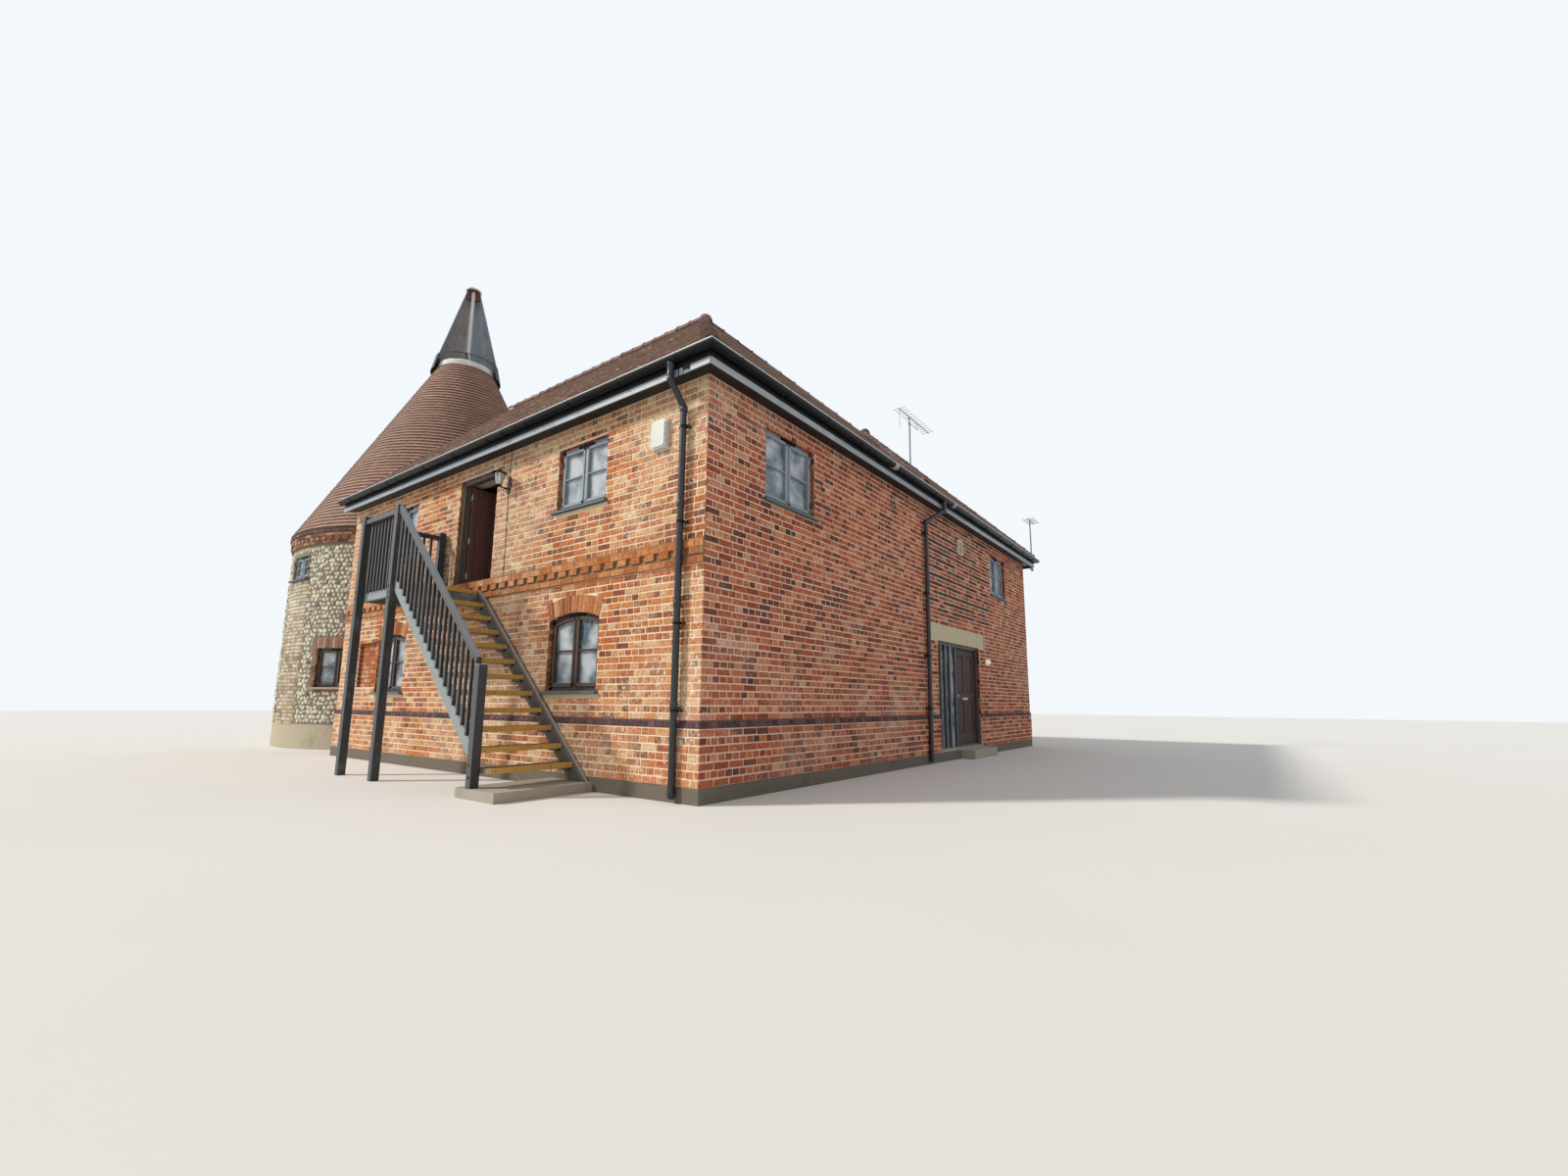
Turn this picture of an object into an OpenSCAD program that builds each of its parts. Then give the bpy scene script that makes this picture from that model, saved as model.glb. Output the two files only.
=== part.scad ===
// Oast house: two hipped brick ranges side by side, a round flint kiln with a tiled cone
// and a turning cowl, and an outside timber stair up to the loading door.
// X runs along the stair face, Y into the building, Z up from the ground.

/* [House] */
// Length of the house along the stair face
house_l = 8900; // [7600:50:11000]
// Width of one range, from its outer wall to the valley
range_w = 5800; // [5400:50:6600]
// Height of the wall top above the ground
wall_h = 4450; // [4380:10:5200]
// Thickness of the brick walls
wall_t = 340; // [230:5:450]
// Height of the concrete footing that shows
footing_h = 160; // [80:10:260]
// Level of the ground floor
ground_z = 200; // [180:10:320]
// Level of the first floor and of the stair landing
first_z = 2500; // [2400:10:2600]
// Thickness of the first floor
floor_t = 220; // [120:10:300]

/* [Plinth and brick bands] */
// Height of the plinth top above the ground
plinth_h = 800; // [500:10:950]
// Distance that the plinth stands out from the wall
plinth_out = 20; // [10:1:40]
// Height of the splayed course on the plinth
splay_h = 75; // [50:5:100]
// Height of one brick course
course = 76.5; // [65:0.5:85]
// Pitch of the dentils, one stretcher
dentil_pitch = 224; // [200:1:240]
// Width of the recess between two dentils
dentil_gap = 75; // [50:1:110]
// Distance that the dentil band stands out
band_out = 25; // [15:1:40]
// Level of the underside of the dentil band
band_z = 2395; // [2300:5:2440]

/* [House roof] */
// Slope of the tiled roofs in degrees
pitch = 44; // [38:0.5:48]
// Distance that the lowest tiles reach past the wall
tile_out = 240; // [225:5:300]
// Height of the tile edge at the eaves
tile_edge_z = 4650; // [4640:5:5400]
// Thickness of the tiles with their battens, square to the slope
tile_t = 60; // [40:5:80]
// Thickness of the tile edge over the gutter
tile_edge_t = 30; // [20:5:40]
// Depth of the rafters under the battens, square to the slope
rafter_t = 110; // [75:5:150]
// Distance that the roof passes the west gable
verge_out = 50; // [20:5:120]
// Radius of the ridge tiles
ridge_r = 110; // [80:5:140]
// Half width of the valley between the two ranges
valley_half = 90; // [60:5:120]

/* [Eaves and gutters] */
// Distance of the fascia from the wall
fascia_out = 215; // [180:5:220]
// Thickness of the fascia board
fascia_t = 22; // [16:1:30]
// Drop of the fascia below the soffit
fascia_drop = 50; // [20:5:80]
// Outside radius of the half-round gutters
gutter_r = 60; // [50:1:75]
// Wall of the gutters
gutter_t = 5; // [3:0.5:6]
// Outside radius of the downpipes
pipe_r = 36; // [30:1:45]

/* [Windows and doors] */
// Width of the windows in the stair face
window_w = 980; // [800:10:1100]
// Height of the upper windows in the stair face
upper_window_h = 820; // [700:10:900]
// Level of the upper sills in the stair face
upper_sill_z = 3370; // [3300:10:3400]
// Height of the lower windows at the middle of the arch
lower_window_h = 930; // [800:10:1000]
// Level of the lower sills
lower_sill_z = 1110; // [1000:10:1200]
// Rise of the arch over the lower windows
arch_rise = 80; // [40:5:120]
// Width of the upper windows in the end face
end_window_w = 1050; // [900:10:1200]
// Height of the upper windows in the end face
end_window_h = 890; // [700:10:900]
// Level of the upper sills in the end face
end_sill_z = 3350; // [3300:10:3400]
// Width across the window frame timbers
frame_w = 50; // [40:1:70]
// Depth of the window frames
frame_d = 80; // [60:5:110]
// Distance of the frames behind the wall face
frame_back = 60; // [30:5:100]
// Thickness of the glass units
glass_t = 20; // [6:1:28]
// Width of the loading door opening
upper_door_w = 1040; // [900:10:1200]
// Height of the loading door opening
upper_door_h = 1770; // [1650:10:1850]
// Width of the side opening with the door and the screen
side_open_w = 2120; // [2060:10:2300]
// Height of the head of the side opening above the ground
side_head_z = 2100; // [2000:10:2160]
// Width of the side door leaf
side_leaf_w = 1060; // [860:10:1080]
// Thickness of the door leaves
leaf_t = 45; // [38:1:60]
// Gap round a door leaf
leaf_gap = 5; // [5:0.5:8]
// Height of the lintel over the side opening
lintel_h = 320; // [200:10:340]
// Bearing of the lintel on each side
lintel_bearing = 290; // [150:10:320]

/* [Stair] */
// Number of treads below the landing nosing
stair_rises = 12; // [11:1:13]
// Going of one tread
going = 215; // [200:5:240]
// Height of the concrete pad under the stair
pad_h = 100; // [60:10:160]
// Distance of the inner string from the wall
stair_wall_gap = 30; // [30:5:60]
// Distance of the outer string's middle from the wall
stair_w = 1075; // [900:5:1250]
// Thickness of the strings
string_t = 45; // [35:5:70]
// Depth of the strings, square to the slope
string_d = 200; // [160:10:260]
// Thickness of the treads
tread_t = 55; // [40:5:70]
// Depth of the treads, front to back
tread_d = 250; // [215:5:290]
// Section of the posts
post_w = 95; // [75:5:120]
// Height of the rails above the nosings
rail_h = 880; // [800:10:1000]
// Height of the rails above the landing
landing_rail_h = 945; // [900:5:980]
// Distance that the balusters reach down over the strings and the landing's edge
baluster_lap = 40; // [20:5:80]
// Depth of the rails
rail_d = 65; // [45:5:90]
// Section of the balusters
baluster_w = 32; // [24:2:45]
// Spacing of the balusters
baluster_pitch = 115; // [95:5:130]
// Length of the landing along the wall
landing_l = 1215; // [1150:5:1300]

/* [Kiln] */
// Outside radius of the kiln wall
kiln_r = 3150; // [2800:10:3250]
// Thickness of the kiln wall
kiln_t = 450; // [300:10:500]
// Distance that the round wall is let into the house end
kiln_let_in = 150; // [60:10:250]
// Distance of the kiln's middle behind the stair face
kiln_back = 3200; // [3160:10:3400]
// Height of the kiln wall top
kiln_wall_h = 4430; // [4300:10:4700]
// Height of the smooth plinth of the kiln
kiln_plinth_h = 480; // [300:10:600]
// Distance that the cone's lowest tiles reach past the wall
kiln_tile_out = 85; // [60:5:140]
// Radius of the cone at its top ring
cone_top_r = 660; // [600:10:760]
// Height of the cone's top ring above the ground
cone_top_z = 9580; // [9000:10:10200]
// Thickness of the cone's shell, measured level
cone_t = 200; // [180:5:220]

/* [Cowl] */
// Height of the cowl above the cone's top ring
cowl_h = 2490; // [2300:10:2700]
// Radius of the hood at its foot
cowl_foot_r = 735; // [715:5:850]
// Radius of the hood at its top
cowl_top_r = 165; // [120:5:220]
// Thickness of the hood's boards
cowl_t = 24; // [18:1:40]
// Angle of hood that is boarded in
cowl_wrap = 184; // [160:2:240]
// Direction that the open side faces at rest, from the length of the house
cowl_turn = -30; // [-90:5:90]
// Section of the cowl's middle post
cowl_post_w = 80; // [60:5:110]
// Radius of the shaft under the post
shaft_r = 36; // [25:1:45]
// Gap of the shaft in its bearing
shaft_gap = 0.5; // [0.3:0.1:1]
// Height of the hood's foot above the cone's top ring
hood_lift = 300; // [280:5:360]

/* [Fittings] */
// Sill level of the kiln's upper window
kiln_upper_sill_z = 3500; // [3300:10:3550]
// Width of the kiln's upper window
kiln_upper_w = 780; // [700:10:840]
// Height of the kiln's upper window
kiln_upper_h = 490; // [400:10:560]
// Sill level of the kiln's lower window
kiln_lower_sill_z = 1220; // [1100:10:1300]
// Width of the kiln's lower window
kiln_lower_w = 900; // [750:10:980]
// Height of the kiln's lower window
kiln_lower_h = 780; // [650:10:850]
// Distance of the lantern from the east corner
lantern_s = 3750; // [3700:5:3800]
// Level of the foot of the lantern
lantern_z = 3915; // [3850:5:3960]
// Distance that the lantern stands from the wall
lantern_out = 160; // [130:5:220]
// Radius of the lantern's glass at its top
lantern_r = 65; // [50:5:80]
// Distance of the alarm box from the east corner
alarm_s = 570; // [500:10:700]
// Level of the foot of the alarm box
alarm_z = 3750; // [3500:10:3850]
// Width of the alarm box
alarm_w = 250; // [180:10:300]
// Height of the alarm box
alarm_h = 340; // [220:10:380]
// Depth of the alarm box
alarm_d = 70; // [50:5:110]
// Level of the foot of the vent box
vent_z = 3860; // [3700:10:3950]
// Width of the vent box
vent_w = 210; // [180:10:300]
// Height of the vent box
vent_h = 290; // [200:10:350]
// Depth of the vent box
vent_d = 50; // [40:5:90]
// Distance of the roof aerial from the east face
aerial_s = 2170; // [2120:10:2250]
// Distance of the roof aerial from the back face
aerial_t = 1800; // [1750:10:1850]
// Level of the boom of the roof aerial
aerial_z = 8320; // [8200:10:8400]
// Length of the boom of the roof aerial
aerial_l = 1850; // [1500:50:1900]
// Level of the boom of the eaves aerial
eaves_aerial_z = 5700; // [5500:10:5800]
// Length of the boom of the eaves aerial
eaves_aerial_l = 600; // [450:50:650]
// Distance that the side step reaches from the plinth
step_out = 260; // [200:10:400]

/* [Hidden] */
$fn = 48;

hl = house_l / 2;
hd = range_w;
big = 4 * (house_l + range_w);
rise = (first_z - pad_h) / stair_rises;
stair_slope = atan(rise / going);

// House roof, with d measured inwards from a wall face
function tile_top(d) = tile_edge_z + (d + tile_out) * tan(pitch);
tile_v = tile_t / cos(pitch);
slope_v = (tile_t + rafter_t) / cos(pitch);
seat_out = 20;
seat_in = 100;
seat_z = tile_top(seat_in) - slope_v;
beam_half = valley_half + seat_in;
beam_top = tile_top(beam_half) - slope_v;
lead_t = 15;
lead_edge_z = tile_edge_z - tile_edge_t + lead_t;
function lead_z(d) = lead_edge_z + (beam_top - lead_edge_z) * (d + tile_out) / (beam_half + tile_out);
// Clearance where two round or sloping faces meet
seat_gap = 0.2;
ridge_z = tile_top(range_w / 2);
ridge_x = hl - range_w / 2;

// Places along the stair face, measured from the east corner
door_s = 4060;
window_s = 1630;
window_w_s = 6450;
recess_s = 7400;
recess_l = 780;
recess_d = 60;
pipe_s = 300;
upper_door_x0 = hl - door_s - upper_door_w;
upper_door_x1 = hl - door_s;

// Places along the end face, measured from the stair face
end_window_a = 990;
end_window_b = 9000;
side_open_t = 6000;
side_y0 = side_open_t - hd;
side_y1 = side_y0 + side_open_w;
pipe_t = 5460;
vent_t = 7070;

kiln_x = -hl - kiln_r + kiln_let_in;
kiln_y = kiln_back - hd;
kiln_upper_a = -88;
kiln_lower_a = -62;

// Each window: [face, place of its middle, sill level, width, height, arch rise]
// The faces are S, E, N and W of the house, and K of the kiln with an angle for the place
window_x_a = hl - window_s - window_w / 2;
window_x_b = hl - window_w_s - window_w / 2;
FRONT_WINDOWS = [
    ["S", window_x_a, upper_sill_z, window_w, upper_window_h, 0],
    ["S", window_x_b, upper_sill_z, window_w, upper_window_h, 0],
    ["S", window_x_a, lower_sill_z, window_w, lower_window_h, arch_rise],
    ["S", window_x_b, lower_sill_z, window_w, lower_window_h, arch_rise]];
END_WINDOWS = [
    ["E", end_window_a + end_window_w / 2 - hd, end_sill_z, end_window_w, end_window_h, 0],
    ["E", end_window_b + end_window_w / 2 - hd, end_sill_z, end_window_w, end_window_h, 0]];
BACK_WINDOWS = [
    ["N", window_x_a, upper_sill_z, window_w, upper_window_h, 0],
    ["N", window_x_b, upper_sill_z, window_w, upper_window_h, 0],
    ["N", window_x_a, lower_sill_z, window_w, lower_window_h, arch_rise],
    ["N", window_x_b, lower_sill_z, window_w, lower_window_h, arch_rise]];
KILN_WINDOWS = [
    ["K", kiln_upper_a, kiln_upper_sill_z, kiln_upper_w, kiln_upper_h, 0],
    ["K", kiln_lower_a, kiln_lower_sill_z, kiln_lower_w, kiln_lower_h, 0]];
ALL_WINDOWS = concat(FRONT_WINDOWS, END_WINDOWS, BACK_WINDOWS, KILN_WINDOWS);

// Puts a piece drawn with its outside on y = 0 and its inside towards +y on one of the faces
module on_face(face, place = 0) {
    if (face == "S") translate([place, -hd, 0]) children();
    if (face == "N") translate([place, hd, 0]) rotate(180) children();
    if (face == "E") translate([hl, place, 0]) rotate(90) children();
    if (face == "W") translate([-hl, place, 0]) rotate(-90) children();
    if (face == "K") translate([kiln_x, kiln_y, 0]) rotate(place + 90) translate([0, -kiln_r, 0])
        children();
}

// Outline of a window hole in the wall plane, its sill on y = 0
module window_outline(w, h, arch, inset = 0) {
    r = arch > 0 ? (w * w / 4 + arch * arch) / (2 * arch) : 1;
    intersection() {
        translate([-w / 2 + inset, inset]) square([w - 2 * inset, h - 2 * inset]);
        if (arch > 0) translate([0, h - r]) circle(r = r - inset, $fn = 96);
        else translate([-w, 0]) square([2 * w, h]);
    }
}

module window_hole(win) on_face(win[0], win[1]) translate([0, kiln_t + wall_t, win[2]])
    rotate([90, 0, 0]) linear_extrude(2 * (kiln_t + wall_t)) window_outline(win[3], win[4], win[5]);

module window_frame(win) on_face(win[0], win[1]) translate([0, frame_back + frame_d, win[2]])
    rotate([90, 0, 0]) linear_extrude(frame_d) {
        difference() {
            window_outline(win[3], win[4], win[5]);
            window_outline(win[3], win[4], win[5], frame_w);
        }
        intersection() {
            window_outline(win[3], win[4], win[5], frame_w / 2);
            translate([-frame_w / 2, 0]) square([frame_w, win[4]]);
        }
    }

module window_panes(win) on_face(win[0], win[1])
    translate([0, frame_back + (frame_d + glass_t) / 2, win[2]]) rotate([90, 0, 0])
        linear_extrude(glass_t) difference() {
            window_outline(win[3], win[4], win[5], frame_w);
            translate([-frame_w / 2, 0]) square([frame_w, win[4]]);
        }

sill_t = 45;
sill_out = 55;
sill_ear = 40;

module window_sill(win) on_face(win[0], win[1])
    translate([-win[3] / 2 - sill_ear, -sill_out, win[2] - sill_t])
        cube([win[3] + 2 * sill_ear, sill_out + frame_back + frame_d, sill_t]);

// Section of the house wall: plinth with its splay, and the wall above
module wall_profile() polygon([[-plinth_out, footing_h], [wall_t, footing_h], [wall_t, wall_h],
    [0, wall_h], [0, plinth_h], [-plinth_out, plinth_h - splay_h]]);

// Draws a profile along a face, from place a to place b
module along(a, b) translate([a, 0, 0]) rotate([90, 0, 90]) linear_extrude(b - a) children();

// Plan of one side of the house, cut off by the mitre lines at both of its corners
module zone(face) {
    s = face == "S" ? -1 : 1;
    linear_extrude(3 * wall_h) {
        if (face == "E") polygon([[hl - hd, 0], [hl + hd, -2 * hd], [hl + hd, 2 * hd]]);
        else polygon([[hl - hd, 0], [hl + hd, 2 * s * hd], [-big, 2 * s * hd], [-big, 0]]);
    }
}

module front_wall(a, b) difference() {
    intersection() {
        on_face("S") along(a, b) wall_profile();
        zone("S");
    }
    for (win = FRONT_WINDOWS) window_cuts(win);
}

// Hole for a window with the bed of its sill
module window_cuts(win) {
    window_hole(win);
    window_sill(win);
}

module footing() color("darkgray") translate([-hl - plinth_out, -hd - plinth_out, 0])
    cube([house_l + 2 * plinth_out, 2 * (hd + plinth_out), footing_h]);

module ground_floor() color("rosybrown") {
    translate([-hl + wall_t, -hd + wall_t, footing_h])
        cube([house_l - 2 * wall_t, 2 * (hd - wall_t), ground_z - footing_h]);
}

module upper_floor() color("burlywood") {
    translate([-hl + wall_t, -hd + wall_t, first_z - floor_t])
        cube([house_l - 2 * wall_t, 2 * (hd - wall_t), floor_t]);
}

module kiln_floors() color("burlywood") translate([kiln_x, kiln_y, 0]) {
    r = kiln_r - kiln_t - seat_gap;
    cylinder(r = r, h = ground_z, $fn = 96);
    translate([0, 0, first_z - floor_t]) cylinder(r = r, h = floor_t, $fn = 96);
}

module front_wall_west() color("peru") difference() {
    front_wall(-hl, upper_door_x0);
    translate([hl - recess_s - recess_l, -hd - recess_d, lower_sill_z + course])
        cube([recess_l, 2 * recess_d, lower_window_h - 2 * course]);
}

module front_wall_east() color("peru") front_wall(upper_door_x1, hl + plinth_out);

module front_wall_below_door() color("peru")
    on_face("S") along(upper_door_x0, upper_door_x1) intersection() {
        wall_profile();
        translate([-plinth_out, 0]) square([wall_t + plinth_out, first_z]);
    }

module front_wall_over_door() color("peru")
    translate([upper_door_x0, -hd, first_z + upper_door_h])
        cube([upper_door_w, wall_t, wall_h - first_z - upper_door_h]);

module end_wall(a, b) difference() {
    intersection() {
        on_face("E") along(a, b) wall_profile();
        zone("E");
    }
    for (win = END_WINDOWS) window_cuts(win);
    lintel();
}

module east_wall_south() color("indianred") end_wall(-hd - plinth_out, side_y0);
module east_wall_north() color("indianred") end_wall(side_y1, hd + plinth_out);

module east_wall_over_door() color("indianred")
    translate([hl - wall_t, side_y0, side_head_z + lintel_h])
        cube([wall_t, side_open_w, wall_h - side_head_z - lintel_h]);

module back_wall() color("peru") difference() {
    intersection() {
        on_face("N") along(-hl - plinth_out, hl) wall_profile();
        zone("N");
    }
    for (win = BACK_WINDOWS) window_cuts(win);
}

module west_wall() color("indianred") difference() {
    translate([-hl, -hd + wall_t, footing_h]) cube([wall_t, 2 * (hd - wall_t), wall_h - footing_h]);
    translate([kiln_x, kiln_y, 0]) cylinder(r = kiln_r, h = kiln_wall_h, $fn = 192);
}

// The two gables that close the roofs over the west wall
module west_gables() color("indianred") both_ranges()
    translate([-hl, 0, 0]) rotate([90, 0, 90]) linear_extrude(wall_t)
        polygon([[-hd + seat_in, wall_h], [-beam_half, wall_h], [-beam_half, beam_top],
            [-hd / 2, ridge_z - slope_v], [-hd + seat_in, seat_z]]);

module lintel() translate([hl - wall_t, side_y0 - lintel_bearing, side_head_z])
    cube([wall_t, side_open_w + 2 * lintel_bearing, lintel_h]);

module side_lintel() color("tan") lintel();

// Projecting courses above and below a row of dentils
module dentil_band() color("chocolate") difference() {
    translate([-hl, -hd - band_out, band_z]) cube([house_l, band_out, 3.5 * course]);
    translate([-hl - 1, -hd - band_out - 1, band_z + course])
        cube([house_l + 2, band_out / 2 + 1, course / 4]);
    for (x = [-hl + dentil_pitch / 2 : dentil_pitch : hl - dentil_gap])
        translate([x, -hd - band_out - 1, band_z + course * 1.25])
            cube([dentil_gap, band_out, course]);
}

// Section of the eaves: soffit, fascia and wall plate, with d inwards from the wall face
module eaves_profile() polygon([[-fascia_out, wall_h - fascia_drop],
    [-fascia_out + fascia_t, wall_h - fascia_drop], [-fascia_out + fascia_t, wall_h],
    [seat_in, wall_h], [seat_in, seat_z], [seat_out, seat_z],
    [seat_out, tile_top(seat_out) - tile_v], [-fascia_out, tile_top(-fascia_out) - tile_v]]);

// Draws a profile along the front, the east end and the back, mitred at the two corners
module round_eaves(west) {
    intersection() {
        on_face("S") along(-hl - west, hl + hd / 2) children();
        zone("S");
    }
    intersection() {
        on_face("E") along(-2 * hd, 2 * hd) children();
        zone("E");
    }
    intersection() {
        on_face("N") along(-hl - hd / 2, hl + west) children();
        zone("N");
    }
}

// The lead that falls between the two hips, on the wall and on the end of the valley beam
module valley_lead() on_face("E") along(-valley_half, valley_half) polygon([
    [-tile_out, lead_edge_z], [beam_half, beam_top], [beam_half, seat_z], [seat_out, seat_z],
    [seat_out, lead_z(seat_out) - lead_t], [-tile_out, lead_edge_z - lead_t]]);

// What stands above the lead in the mouth of the valley
module valley_mouth() on_face("E") along(-valley_half, valley_half) polygon([
    [-tile_out, lead_edge_z - lead_t], [seat_out, lead_z(seat_out) - lead_t],
    [seat_out, tile_top(seat_in)], [-tile_out, tile_top(seat_in)]]);

module eaves() color("dimgray") difference() {
    round_eaves(0) eaves_profile();
    valley_mouth();
}

gutter_d = -fascia_out - gutter_r;
gutter_z = tile_top(-fascia_out) - tile_v - 3;

module gutters() color("black") round_eaves(verge_out) translate([gutter_d, gutter_z]) difference() {
    circle(r = gutter_r, $fn = 40);
    circle(r = gutter_r - gutter_t, $fn = 40);
    translate([-gutter_r, 0]) square(2 * gutter_r);
}

pipe_gap = 30;
pipe_d = pipe_r + pipe_gap;

// Straight length of pipe between two points, with a ball that rounds its far end
module pipe_run(a, b) {
    v = b - a;
    l = norm(v);
    translate(a) rotate([0, acos(v[2] / l), atan2(v[1], v[0])])
        cylinder(r = pipe_r, h = l, $fn = 24);
    translate(b) sphere(r = pipe_r + 4, $fn = 24);
}

neck_z = wall_h - 90;
neck_drop = 240;

module downpipe(head, foot) {
    pipe_run([head[0], head[1], gutter_z - gutter_r], [head[0], head[1], neck_z]);
    pipe_run([head[0], head[1], neck_z], [foot[0], foot[1], neck_z - neck_drop]);
    pipe_run([foot[0], foot[1], neck_z - neck_drop], [foot[0], foot[1], 2 * pipe_r]);
}

module downpipes() color("black") {
    downpipe([hl - pipe_s, -hd + gutter_d], [hl - pipe_s, -hd - pipe_d]);
    downpipe([hl - gutter_d, 0], [hl + pipe_d, pipe_t - hd]);
    downpipe([hl - pipe_s, hd - gutter_d], [hl - pipe_s, hd + pipe_d]);
}

module both_ranges() {
    children();
    mirror([0, 1, 0]) children();
}

// Section of an outer roof slope with its seat on the wall plate
module slope_profile() polygon([[-tile_out, tile_edge_z], [hd / 2, ridge_z],
    [hd / 2, ridge_z - slope_v], [seat_in, seat_z], [seat_out, seat_z],
    [seat_out, tile_top(seat_out) - tile_v], [-fascia_out, tile_top(-fascia_out) - tile_v],
    [-tile_out, tile_edge_z - tile_edge_t]]);

module roof_outer_slopes() color("sienna") both_ranges() intersection() {
    on_face("S") along(-hl - verge_out, hl + hd) slope_profile();
    linear_extrude(2 * ridge_z) polygon([[-hl - verge_out, -hd / 2], [ridge_x, -hd / 2],
        [hl + tile_out, -hd - tile_out], [-hl - verge_out, -hd - tile_out]]);
}

module roof_inner_slopes() color("sienna") both_ranges() intersection() {
    along(-hl - verge_out, hl) polygon([[-valley_half, tile_top(valley_half)], [-hd / 2, ridge_z],
        [-hd / 2, ridge_z - slope_v], [-beam_half, beam_top], [-valley_half, beam_top]]);
    linear_extrude(2 * ridge_z) polygon([[-hl - verge_out, -hd / 2], [ridge_x, -hd / 2],
        [hl - valley_half, -valley_half], [-hl - verge_out, -valley_half]]);
}

module roof_hip_slopes() color("sienna") both_ranges() intersection() {
    on_face("E") along(-2 * hd, 0) slope_profile();
    linear_extrude(2 * ridge_z) polygon([[ridge_x, -hd / 2], [hl - valley_half, -valley_half],
        [hl + tile_out, -valley_half], [hl + tile_out, -hd - tile_out]]);
}

// Lead-covered beam under the valley, and its outlet to the hopper
module valley_gutter() color("slategray") {
    translate([-hl, -beam_half, wall_h]) cube([house_l - beam_half, 2 * beam_half, beam_top - wall_h]);
    valley_lead();
}

// Bedded cap tiles along the line where two slopes meet, each slope falling by fall per length
module cap_run(a, b, r, rise, fall) {
    v = b - a;
    translate(a + [0, 0, seat_gap]) rotate([0, -asin(v[2] / norm(v)), atan2(v[1], v[0])])
        rotate([90, 0, 90])
        linear_extrude(norm(v)) difference() {
            translate([0, rise - r]) circle(r = r, $fn = 48);
            polygon([[0, 0], [2 * r, -2 * r * fall], [2 * r, -4 * r], [-2 * r, -4 * r],
                [-2 * r, -2 * r * fall]]);
        }
}

cap_rise = 65;
hip_r = ridge_r - 15;
hip_rise = 50;
hip_fall = tan(pitch) / sqrt(2 + pow(tan(pitch), 2));

module ridge_tiles() color("saddlebrown") both_ranges() {
    foot = tile_out - 30;
    top = hd / 2 - 60;
    cap_run([-hl - verge_out, -hd / 2, ridge_z], [ridge_x, -hd / 2, ridge_z], ridge_r, cap_rise,
        tan(pitch));
    cap_run([hl + foot, -hd - foot, tile_top(-foot)], [hl - top, -hd + top, tile_top(top)],
        hip_r, hip_rise, hip_fall);
    cap_run([hl - valley_half - 40, -valley_half - 40, tile_top(valley_half + 40)],
        [hl - top, -top, tile_top(top)], hip_r, hip_rise, hip_fall);
}

module window_frames() color("lightsteelblue") for (win = ALL_WINDOWS) window_frame(win);
module front_window_glass() color("lightcyan") for (win = FRONT_WINDOWS) window_panes(win);
module back_window_glass() color("lightcyan") for (win = BACK_WINDOWS) window_panes(win);
module kiln_window_glass() color("lightcyan") for (win = KILN_WINDOWS) window_panes(win);
module window_sills() color("gainsboro") for (win = ALL_WINDOWS) window_sill(win);

jamb_w = 60;
jamb_d = 90;
jamb_back = 40;
upper_leaf_w = upper_door_w - 2 * jamb_w;

module upper_door_frame() color("rosybrown") translate([upper_door_x0, -hd + jamb_back, first_z])
    difference() {
        cube([upper_door_w, jamb_d, upper_door_h]);
        translate([jamb_w, -1, -1])
            cube([upper_leaf_w, jamb_d + 2, upper_door_h - jamb_w + 1]);
    }

// The loading door stands open into the loft, against the west side of its frame
module upper_door() color("maroon")
    translate([upper_door_x0 + jamb_w, -hd + jamb_back + jamb_d, first_z + leaf_gap]) {
        translate([0, leaf_gap, 0])
            cube([leaf_t, upper_leaf_w, upper_door_h - jamb_w - 2 * leaf_gap]);
        for (z = [280, 820, 1500]) translate([0, 0, z]) cube([leaf_t / 2, leaf_gap, 90]);
    }

side_out = hl - 100;
side_in = side_out - leaf_t;
side_leaf_y1 = side_y1 - jamb_w - leaf_gap;
side_leaf_y0 = side_leaf_y1 - side_leaf_w;
threshold_h = 30;
side_leaf_z0 = ground_z + threshold_h + leaf_gap;
side_leaf_h = side_head_z - jamb_w - leaf_gap - side_leaf_z0;
knuckle_r = 9;
knuckle_h = 60;
hinge_x = side_in - knuckle_r;
hinge_y = side_leaf_y1 + leaf_gap / 2;
stile_w = 115;
panel_sink = 14;

// Leaf with four sunk panels, its hinge knuckles on the inside and a knob on each face
module side_door() color("saddlebrown") {
    panel_w = (side_leaf_w - 3 * stile_w) / 2;
    difference() {
        translate([side_in, side_leaf_y0, side_leaf_z0]) cube([leaf_t, side_leaf_w, side_leaf_h]);
        for (side = [0, 1], row = [[190, 620], [950, side_leaf_h - 1080]])
            translate([side_out - panel_sink, side_leaf_y0 + stile_w + side * (panel_w + stile_w),
                side_leaf_z0 + row[0]]) cube([panel_sink + 1, panel_w, row[1]]);
    }
    for (z = [180, side_leaf_h / 2, side_leaf_h - 240])
        translate([hinge_x, hinge_y, side_leaf_z0 + z]) {
            cylinder(r = knuckle_r, h = knuckle_h, $fn = 32);
            translate([knuckle_r - 5, -50, 0]) cube([5, 50, knuckle_h]);
        }
    for (side = [0, 1])
        translate([side == 0 ? side_out : side_in, side_leaf_y0 + stile_w / 2, side_leaf_z0 + 900])
            rotate([0, side == 0 ? 90 : -90, 0]) {
                cylinder(r = 10, h = 40, $fn = 32);
                translate([0, 0, 30]) cylinder(r = 24, h = 22, $fn = 32);
            }
}

screen_y1 = side_leaf_y0 - leaf_gap - jamb_w;
slats = 4;
slat_w = 70;
slat_pitch = (screen_y1 - side_y0 - slat_w) / slats;

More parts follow.
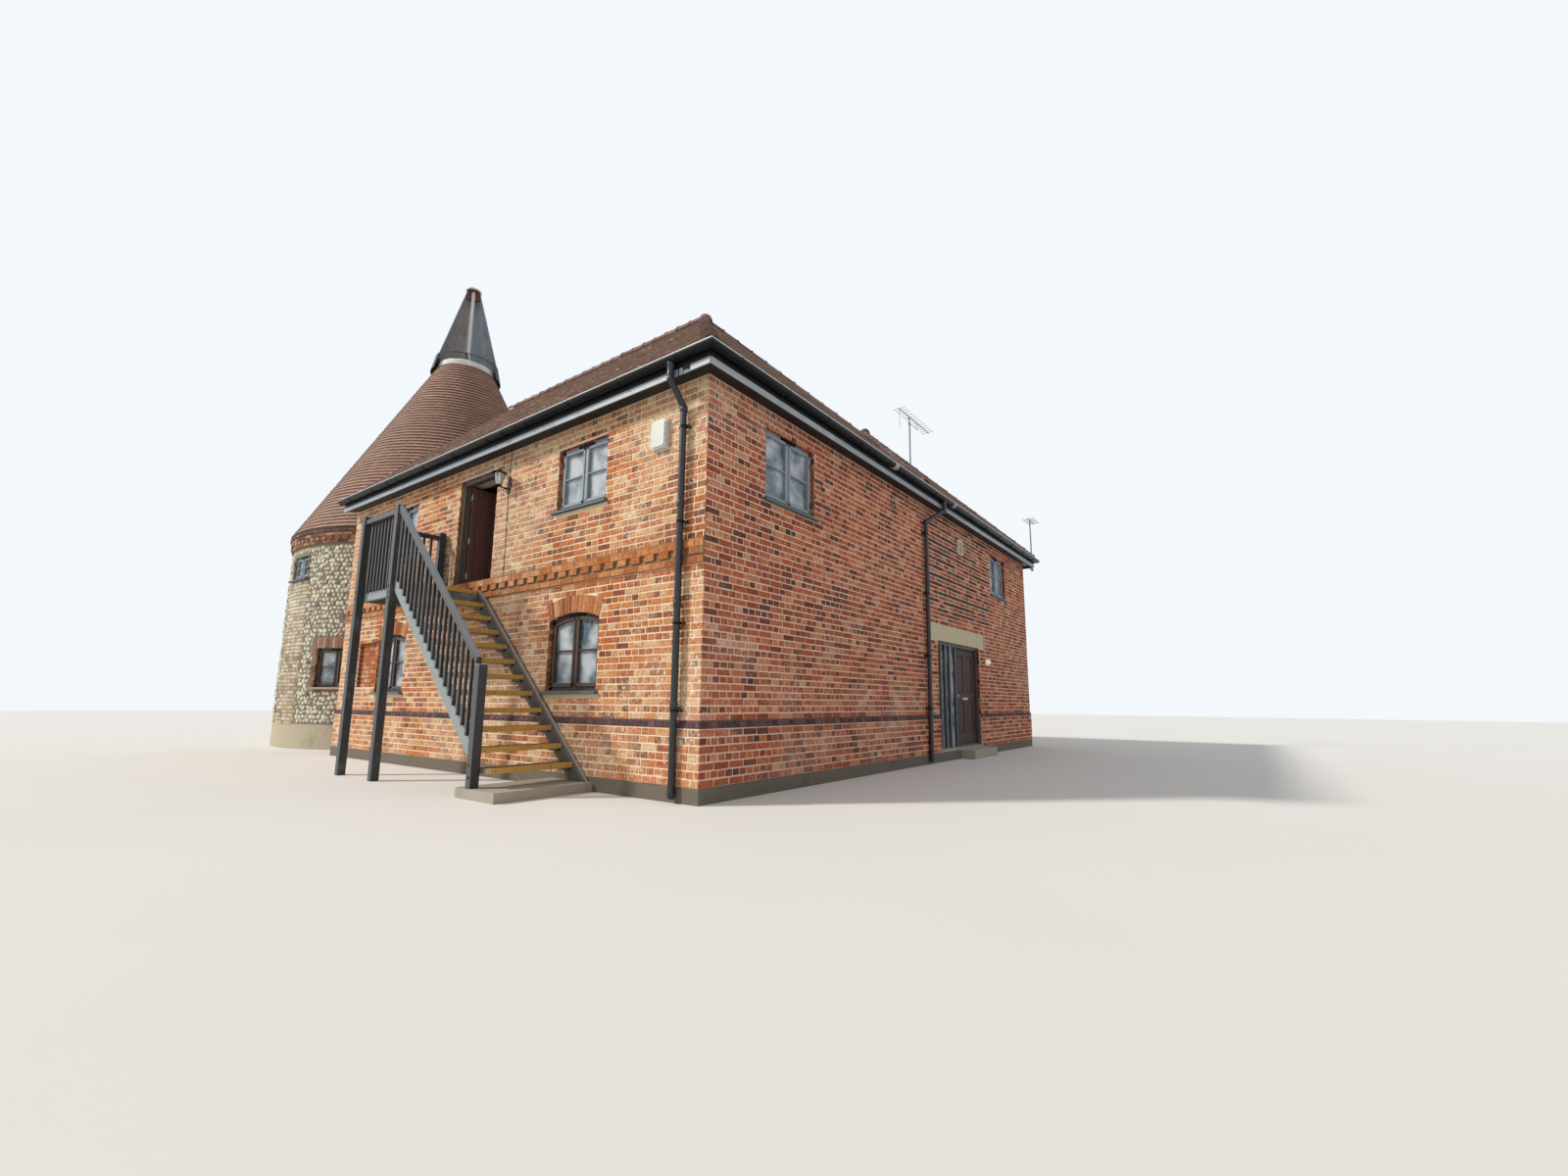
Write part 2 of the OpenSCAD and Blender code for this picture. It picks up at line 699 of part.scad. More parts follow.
// Frame of the side opening, with the upright slats of the fixed screen
module side_door_frame() color("dimgray") {
    h = side_head_z - ground_z;
    translate([side_in, 0, ground_z]) {
        translate([0, side_y1 - jamb_w, 0]) cube([jamb_d, jamb_w, h]);
        translate([0, screen_y1, 0]) cube([jamb_d, jamb_w, h - jamb_w]);
        translate([0, side_y0, h - jamb_w]) cube([jamb_d, side_open_w - jamb_w, jamb_w]);
        translate([0, screen_y1 + jamb_w, 0])
            cube([jamb_d, side_leaf_w + 2 * leaf_gap, threshold_h]);
        for (i = [0 : slats - 1]) translate([0, side_y0 + i * slat_pitch, 0])
            cube([jamb_d, slat_w, h - jamb_w]);
    }
}

module end_window_glass() color("lightcyan") {
    for (win = END_WINDOWS) window_panes(win);
    for (i = [0 : slats - 1]) translate([side_in + 30, side_y0 + i * slat_pitch + slat_w, ground_z])
        cube([glass_t, i == slats - 1 ? screen_y1 - side_y0 - i * slat_pitch - slat_w
            : slat_pitch - slat_w, side_head_z - jamb_w - ground_z]);
}

module side_step() color("silver") {
    translate([hl + plinth_out, side_leaf_y0 - 100, 0])
        cube([step_out, side_leaf_w + 200, ground_z - 40]);
    translate([side_in + jamb_d, side_y0, footing_h])
        cube([hl - side_in - jamb_d + plinth_out, side_open_w, ground_z - footing_h]);
    translate([hl - wall_t, side_y0, footing_h])
        cube([side_in + jamb_d - hl + wall_t, side_open_w, ground_z - footing_h]);
}

nosing_t = 12;
string_in_y = -hd - stair_wall_gap - string_t;
string_out_y = -hd - stair_w - string_t / 2;
tread_y = string_out_y + string_t;
tread_l = string_in_y - tread_y;
landing_x1 = upper_door_x1 - 180;
landing_x0 = landing_x1 - landing_l;

// Front edge and top of a tread, counted upwards from 1, with the landing as the last
function step_x(i) = landing_x1 + (stair_rises - i) * going;
function step_z(i) = pad_h + i * rise;

string_x1 = step_x(1) + 250;
string_up = 25;

// String from its upper end at x0 down to x1
module string_board(y, x0, x1) translate([0, y + string_t, 0]) rotate([90, 0, 0])
    linear_extrude(string_t) intersection() {
        translate([landing_x1, first_z]) rotate(-stair_slope)
            translate([-house_l, string_up - string_d]) square([2 * house_l, string_d]);
        translate([x0, pad_h]) square([x1 - x0, first_z - pad_h]);
    }

module stair_strings() color("dimgray") {
    string_board(string_in_y, landing_x1, string_x1);
    string_board(string_out_y, post_x1 + post_w, newel_x);
}

module stair_treads() color("darkslategray") for (i = [1 : stair_rises - 1])
    translate([step_x(i) - tread_d, tread_y, step_z(i) - tread_t])
        cube([tread_d - nosing_t, tread_l, tread_t]);

module stair_nosings() color("goldenrod") for (i = [1 : stair_rises])
    translate([step_x(i) - nosing_t, tread_y, step_z(i) - tread_t])
        cube([nosing_t, tread_l, tread_t]);

post_y = tread_y - post_w;
newel_x = step_x(1) - 180 - post_w;
newel_z = step_z(1) + rail_h + 180;
post_x1 = landing_x1 - 160 - post_w / 2;
post_x0 = landing_x0 + 5;
post_top = first_z + landing_rail_h + 55;
rail_w = 60;
rail_y = post_y + (post_w - rail_w) / 2;

// Height of the pitch line over a place on the flight
function pitch_z(x) = first_z + (landing_x1 - x) * rise / going;

module stair_balustrade() color("dimgray") {
    x0 = post_x1 + post_w;
    x1 = newel_x;
    translate([newel_x, post_y, pad_h]) cube([post_w, post_w, newel_z - pad_h]);
    translate([0, rail_y + rail_w, 0]) rotate([90, 0, 0]) linear_extrude(rail_w)
        polygon([[x0, pitch_z(x0) + rail_h - rail_d / cos(stair_slope)],
            [x1, pitch_z(x1) + rail_h - rail_d / cos(stair_slope)], [x1, pitch_z(x1) + rail_h],
            [x0, pitch_z(x0) + rail_h]]);
    bars = floor((x1 - x0) / baluster_pitch);
    for (i = [1 : bars]) {
        x = x0 + i * (x1 - x0) / (bars + 1);
        translate([x - baluster_w / 2, string_out_y - baluster_w, pitch_z(x) - baluster_lap])
            cube([baluster_w, baluster_w, rail_h + baluster_lap - rail_d]);
    }
}

deck_t = 40;
joist_t = 50;
joist_h = 150;
deck_w = -hd - stair_wall_gap - tread_y;

// Boards on a frame of joists
module landing_deck() color("dimgray") translate([landing_x0, tread_y, first_z - deck_t]) {
    cube([landing_l - nosing_t, deck_w, deck_t]);
    for (y = [0, (deck_w - joist_t) / 2, deck_w - joist_t]) translate([0, y, -joist_h])
        cube([landing_l - nosing_t, joist_t, joist_h]);
    for (x = [0, landing_l - nosing_t - joist_t]) translate([x, 0, -joist_h])
        cube([joist_t, deck_w, joist_h]);
}

wall_post_y = -hd - stair_wall_gap - post_w;

module landing_posts() color("dimgray") {
    for (x = [post_x0, post_x1]) translate([x, post_y, 0]) cube([post_w, post_w, post_top]);
    translate([post_x0, wall_post_y, first_z]) cube([post_w, post_w, post_top - first_z]);
}

// Rail and bars between two posts, drawn along x from 0, with the bars at y and from z upwards
module rail_panel(l, y, z) {
    translate([0, -rail_w / 2, landing_rail_h - rail_d]) cube([l, rail_w, rail_d]);
    bars = round(l / baluster_pitch);
    for (i = [1 : bars]) translate([i * l / (bars + 1) - baluster_w / 2, y, z])
        cube([baluster_w, baluster_w, landing_rail_h - rail_d / 2 - z]);
}

module landing_balustrades() color("dimgray") {
    l = wall_post_y - tread_y;
    translate([post_x0 + post_w, post_y + post_w / 2, first_z])
        rail_panel(post_x1 - post_x0 - post_w, post_w / 2 - baluster_w, -deck_t - baluster_lap);
    translate([post_x0 + post_w / 2, post_y + post_w, first_z]) rotate(90) {
        rail_panel(l, -baluster_w / 2, 0);
        translate([0, -rail_w / 2, 0]) cube([l, rail_w, rail_d]);
    }
}

module stair_pad() color("lightgray")
    translate([string_x1 - 680, -hd - stair_w - 90, 0]) cube([730, stair_w + 90 - plinth_out, pad_h]);

// Keeps what lies outside the house
module outside_house() difference() {
    children();
    translate([-hl, -2 * hd, -1]) cube([2 * hd, 4 * hd, 2 * cone_top_z]);
}

// One stretch of the round wall, between two angles, short of its neighbours by a hair
joint_a = 0.004;
module kiln_wall(a, b) difference() {
    translate([kiln_x, kiln_y, kiln_plinth_h]) rotate(a + joint_a)
        rotate_extrude(angle = b - a - 2 * joint_a, $fn = 192)
        translate([kiln_r - kiln_t, 0]) square([kiln_t, kiln_wall_h - kiln_plinth_h]);
    for (win = KILN_WINDOWS) window_cuts(win);
}

module kiln_wall_front() color("wheat") kiln_wall(-120, -40);
module kiln_wall_house() color("wheat") kiln_wall(-40, 50);
module kiln_wall_back() color("wheat") kiln_wall(50, 145);
module kiln_wall_west() color("wheat") kiln_wall(145, 240);

module kiln_plinth() color("wheat") {
    translate([kiln_x, kiln_y, 0]) difference() {
        cylinder(r = kiln_r, h = kiln_plinth_h, $fn = 192);
        translate([0, 0, -1]) cylinder(r = kiln_r - kiln_t, h = kiln_plinth_h + 2, $fn = 192);
        translate([-kiln_x - hl - plinth_out, -hd, -1]) cube([hd, 2 * hd, footing_h + 1]);
    }
}

cornice_h = 240;
cornice_out = 45;

module kiln_cornice() color("brown") outside_house() translate([kiln_x, kiln_y, 0])
    rotate_extrude($fn = 192) polygon([[kiln_r, kiln_wall_h - cornice_h],
        [kiln_r + cornice_out / 2, kiln_wall_h - cornice_h], [kiln_r + cornice_out, kiln_wall_h - 80],
        [kiln_r + cornice_out, kiln_wall_h], [kiln_r, kiln_wall_h]]);

cone_edge_z = kiln_wall_h + 50;
cone_slope = (kiln_r + kiln_tile_out - cone_top_r) / (cone_top_z - cone_edge_z);
plate_h = 170;
plate_in = kiln_r - 250;

function cone_inner_r(z) = cone_top_r - cone_t + (cone_top_z - z) * cone_slope;

// One stretch of the cone's shell, with the wall plate that it stands on
module kiln_roof(a, b) outside_house() translate([kiln_x, kiln_y, seat_gap]) rotate(a + joint_a)
    rotate_extrude(angle = b - a - 2 * joint_a, $fn = 192) polygon([[kiln_r, kiln_wall_h],
        [kiln_r + kiln_tile_out, cone_edge_z], [cone_top_r, cone_top_z],
        [cone_top_r - cone_t, cone_top_z],
        [cone_inner_r(kiln_wall_h + plate_h), kiln_wall_h + plate_h],
        [plate_in, kiln_wall_h + plate_h], [plate_in, kiln_wall_h]]);

module kiln_roof_front() color("sienna") kiln_roof(-120, -40);
module kiln_roof_house() color("sienna") kiln_roof(-40, 50);
module kiln_roof_back() color("sienna") kiln_roof(50, 145);
module kiln_roof_west() color("sienna") kiln_roof(145, 240);

curb_h = 60;
beam_w = 140;
beam_z = cone_top_z - 260;
low_beam_z = beam_z - 900;

// Mortar ring on the cone, with the two beams that hold the cowl's shaft
module cowl_bearing() color("gainsboro") translate([kiln_x, kiln_y, 0]) {
    translate([0, 0, cone_top_z + 2 * seat_gap]) difference() {
        cylinder(r = cone_top_r - 20, h = curb_h, $fn = 96);
        translate([0, 0, -1]) cylinder(r = cone_top_r - cone_t, h = curb_h + 2, $fn = 96);
    }
    for (z = [beam_z, low_beam_z]) difference() {
        intersection() {
            translate([-kiln_r, -beam_w / 2, z]) cube([2 * kiln_r, beam_w, beam_w]);
            cylinder(r1 = cone_inner_r(0) - seat_gap, r2 = cone_inner_r(cone_top_z) - seat_gap,
                h = cone_top_z, $fn = 96);
        }
        translate([0, 0, z - 1]) cylinder(r = shaft_r + shaft_gap, h = beam_w + 2, $fn = 64);
    }
}

hood_z0 = cone_top_z + hood_lift;
hood_z1 = cone_top_z + cowl_h - 70;
ring_h = 60;
ring_w = 90;

module cowl_frame() translate([kiln_x, kiln_y, 0]) rotate(cowl_turn) children();

// Boarded half cone, open on the +x side before it is turned
module cowl_hood() color("gray") cowl_frame() rotate(180 - cowl_wrap / 2)
    rotate_extrude(angle = cowl_wrap, $fn = 96) polygon([[cowl_foot_r - cowl_t, hood_z0 + seat_gap],
        [cowl_foot_r, hood_z0 + seat_gap], [cowl_top_r, hood_z1 - seat_gap],
        [cowl_top_r - cowl_t, hood_z1 - seat_gap]]);

skirt_wrap = 240;
skirt_out = 110;
skirt_h = 430;

module cowl_skirt() color("black") cowl_frame() rotate(180 - skirt_wrap / 2)
    rotate_extrude(angle = skirt_wrap, $fn = 96) polygon([[cowl_foot_r, hood_z0],
        [cowl_foot_r + 20, hood_z0], [cowl_foot_r + skirt_out, hood_z0 - skirt_h],
        [cowl_foot_r + skirt_out - 20, hood_z0 - skirt_h]]);

// Middle post with its shaft, the foot ring with its arms, and the cap board
module cowl_post() color("silver") cowl_frame() {
    w = cowl_post_w;
    translate([0, 0, low_beam_z]) cylinder(r = shaft_r, h = hood_z0 - ring_h - low_beam_z, $fn = 64);
    translate([-w / 2, -w / 2, hood_z0 - ring_h]) cube([w, w, hood_z1 - hood_z0 + ring_h]);
    translate([0, 0, hood_z0 - ring_h]) {
        difference() {
            cylinder(r = cowl_foot_r, h = ring_h, $fn = 96);
            translate([0, 0, -1]) cylinder(r = cowl_foot_r - ring_w, h = ring_h + 2, $fn = 96);
        }
        translate([-cowl_foot_r + ring_w / 2, -w / 2, 0]) cube([2 * cowl_foot_r - ring_w, w, ring_h]);
    }
    translate([0, 0, hood_z1]) cylinder(r = cowl_top_r + 30, h = 35, $fn = 64);
}

lantern_h = 170;
lantern_cap_h = 50;
lantern_arm_t = 20;
lantern_stem = 25;

// Shield, arm, glass and cap of the lantern by the loading door
module wall_lantern() translate([hl - lantern_s, -hd, lantern_z]) {
    rotate([90, 0, 0]) linear_extrude(lantern_arm_t / 2)
        polygon([[0, -100], [60, 30], [45, 165], [-45, 165], [-60, 30]]);
    translate([-lantern_arm_t / 2, -lantern_out, -lantern_stem])
        cube([lantern_arm_t, lantern_out, lantern_arm_t]);
    translate([0, -lantern_out, -lantern_stem]) cylinder(r = 14, h = lantern_stem, $fn = 24);
    translate([0, -lantern_out, 0]) cylinder(r1 = lantern_r - 25, r2 = lantern_r, h = lantern_h, $fn = 6);
    translate([0, -lantern_out, lantern_h])
        cylinder(r1 = lantern_r + 40, r2 = 12, h = lantern_cap_h, $fn = 6);
    translate([0, -lantern_out, lantern_h + lantern_cap_h]) cylinder(r = 8, h = 40, $fn = 16);
}

lamp_t = 8460;
lamp_z = 1840;
lamp_r = 60;

module wall_lamp() translate([hl, lamp_t - hd, lamp_z]) {
    rotate([0, 90, 0]) cylinder(r = 45, h = 20, $fn = 32);
    translate([lamp_r, 0, 0]) sphere(r = lamp_r, $fn = 32);
}

module wall_lights() color("black") {
    wall_lantern();
    wall_lamp();
}

// Alarm box by the corner and vent box over the side door
module wall_boxes() color("white") {
    translate([hl - alarm_s - alarm_w, -hd - alarm_d, alarm_z]) cube([alarm_w, alarm_d, alarm_h]);
    translate([hl, vent_t - hd, vent_z]) cube([vent_d, vent_w, vent_h]);
}

mast_r = 16;
boom_r = 10;
rod_r = 6;
rod_l = 300;
rod_inset = 50;
drop_rod_l = 500;
brace_drop = 180;

// Boom and cross rods of an aerial that points away from the stair face
module aerial_head(l, rods) {
    step = (l - 2 * rod_inset) / (rods - 1);
    translate([0, -l / 3, 0]) rotate([-90, 0, 0]) cylinder(r = boom_r, h = l, $fn = 16);
    for (i = [0 : rods - 1]) translate([-rod_l / 2, -l / 3 + rod_inset + i * step, 0]) rotate([0, 90, 0])
        cylinder(r = rod_r, h = rod_l, $fn = 16);
}

// Aerial whose mast comes out of the back slope
module slope_aerial() translate([hl - aerial_s, hd - aerial_t, 0]) {
    foot_z = tile_top(aerial_t);
    difference() {
        translate([0, 0, foot_z - 2 * mast_r])
            cylinder(r = mast_r, h = aerial_z - foot_z + 2 * mast_r, $fn = 24);
        translate([0, 0, foot_z + seat_gap]) rotate([-pitch, 0, 0])
            translate([-3 * mast_r, -3 * mast_r, -6 * mast_r]) cube(6 * mast_r);
    }
    translate([0, 0, aerial_z]) aerial_head(aerial_l, 13);
    translate([0, rod_inset - aerial_l / 3, aerial_z - drop_rod_l])
        cylinder(r = rod_r, h = drop_rod_l, $fn = 16);
    translate([0, 0, aerial_z - brace_drop]) rotate([-90, 0, 0])
        cylinder(r = rod_r, h = drop_rod_l, $fn = 16);
    translate([0, drop_rod_l - rod_inset, aerial_z - brace_drop])
        cylinder(r = rod_r, h = brace_drop, $fn = 16);
}

bracket_t = 20;
bracket_in = 60;
bracket_l = 80;
bracket_x = hl + 130;
eaves_mast_out = 390;

// Aerial on a bracket under the eaves at the back corner
module eaves_aerial() translate([bracket_x, hd, 0]) {
    foot_z = wall_h - fascia_drop - bracket_t;
    translate([-bracket_t / 2, bracket_in, foot_z])
        cube([bracket_t, eaves_mast_out - bracket_in, bracket_t]);
    translate([-bracket_t / 2, bracket_in, foot_z]) cube([bracket_t, bracket_l, wall_h - foot_z]);
    translate([0, eaves_mast_out, foot_z - bracket_t])
        cylinder(r = mast_r, h = eaves_aerial_z - foot_z + bracket_t, $fn = 24);
    translate([0, eaves_mast_out, eaves_aerial_z]) aerial_head(eaves_aerial_l, 5);
}

module roof_aerials() color("silver") {
    slope_aerial();
    eaves_aerial();
}

footing();
ground_floor();
upper_floor();
kiln_floors();
front_wall_west();
front_wall_below_door();
front_wall_over_door();
front_wall_east();
east_wall_south();
east_wall_over_door();
east_wall_north();
back_wall();
west_wall();
west_gables();
side_lintel();
dentil_band();
eaves();
gutters();
downpipes();
roof_outer_slopes();
roof_inner_slopes();
roof_hip_slopes();
ridge_tiles();
valley_gutter();
window_frames();
front_window_glass();
end_window_glass();
back_window_glass();
kiln_window_glass();
window_sills();
upper_door_frame();
upper_door();
side_door();
side_door_frame();
side_step();
stair_strings();
stair_treads();
stair_nosings();
stair_balustrade();
landing_deck();
landing_posts();
landing_balustrades();
stair_pad();
kiln_wall_front();
kiln_wall_house();
kiln_wall_back();
kiln_wall_west();
kiln_plinth();
kiln_cornice();
kiln_roof_front();
kiln_roof_house();
kiln_roof_back();
kiln_roof_west();
cowl_bearing();
cowl_hood();
cowl_skirt();
cowl_post();
wall_lights();
wall_boxes();
roof_aerials();
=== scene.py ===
import math
import bpy
import bmesh
import numpy as np
from mathutils import Matrix, Vector


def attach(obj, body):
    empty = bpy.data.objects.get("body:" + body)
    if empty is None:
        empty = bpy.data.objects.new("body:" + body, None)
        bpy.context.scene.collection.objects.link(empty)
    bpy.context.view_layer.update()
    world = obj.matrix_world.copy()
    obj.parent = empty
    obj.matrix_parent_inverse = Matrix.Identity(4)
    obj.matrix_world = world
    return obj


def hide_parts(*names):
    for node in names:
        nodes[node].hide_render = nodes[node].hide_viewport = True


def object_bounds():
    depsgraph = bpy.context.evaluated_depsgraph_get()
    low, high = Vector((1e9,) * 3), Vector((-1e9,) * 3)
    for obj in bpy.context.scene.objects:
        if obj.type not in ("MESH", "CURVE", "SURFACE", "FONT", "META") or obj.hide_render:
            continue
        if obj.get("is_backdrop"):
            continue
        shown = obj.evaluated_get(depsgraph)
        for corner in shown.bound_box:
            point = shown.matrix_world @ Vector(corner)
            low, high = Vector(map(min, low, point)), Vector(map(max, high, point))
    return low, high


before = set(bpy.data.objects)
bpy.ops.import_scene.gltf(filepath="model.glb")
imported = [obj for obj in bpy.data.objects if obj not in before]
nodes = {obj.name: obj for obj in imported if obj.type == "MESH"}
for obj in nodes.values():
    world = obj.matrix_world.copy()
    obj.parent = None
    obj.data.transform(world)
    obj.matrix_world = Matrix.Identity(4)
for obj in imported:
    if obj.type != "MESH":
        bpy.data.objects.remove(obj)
cadBox = [list(corner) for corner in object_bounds()]
chance = np.random.default_rng(1871)

# The house's own sizes in metres, the same as in the part's source
house = dict(halfLength=4.45, halfDepth=5.8, footingTop=0.16, plinthTop=0.8, plinthOut=0.02, splay=0.075,
             course=0.0765, bandFoot=2.395, bandOut=0.025, dentilPitch=0.224, dentilGap=0.075)
roof = dict(pitch=math.radians(44), tileOut=0.24, edgeZ=4.65, verge=0.05, valleyHalf=0.09)
kiln = dict(x=-7.45, y=-2.6, radius=3.15, plinthTop=0.48, wallTop=4.43,
            edgeRadius=3.235, edgeZ=4.48, firstTail=0.052, topRadius=0.66, topZ=9.58,
            rolls=96, rollFrom=18, rollSweep=324, rollRadius=3.209, rollZ=4.452)


# Camera at the photograph's place

cameraView = dict(place=(8.835, -10.438, 0.987), yaw=0.6286, pitch=0.1515, roll=0.0079,
                  lens=14.60, shift=(-0.0003, 0.0111))


def setCamera():
    yaw, pitch, roll = (cameraView[k] for k in ("yaw", "pitch", "roll"))
    ahead = Vector((-math.sin(yaw) * math.cos(pitch), math.cos(yaw) * math.cos(pitch), math.sin(pitch)))
    level = Vector((math.cos(yaw), math.sin(yaw), 0))
    upright = level.cross(ahead)
    right = level * math.cos(roll) + upright * math.sin(roll)
    up = upright * math.cos(roll) - level * math.sin(roll)
    lens = bpy.data.cameras.new("camera")
    lens.lens = cameraView["lens"]
    lens.sensor_width = 36
    lens.shift_x, lens.shift_y = cameraView["shift"]
    lens.clip_start, lens.clip_end = 0.05, 300
    camera = bpy.data.objects.new("camera", lens)
    bpy.context.scene.collection.objects.link(camera)
    turn = Matrix((right, up, -ahead)).transposed().to_4x4()
    camera.matrix_world = Matrix.Translation(cameraView["place"]) @ turn
    bpy.context.scene.camera = camera


setCamera()
print("camera set")


# Shader tools

def paint(code, alpha=1.0):
    # "#b5623f" as the linear colour that Blender's sockets take
    parts = [int(code[i:i + 2], 16) / 255 for i in (1, 3, 5)]
    return tuple(c / 12.92 if c <= 0.04045 else ((c + 0.055) / 1.055) ** 2.4 for c in parts) + (alpha,)


def put(tree, kind, inputs=None, **settings):
    # A node with its settings; an input is linked where another node's socket is given
    node = tree.nodes.new("ShaderNode" + kind)
    for key, value in settings.items():
        setattr(node, key, value)
    for key, value in (inputs or {}).items():
        if isinstance(value, bpy.types.NodeSocket):
            tree.links.new(value, node.inputs[key])
        else:
            node.inputs[key].default_value = value
    return node


def sums(tree, operation, a, b=0.5, clamp=False):
    return put(tree, "Math", {0: a, 1: b}, operation=operation, use_clamp=clamp).outputs[0]


def plus(tree, a, b, clamp=False):
    return sums(tree, "ADD", a, b, clamp)


def minus(tree, a, b):
    return sums(tree, "SUBTRACT", a, b)


def times(tree, a, b, clamp=False):
    return sums(tree, "MULTIPLY", a, b, clamp)


def blend(tree, factor, a, b, way="MIX"):
    return put(tree, "Mix", {0: factor, 6: a, 7: b}, data_type="RGBA", blend_type=way).outputs[2]


def noise(tree, place, scale, detail=2, rough=0.5, **more):
    inputs = {"Vector": place, "Scale": scale, "Detail": detail, "Roughness": rough}
    return put(tree, "TexNoise", {**inputs, **more}).outputs[0]


def ramp(tree, source, stops, hard=False):
    node = put(tree, "ValToRGB")
    band = node.color_ramp
    band.interpolation = "CONSTANT" if hard else "LINEAR"
    while len(band.elements) < len(stops):
        band.elements.new(0.5)
    for element, (place, colour) in zip(band.elements, stops):
        element.position = place
        element.color = paint(colour) if isinstance(colour, str) else (colour, colour, colour, 1)
    tree.links.new(source, node.inputs[0])
    return node.outputs[0]


def readTone(tree):
    return put(tree, "Attribute", attribute_name="tone").outputs["Fac"]


def readFibre(tree):
    return put(tree, "Attribute", attribute_name="fibre").outputs["Vector"]


def objectPlace(tree):
    return put(tree, "TexCoord").outputs["Object"]


def makeGroup(name, inputs, outputs):
    group = bpy.data.node_groups.new(name, "ShaderNodeTree")
    for label, kind, value in inputs:
        socket = group.interface.new_socket(label, in_out="INPUT", socket_type=kind)
        if value is not None:
            socket.default_value = value
    for label, kind in outputs:
        group.interface.new_socket(label, in_out="OUTPUT", socket_type=kind)
    return group, group.nodes.new("NodeGroupInput").outputs, group.nodes.new("NodeGroupOutput").inputs


def useGroup(tree, group, **inputs):
    return put(tree, "Group", inputs, node_tree=group).outputs


def wearGroup():
    # Soft patches, as of lime, damp or lichen, with ragged edges
    group, source, result = makeGroup("Patches", [("Vector", "NodeSocketVector", None),
                                                  ("Scale", "NodeSocketFloat", 1.0),
                                                  ("Spread", "NodeSocketFloat", 0.5)],
                                      [("Mask", "NodeSocketFloat")])
    broad = noise(group, source["Vector"], source["Scale"], 6, 0.62)
    fine = noise(group, source["Vector"], 38.0, 3)
    both = plus(group, broad, times(group, minus(group, fine, 0.5), 0.35))
    edge = minus(group, both, minus(group, 1.0, source["Spread"]))
    group.links.new(times(group, edge, 7.0, clamp=True), result["Mask"])
    return group


def speckGroup():
    # Sandy or gritty surface: a fine mask and a height
    group, source, result = makeGroup("Grit", [("Vector", "NodeSocketVector", None),
                                               ("Scale", "NodeSocketFloat", 80.0)],
                                      [("Mask", "NodeSocketFloat"), ("Height", "NodeSocketFloat")])
    coarse = noise(group, source["Vector"], source["Scale"], 5, 0.7)
    grains = put(group, "TexVoronoi", {"Vector": source["Vector"],
                                       "Scale": times(group, source["Scale"], 2.5)}).outputs[0]
    group.links.new(coarse, result["Mask"])
    group.links.new(plus(group, coarse, times(group, grains, 0.4)), result["Height"])
    return group


def grainGroup():
    # Sawn timber: long fibres with a few darker streaks, read along the board's own length
    group, source, result = makeGroup("Grain", [("Fibre", "NodeSocketVector", None),
                                                ("Fineness", "NodeSocketFloat", 90.0)],
                                      [("Streaks", "NodeSocketFloat"), ("Height", "NodeSocketFloat")])
    thin = put(group, "VectorMath", {0: source["Fibre"], 1: (0.035, 1.0, 1.0)}, operation="MULTIPLY").outputs[0]
    fibres = noise(group, thin, source["Fineness"], 6, 0.65, Distortion=0.4)
    wide = noise(group, thin, 14.0, 4)
    streaks = plus(group, times(group, fibres, 0.6), times(group, wide, 0.4))
    group.links.new(streaks, result["Streaks"])
    group.links.new(fibres, result["Height"])
    return group


def coursesGroup():
    # Brickwork seen edge on, for reveals and inner faces, by the height and the way along
    group, source, result = makeGroup("Courses", [("Vector", "NodeSocketVector", None)],
                                      [("Mortar", "NodeSocketFloat"), ("Shade", "NodeSocketColor")])
    part = put(group, "SeparateXYZ", {0: source["Vector"]}).outputs
    along = plus(group, part[0], part[1])
    flat = put(group, "CombineXYZ", {0: along, 1: part[2], 2: 0.0}).outputs[0]
    bricks = put(group, "TexBrick", {"Vector": flat, "Color1": paint("#a9502f"), "Color2": paint("#7d3a2a"),
                                     "Mortar": paint("#cdb79a"), "Scale": 1.0, "Mortar Size": 0.006,
                                     "Brick Width": 0.225, "Row Height": 0.0765}, offset=0.5)
    group.links.new(bricks.outputs[1], result["Mortar"])
    group.links.new(bricks.outputs[0], result["Shade"])
    return group


patches, grit, grain, courses = wearGroup(), speckGroup(), grainGroup(), coursesGroup()


def patchMask(tree, place, scale, spread):
    return useGroup(tree, patches, Vector=place, Scale=scale, Spread=spread)["Mask"]


def gritOn(tree, place, scale):
    return useGroup(tree, grit, Vector=place, Scale=scale)


def newFinish(name, rough=0.8, metal=0.0):
    material = bpy.data.materials.new(name)
    material.use_nodes = True
    tree = material.node_tree
    shader = tree.nodes["Principled BSDF"]
    shader.inputs["Roughness"].default_value = rough
    shader.inputs["Metallic"].default_value = metal
    return material, tree, shader


def bump(tree, shader, height, strength=0.4, distance=0.002):
    node = put(tree, "Bump", {"Height": height, "Strength": strength, "Distance": distance})
    tree.links.new(node.outputs[0], shader.inputs["Normal"])


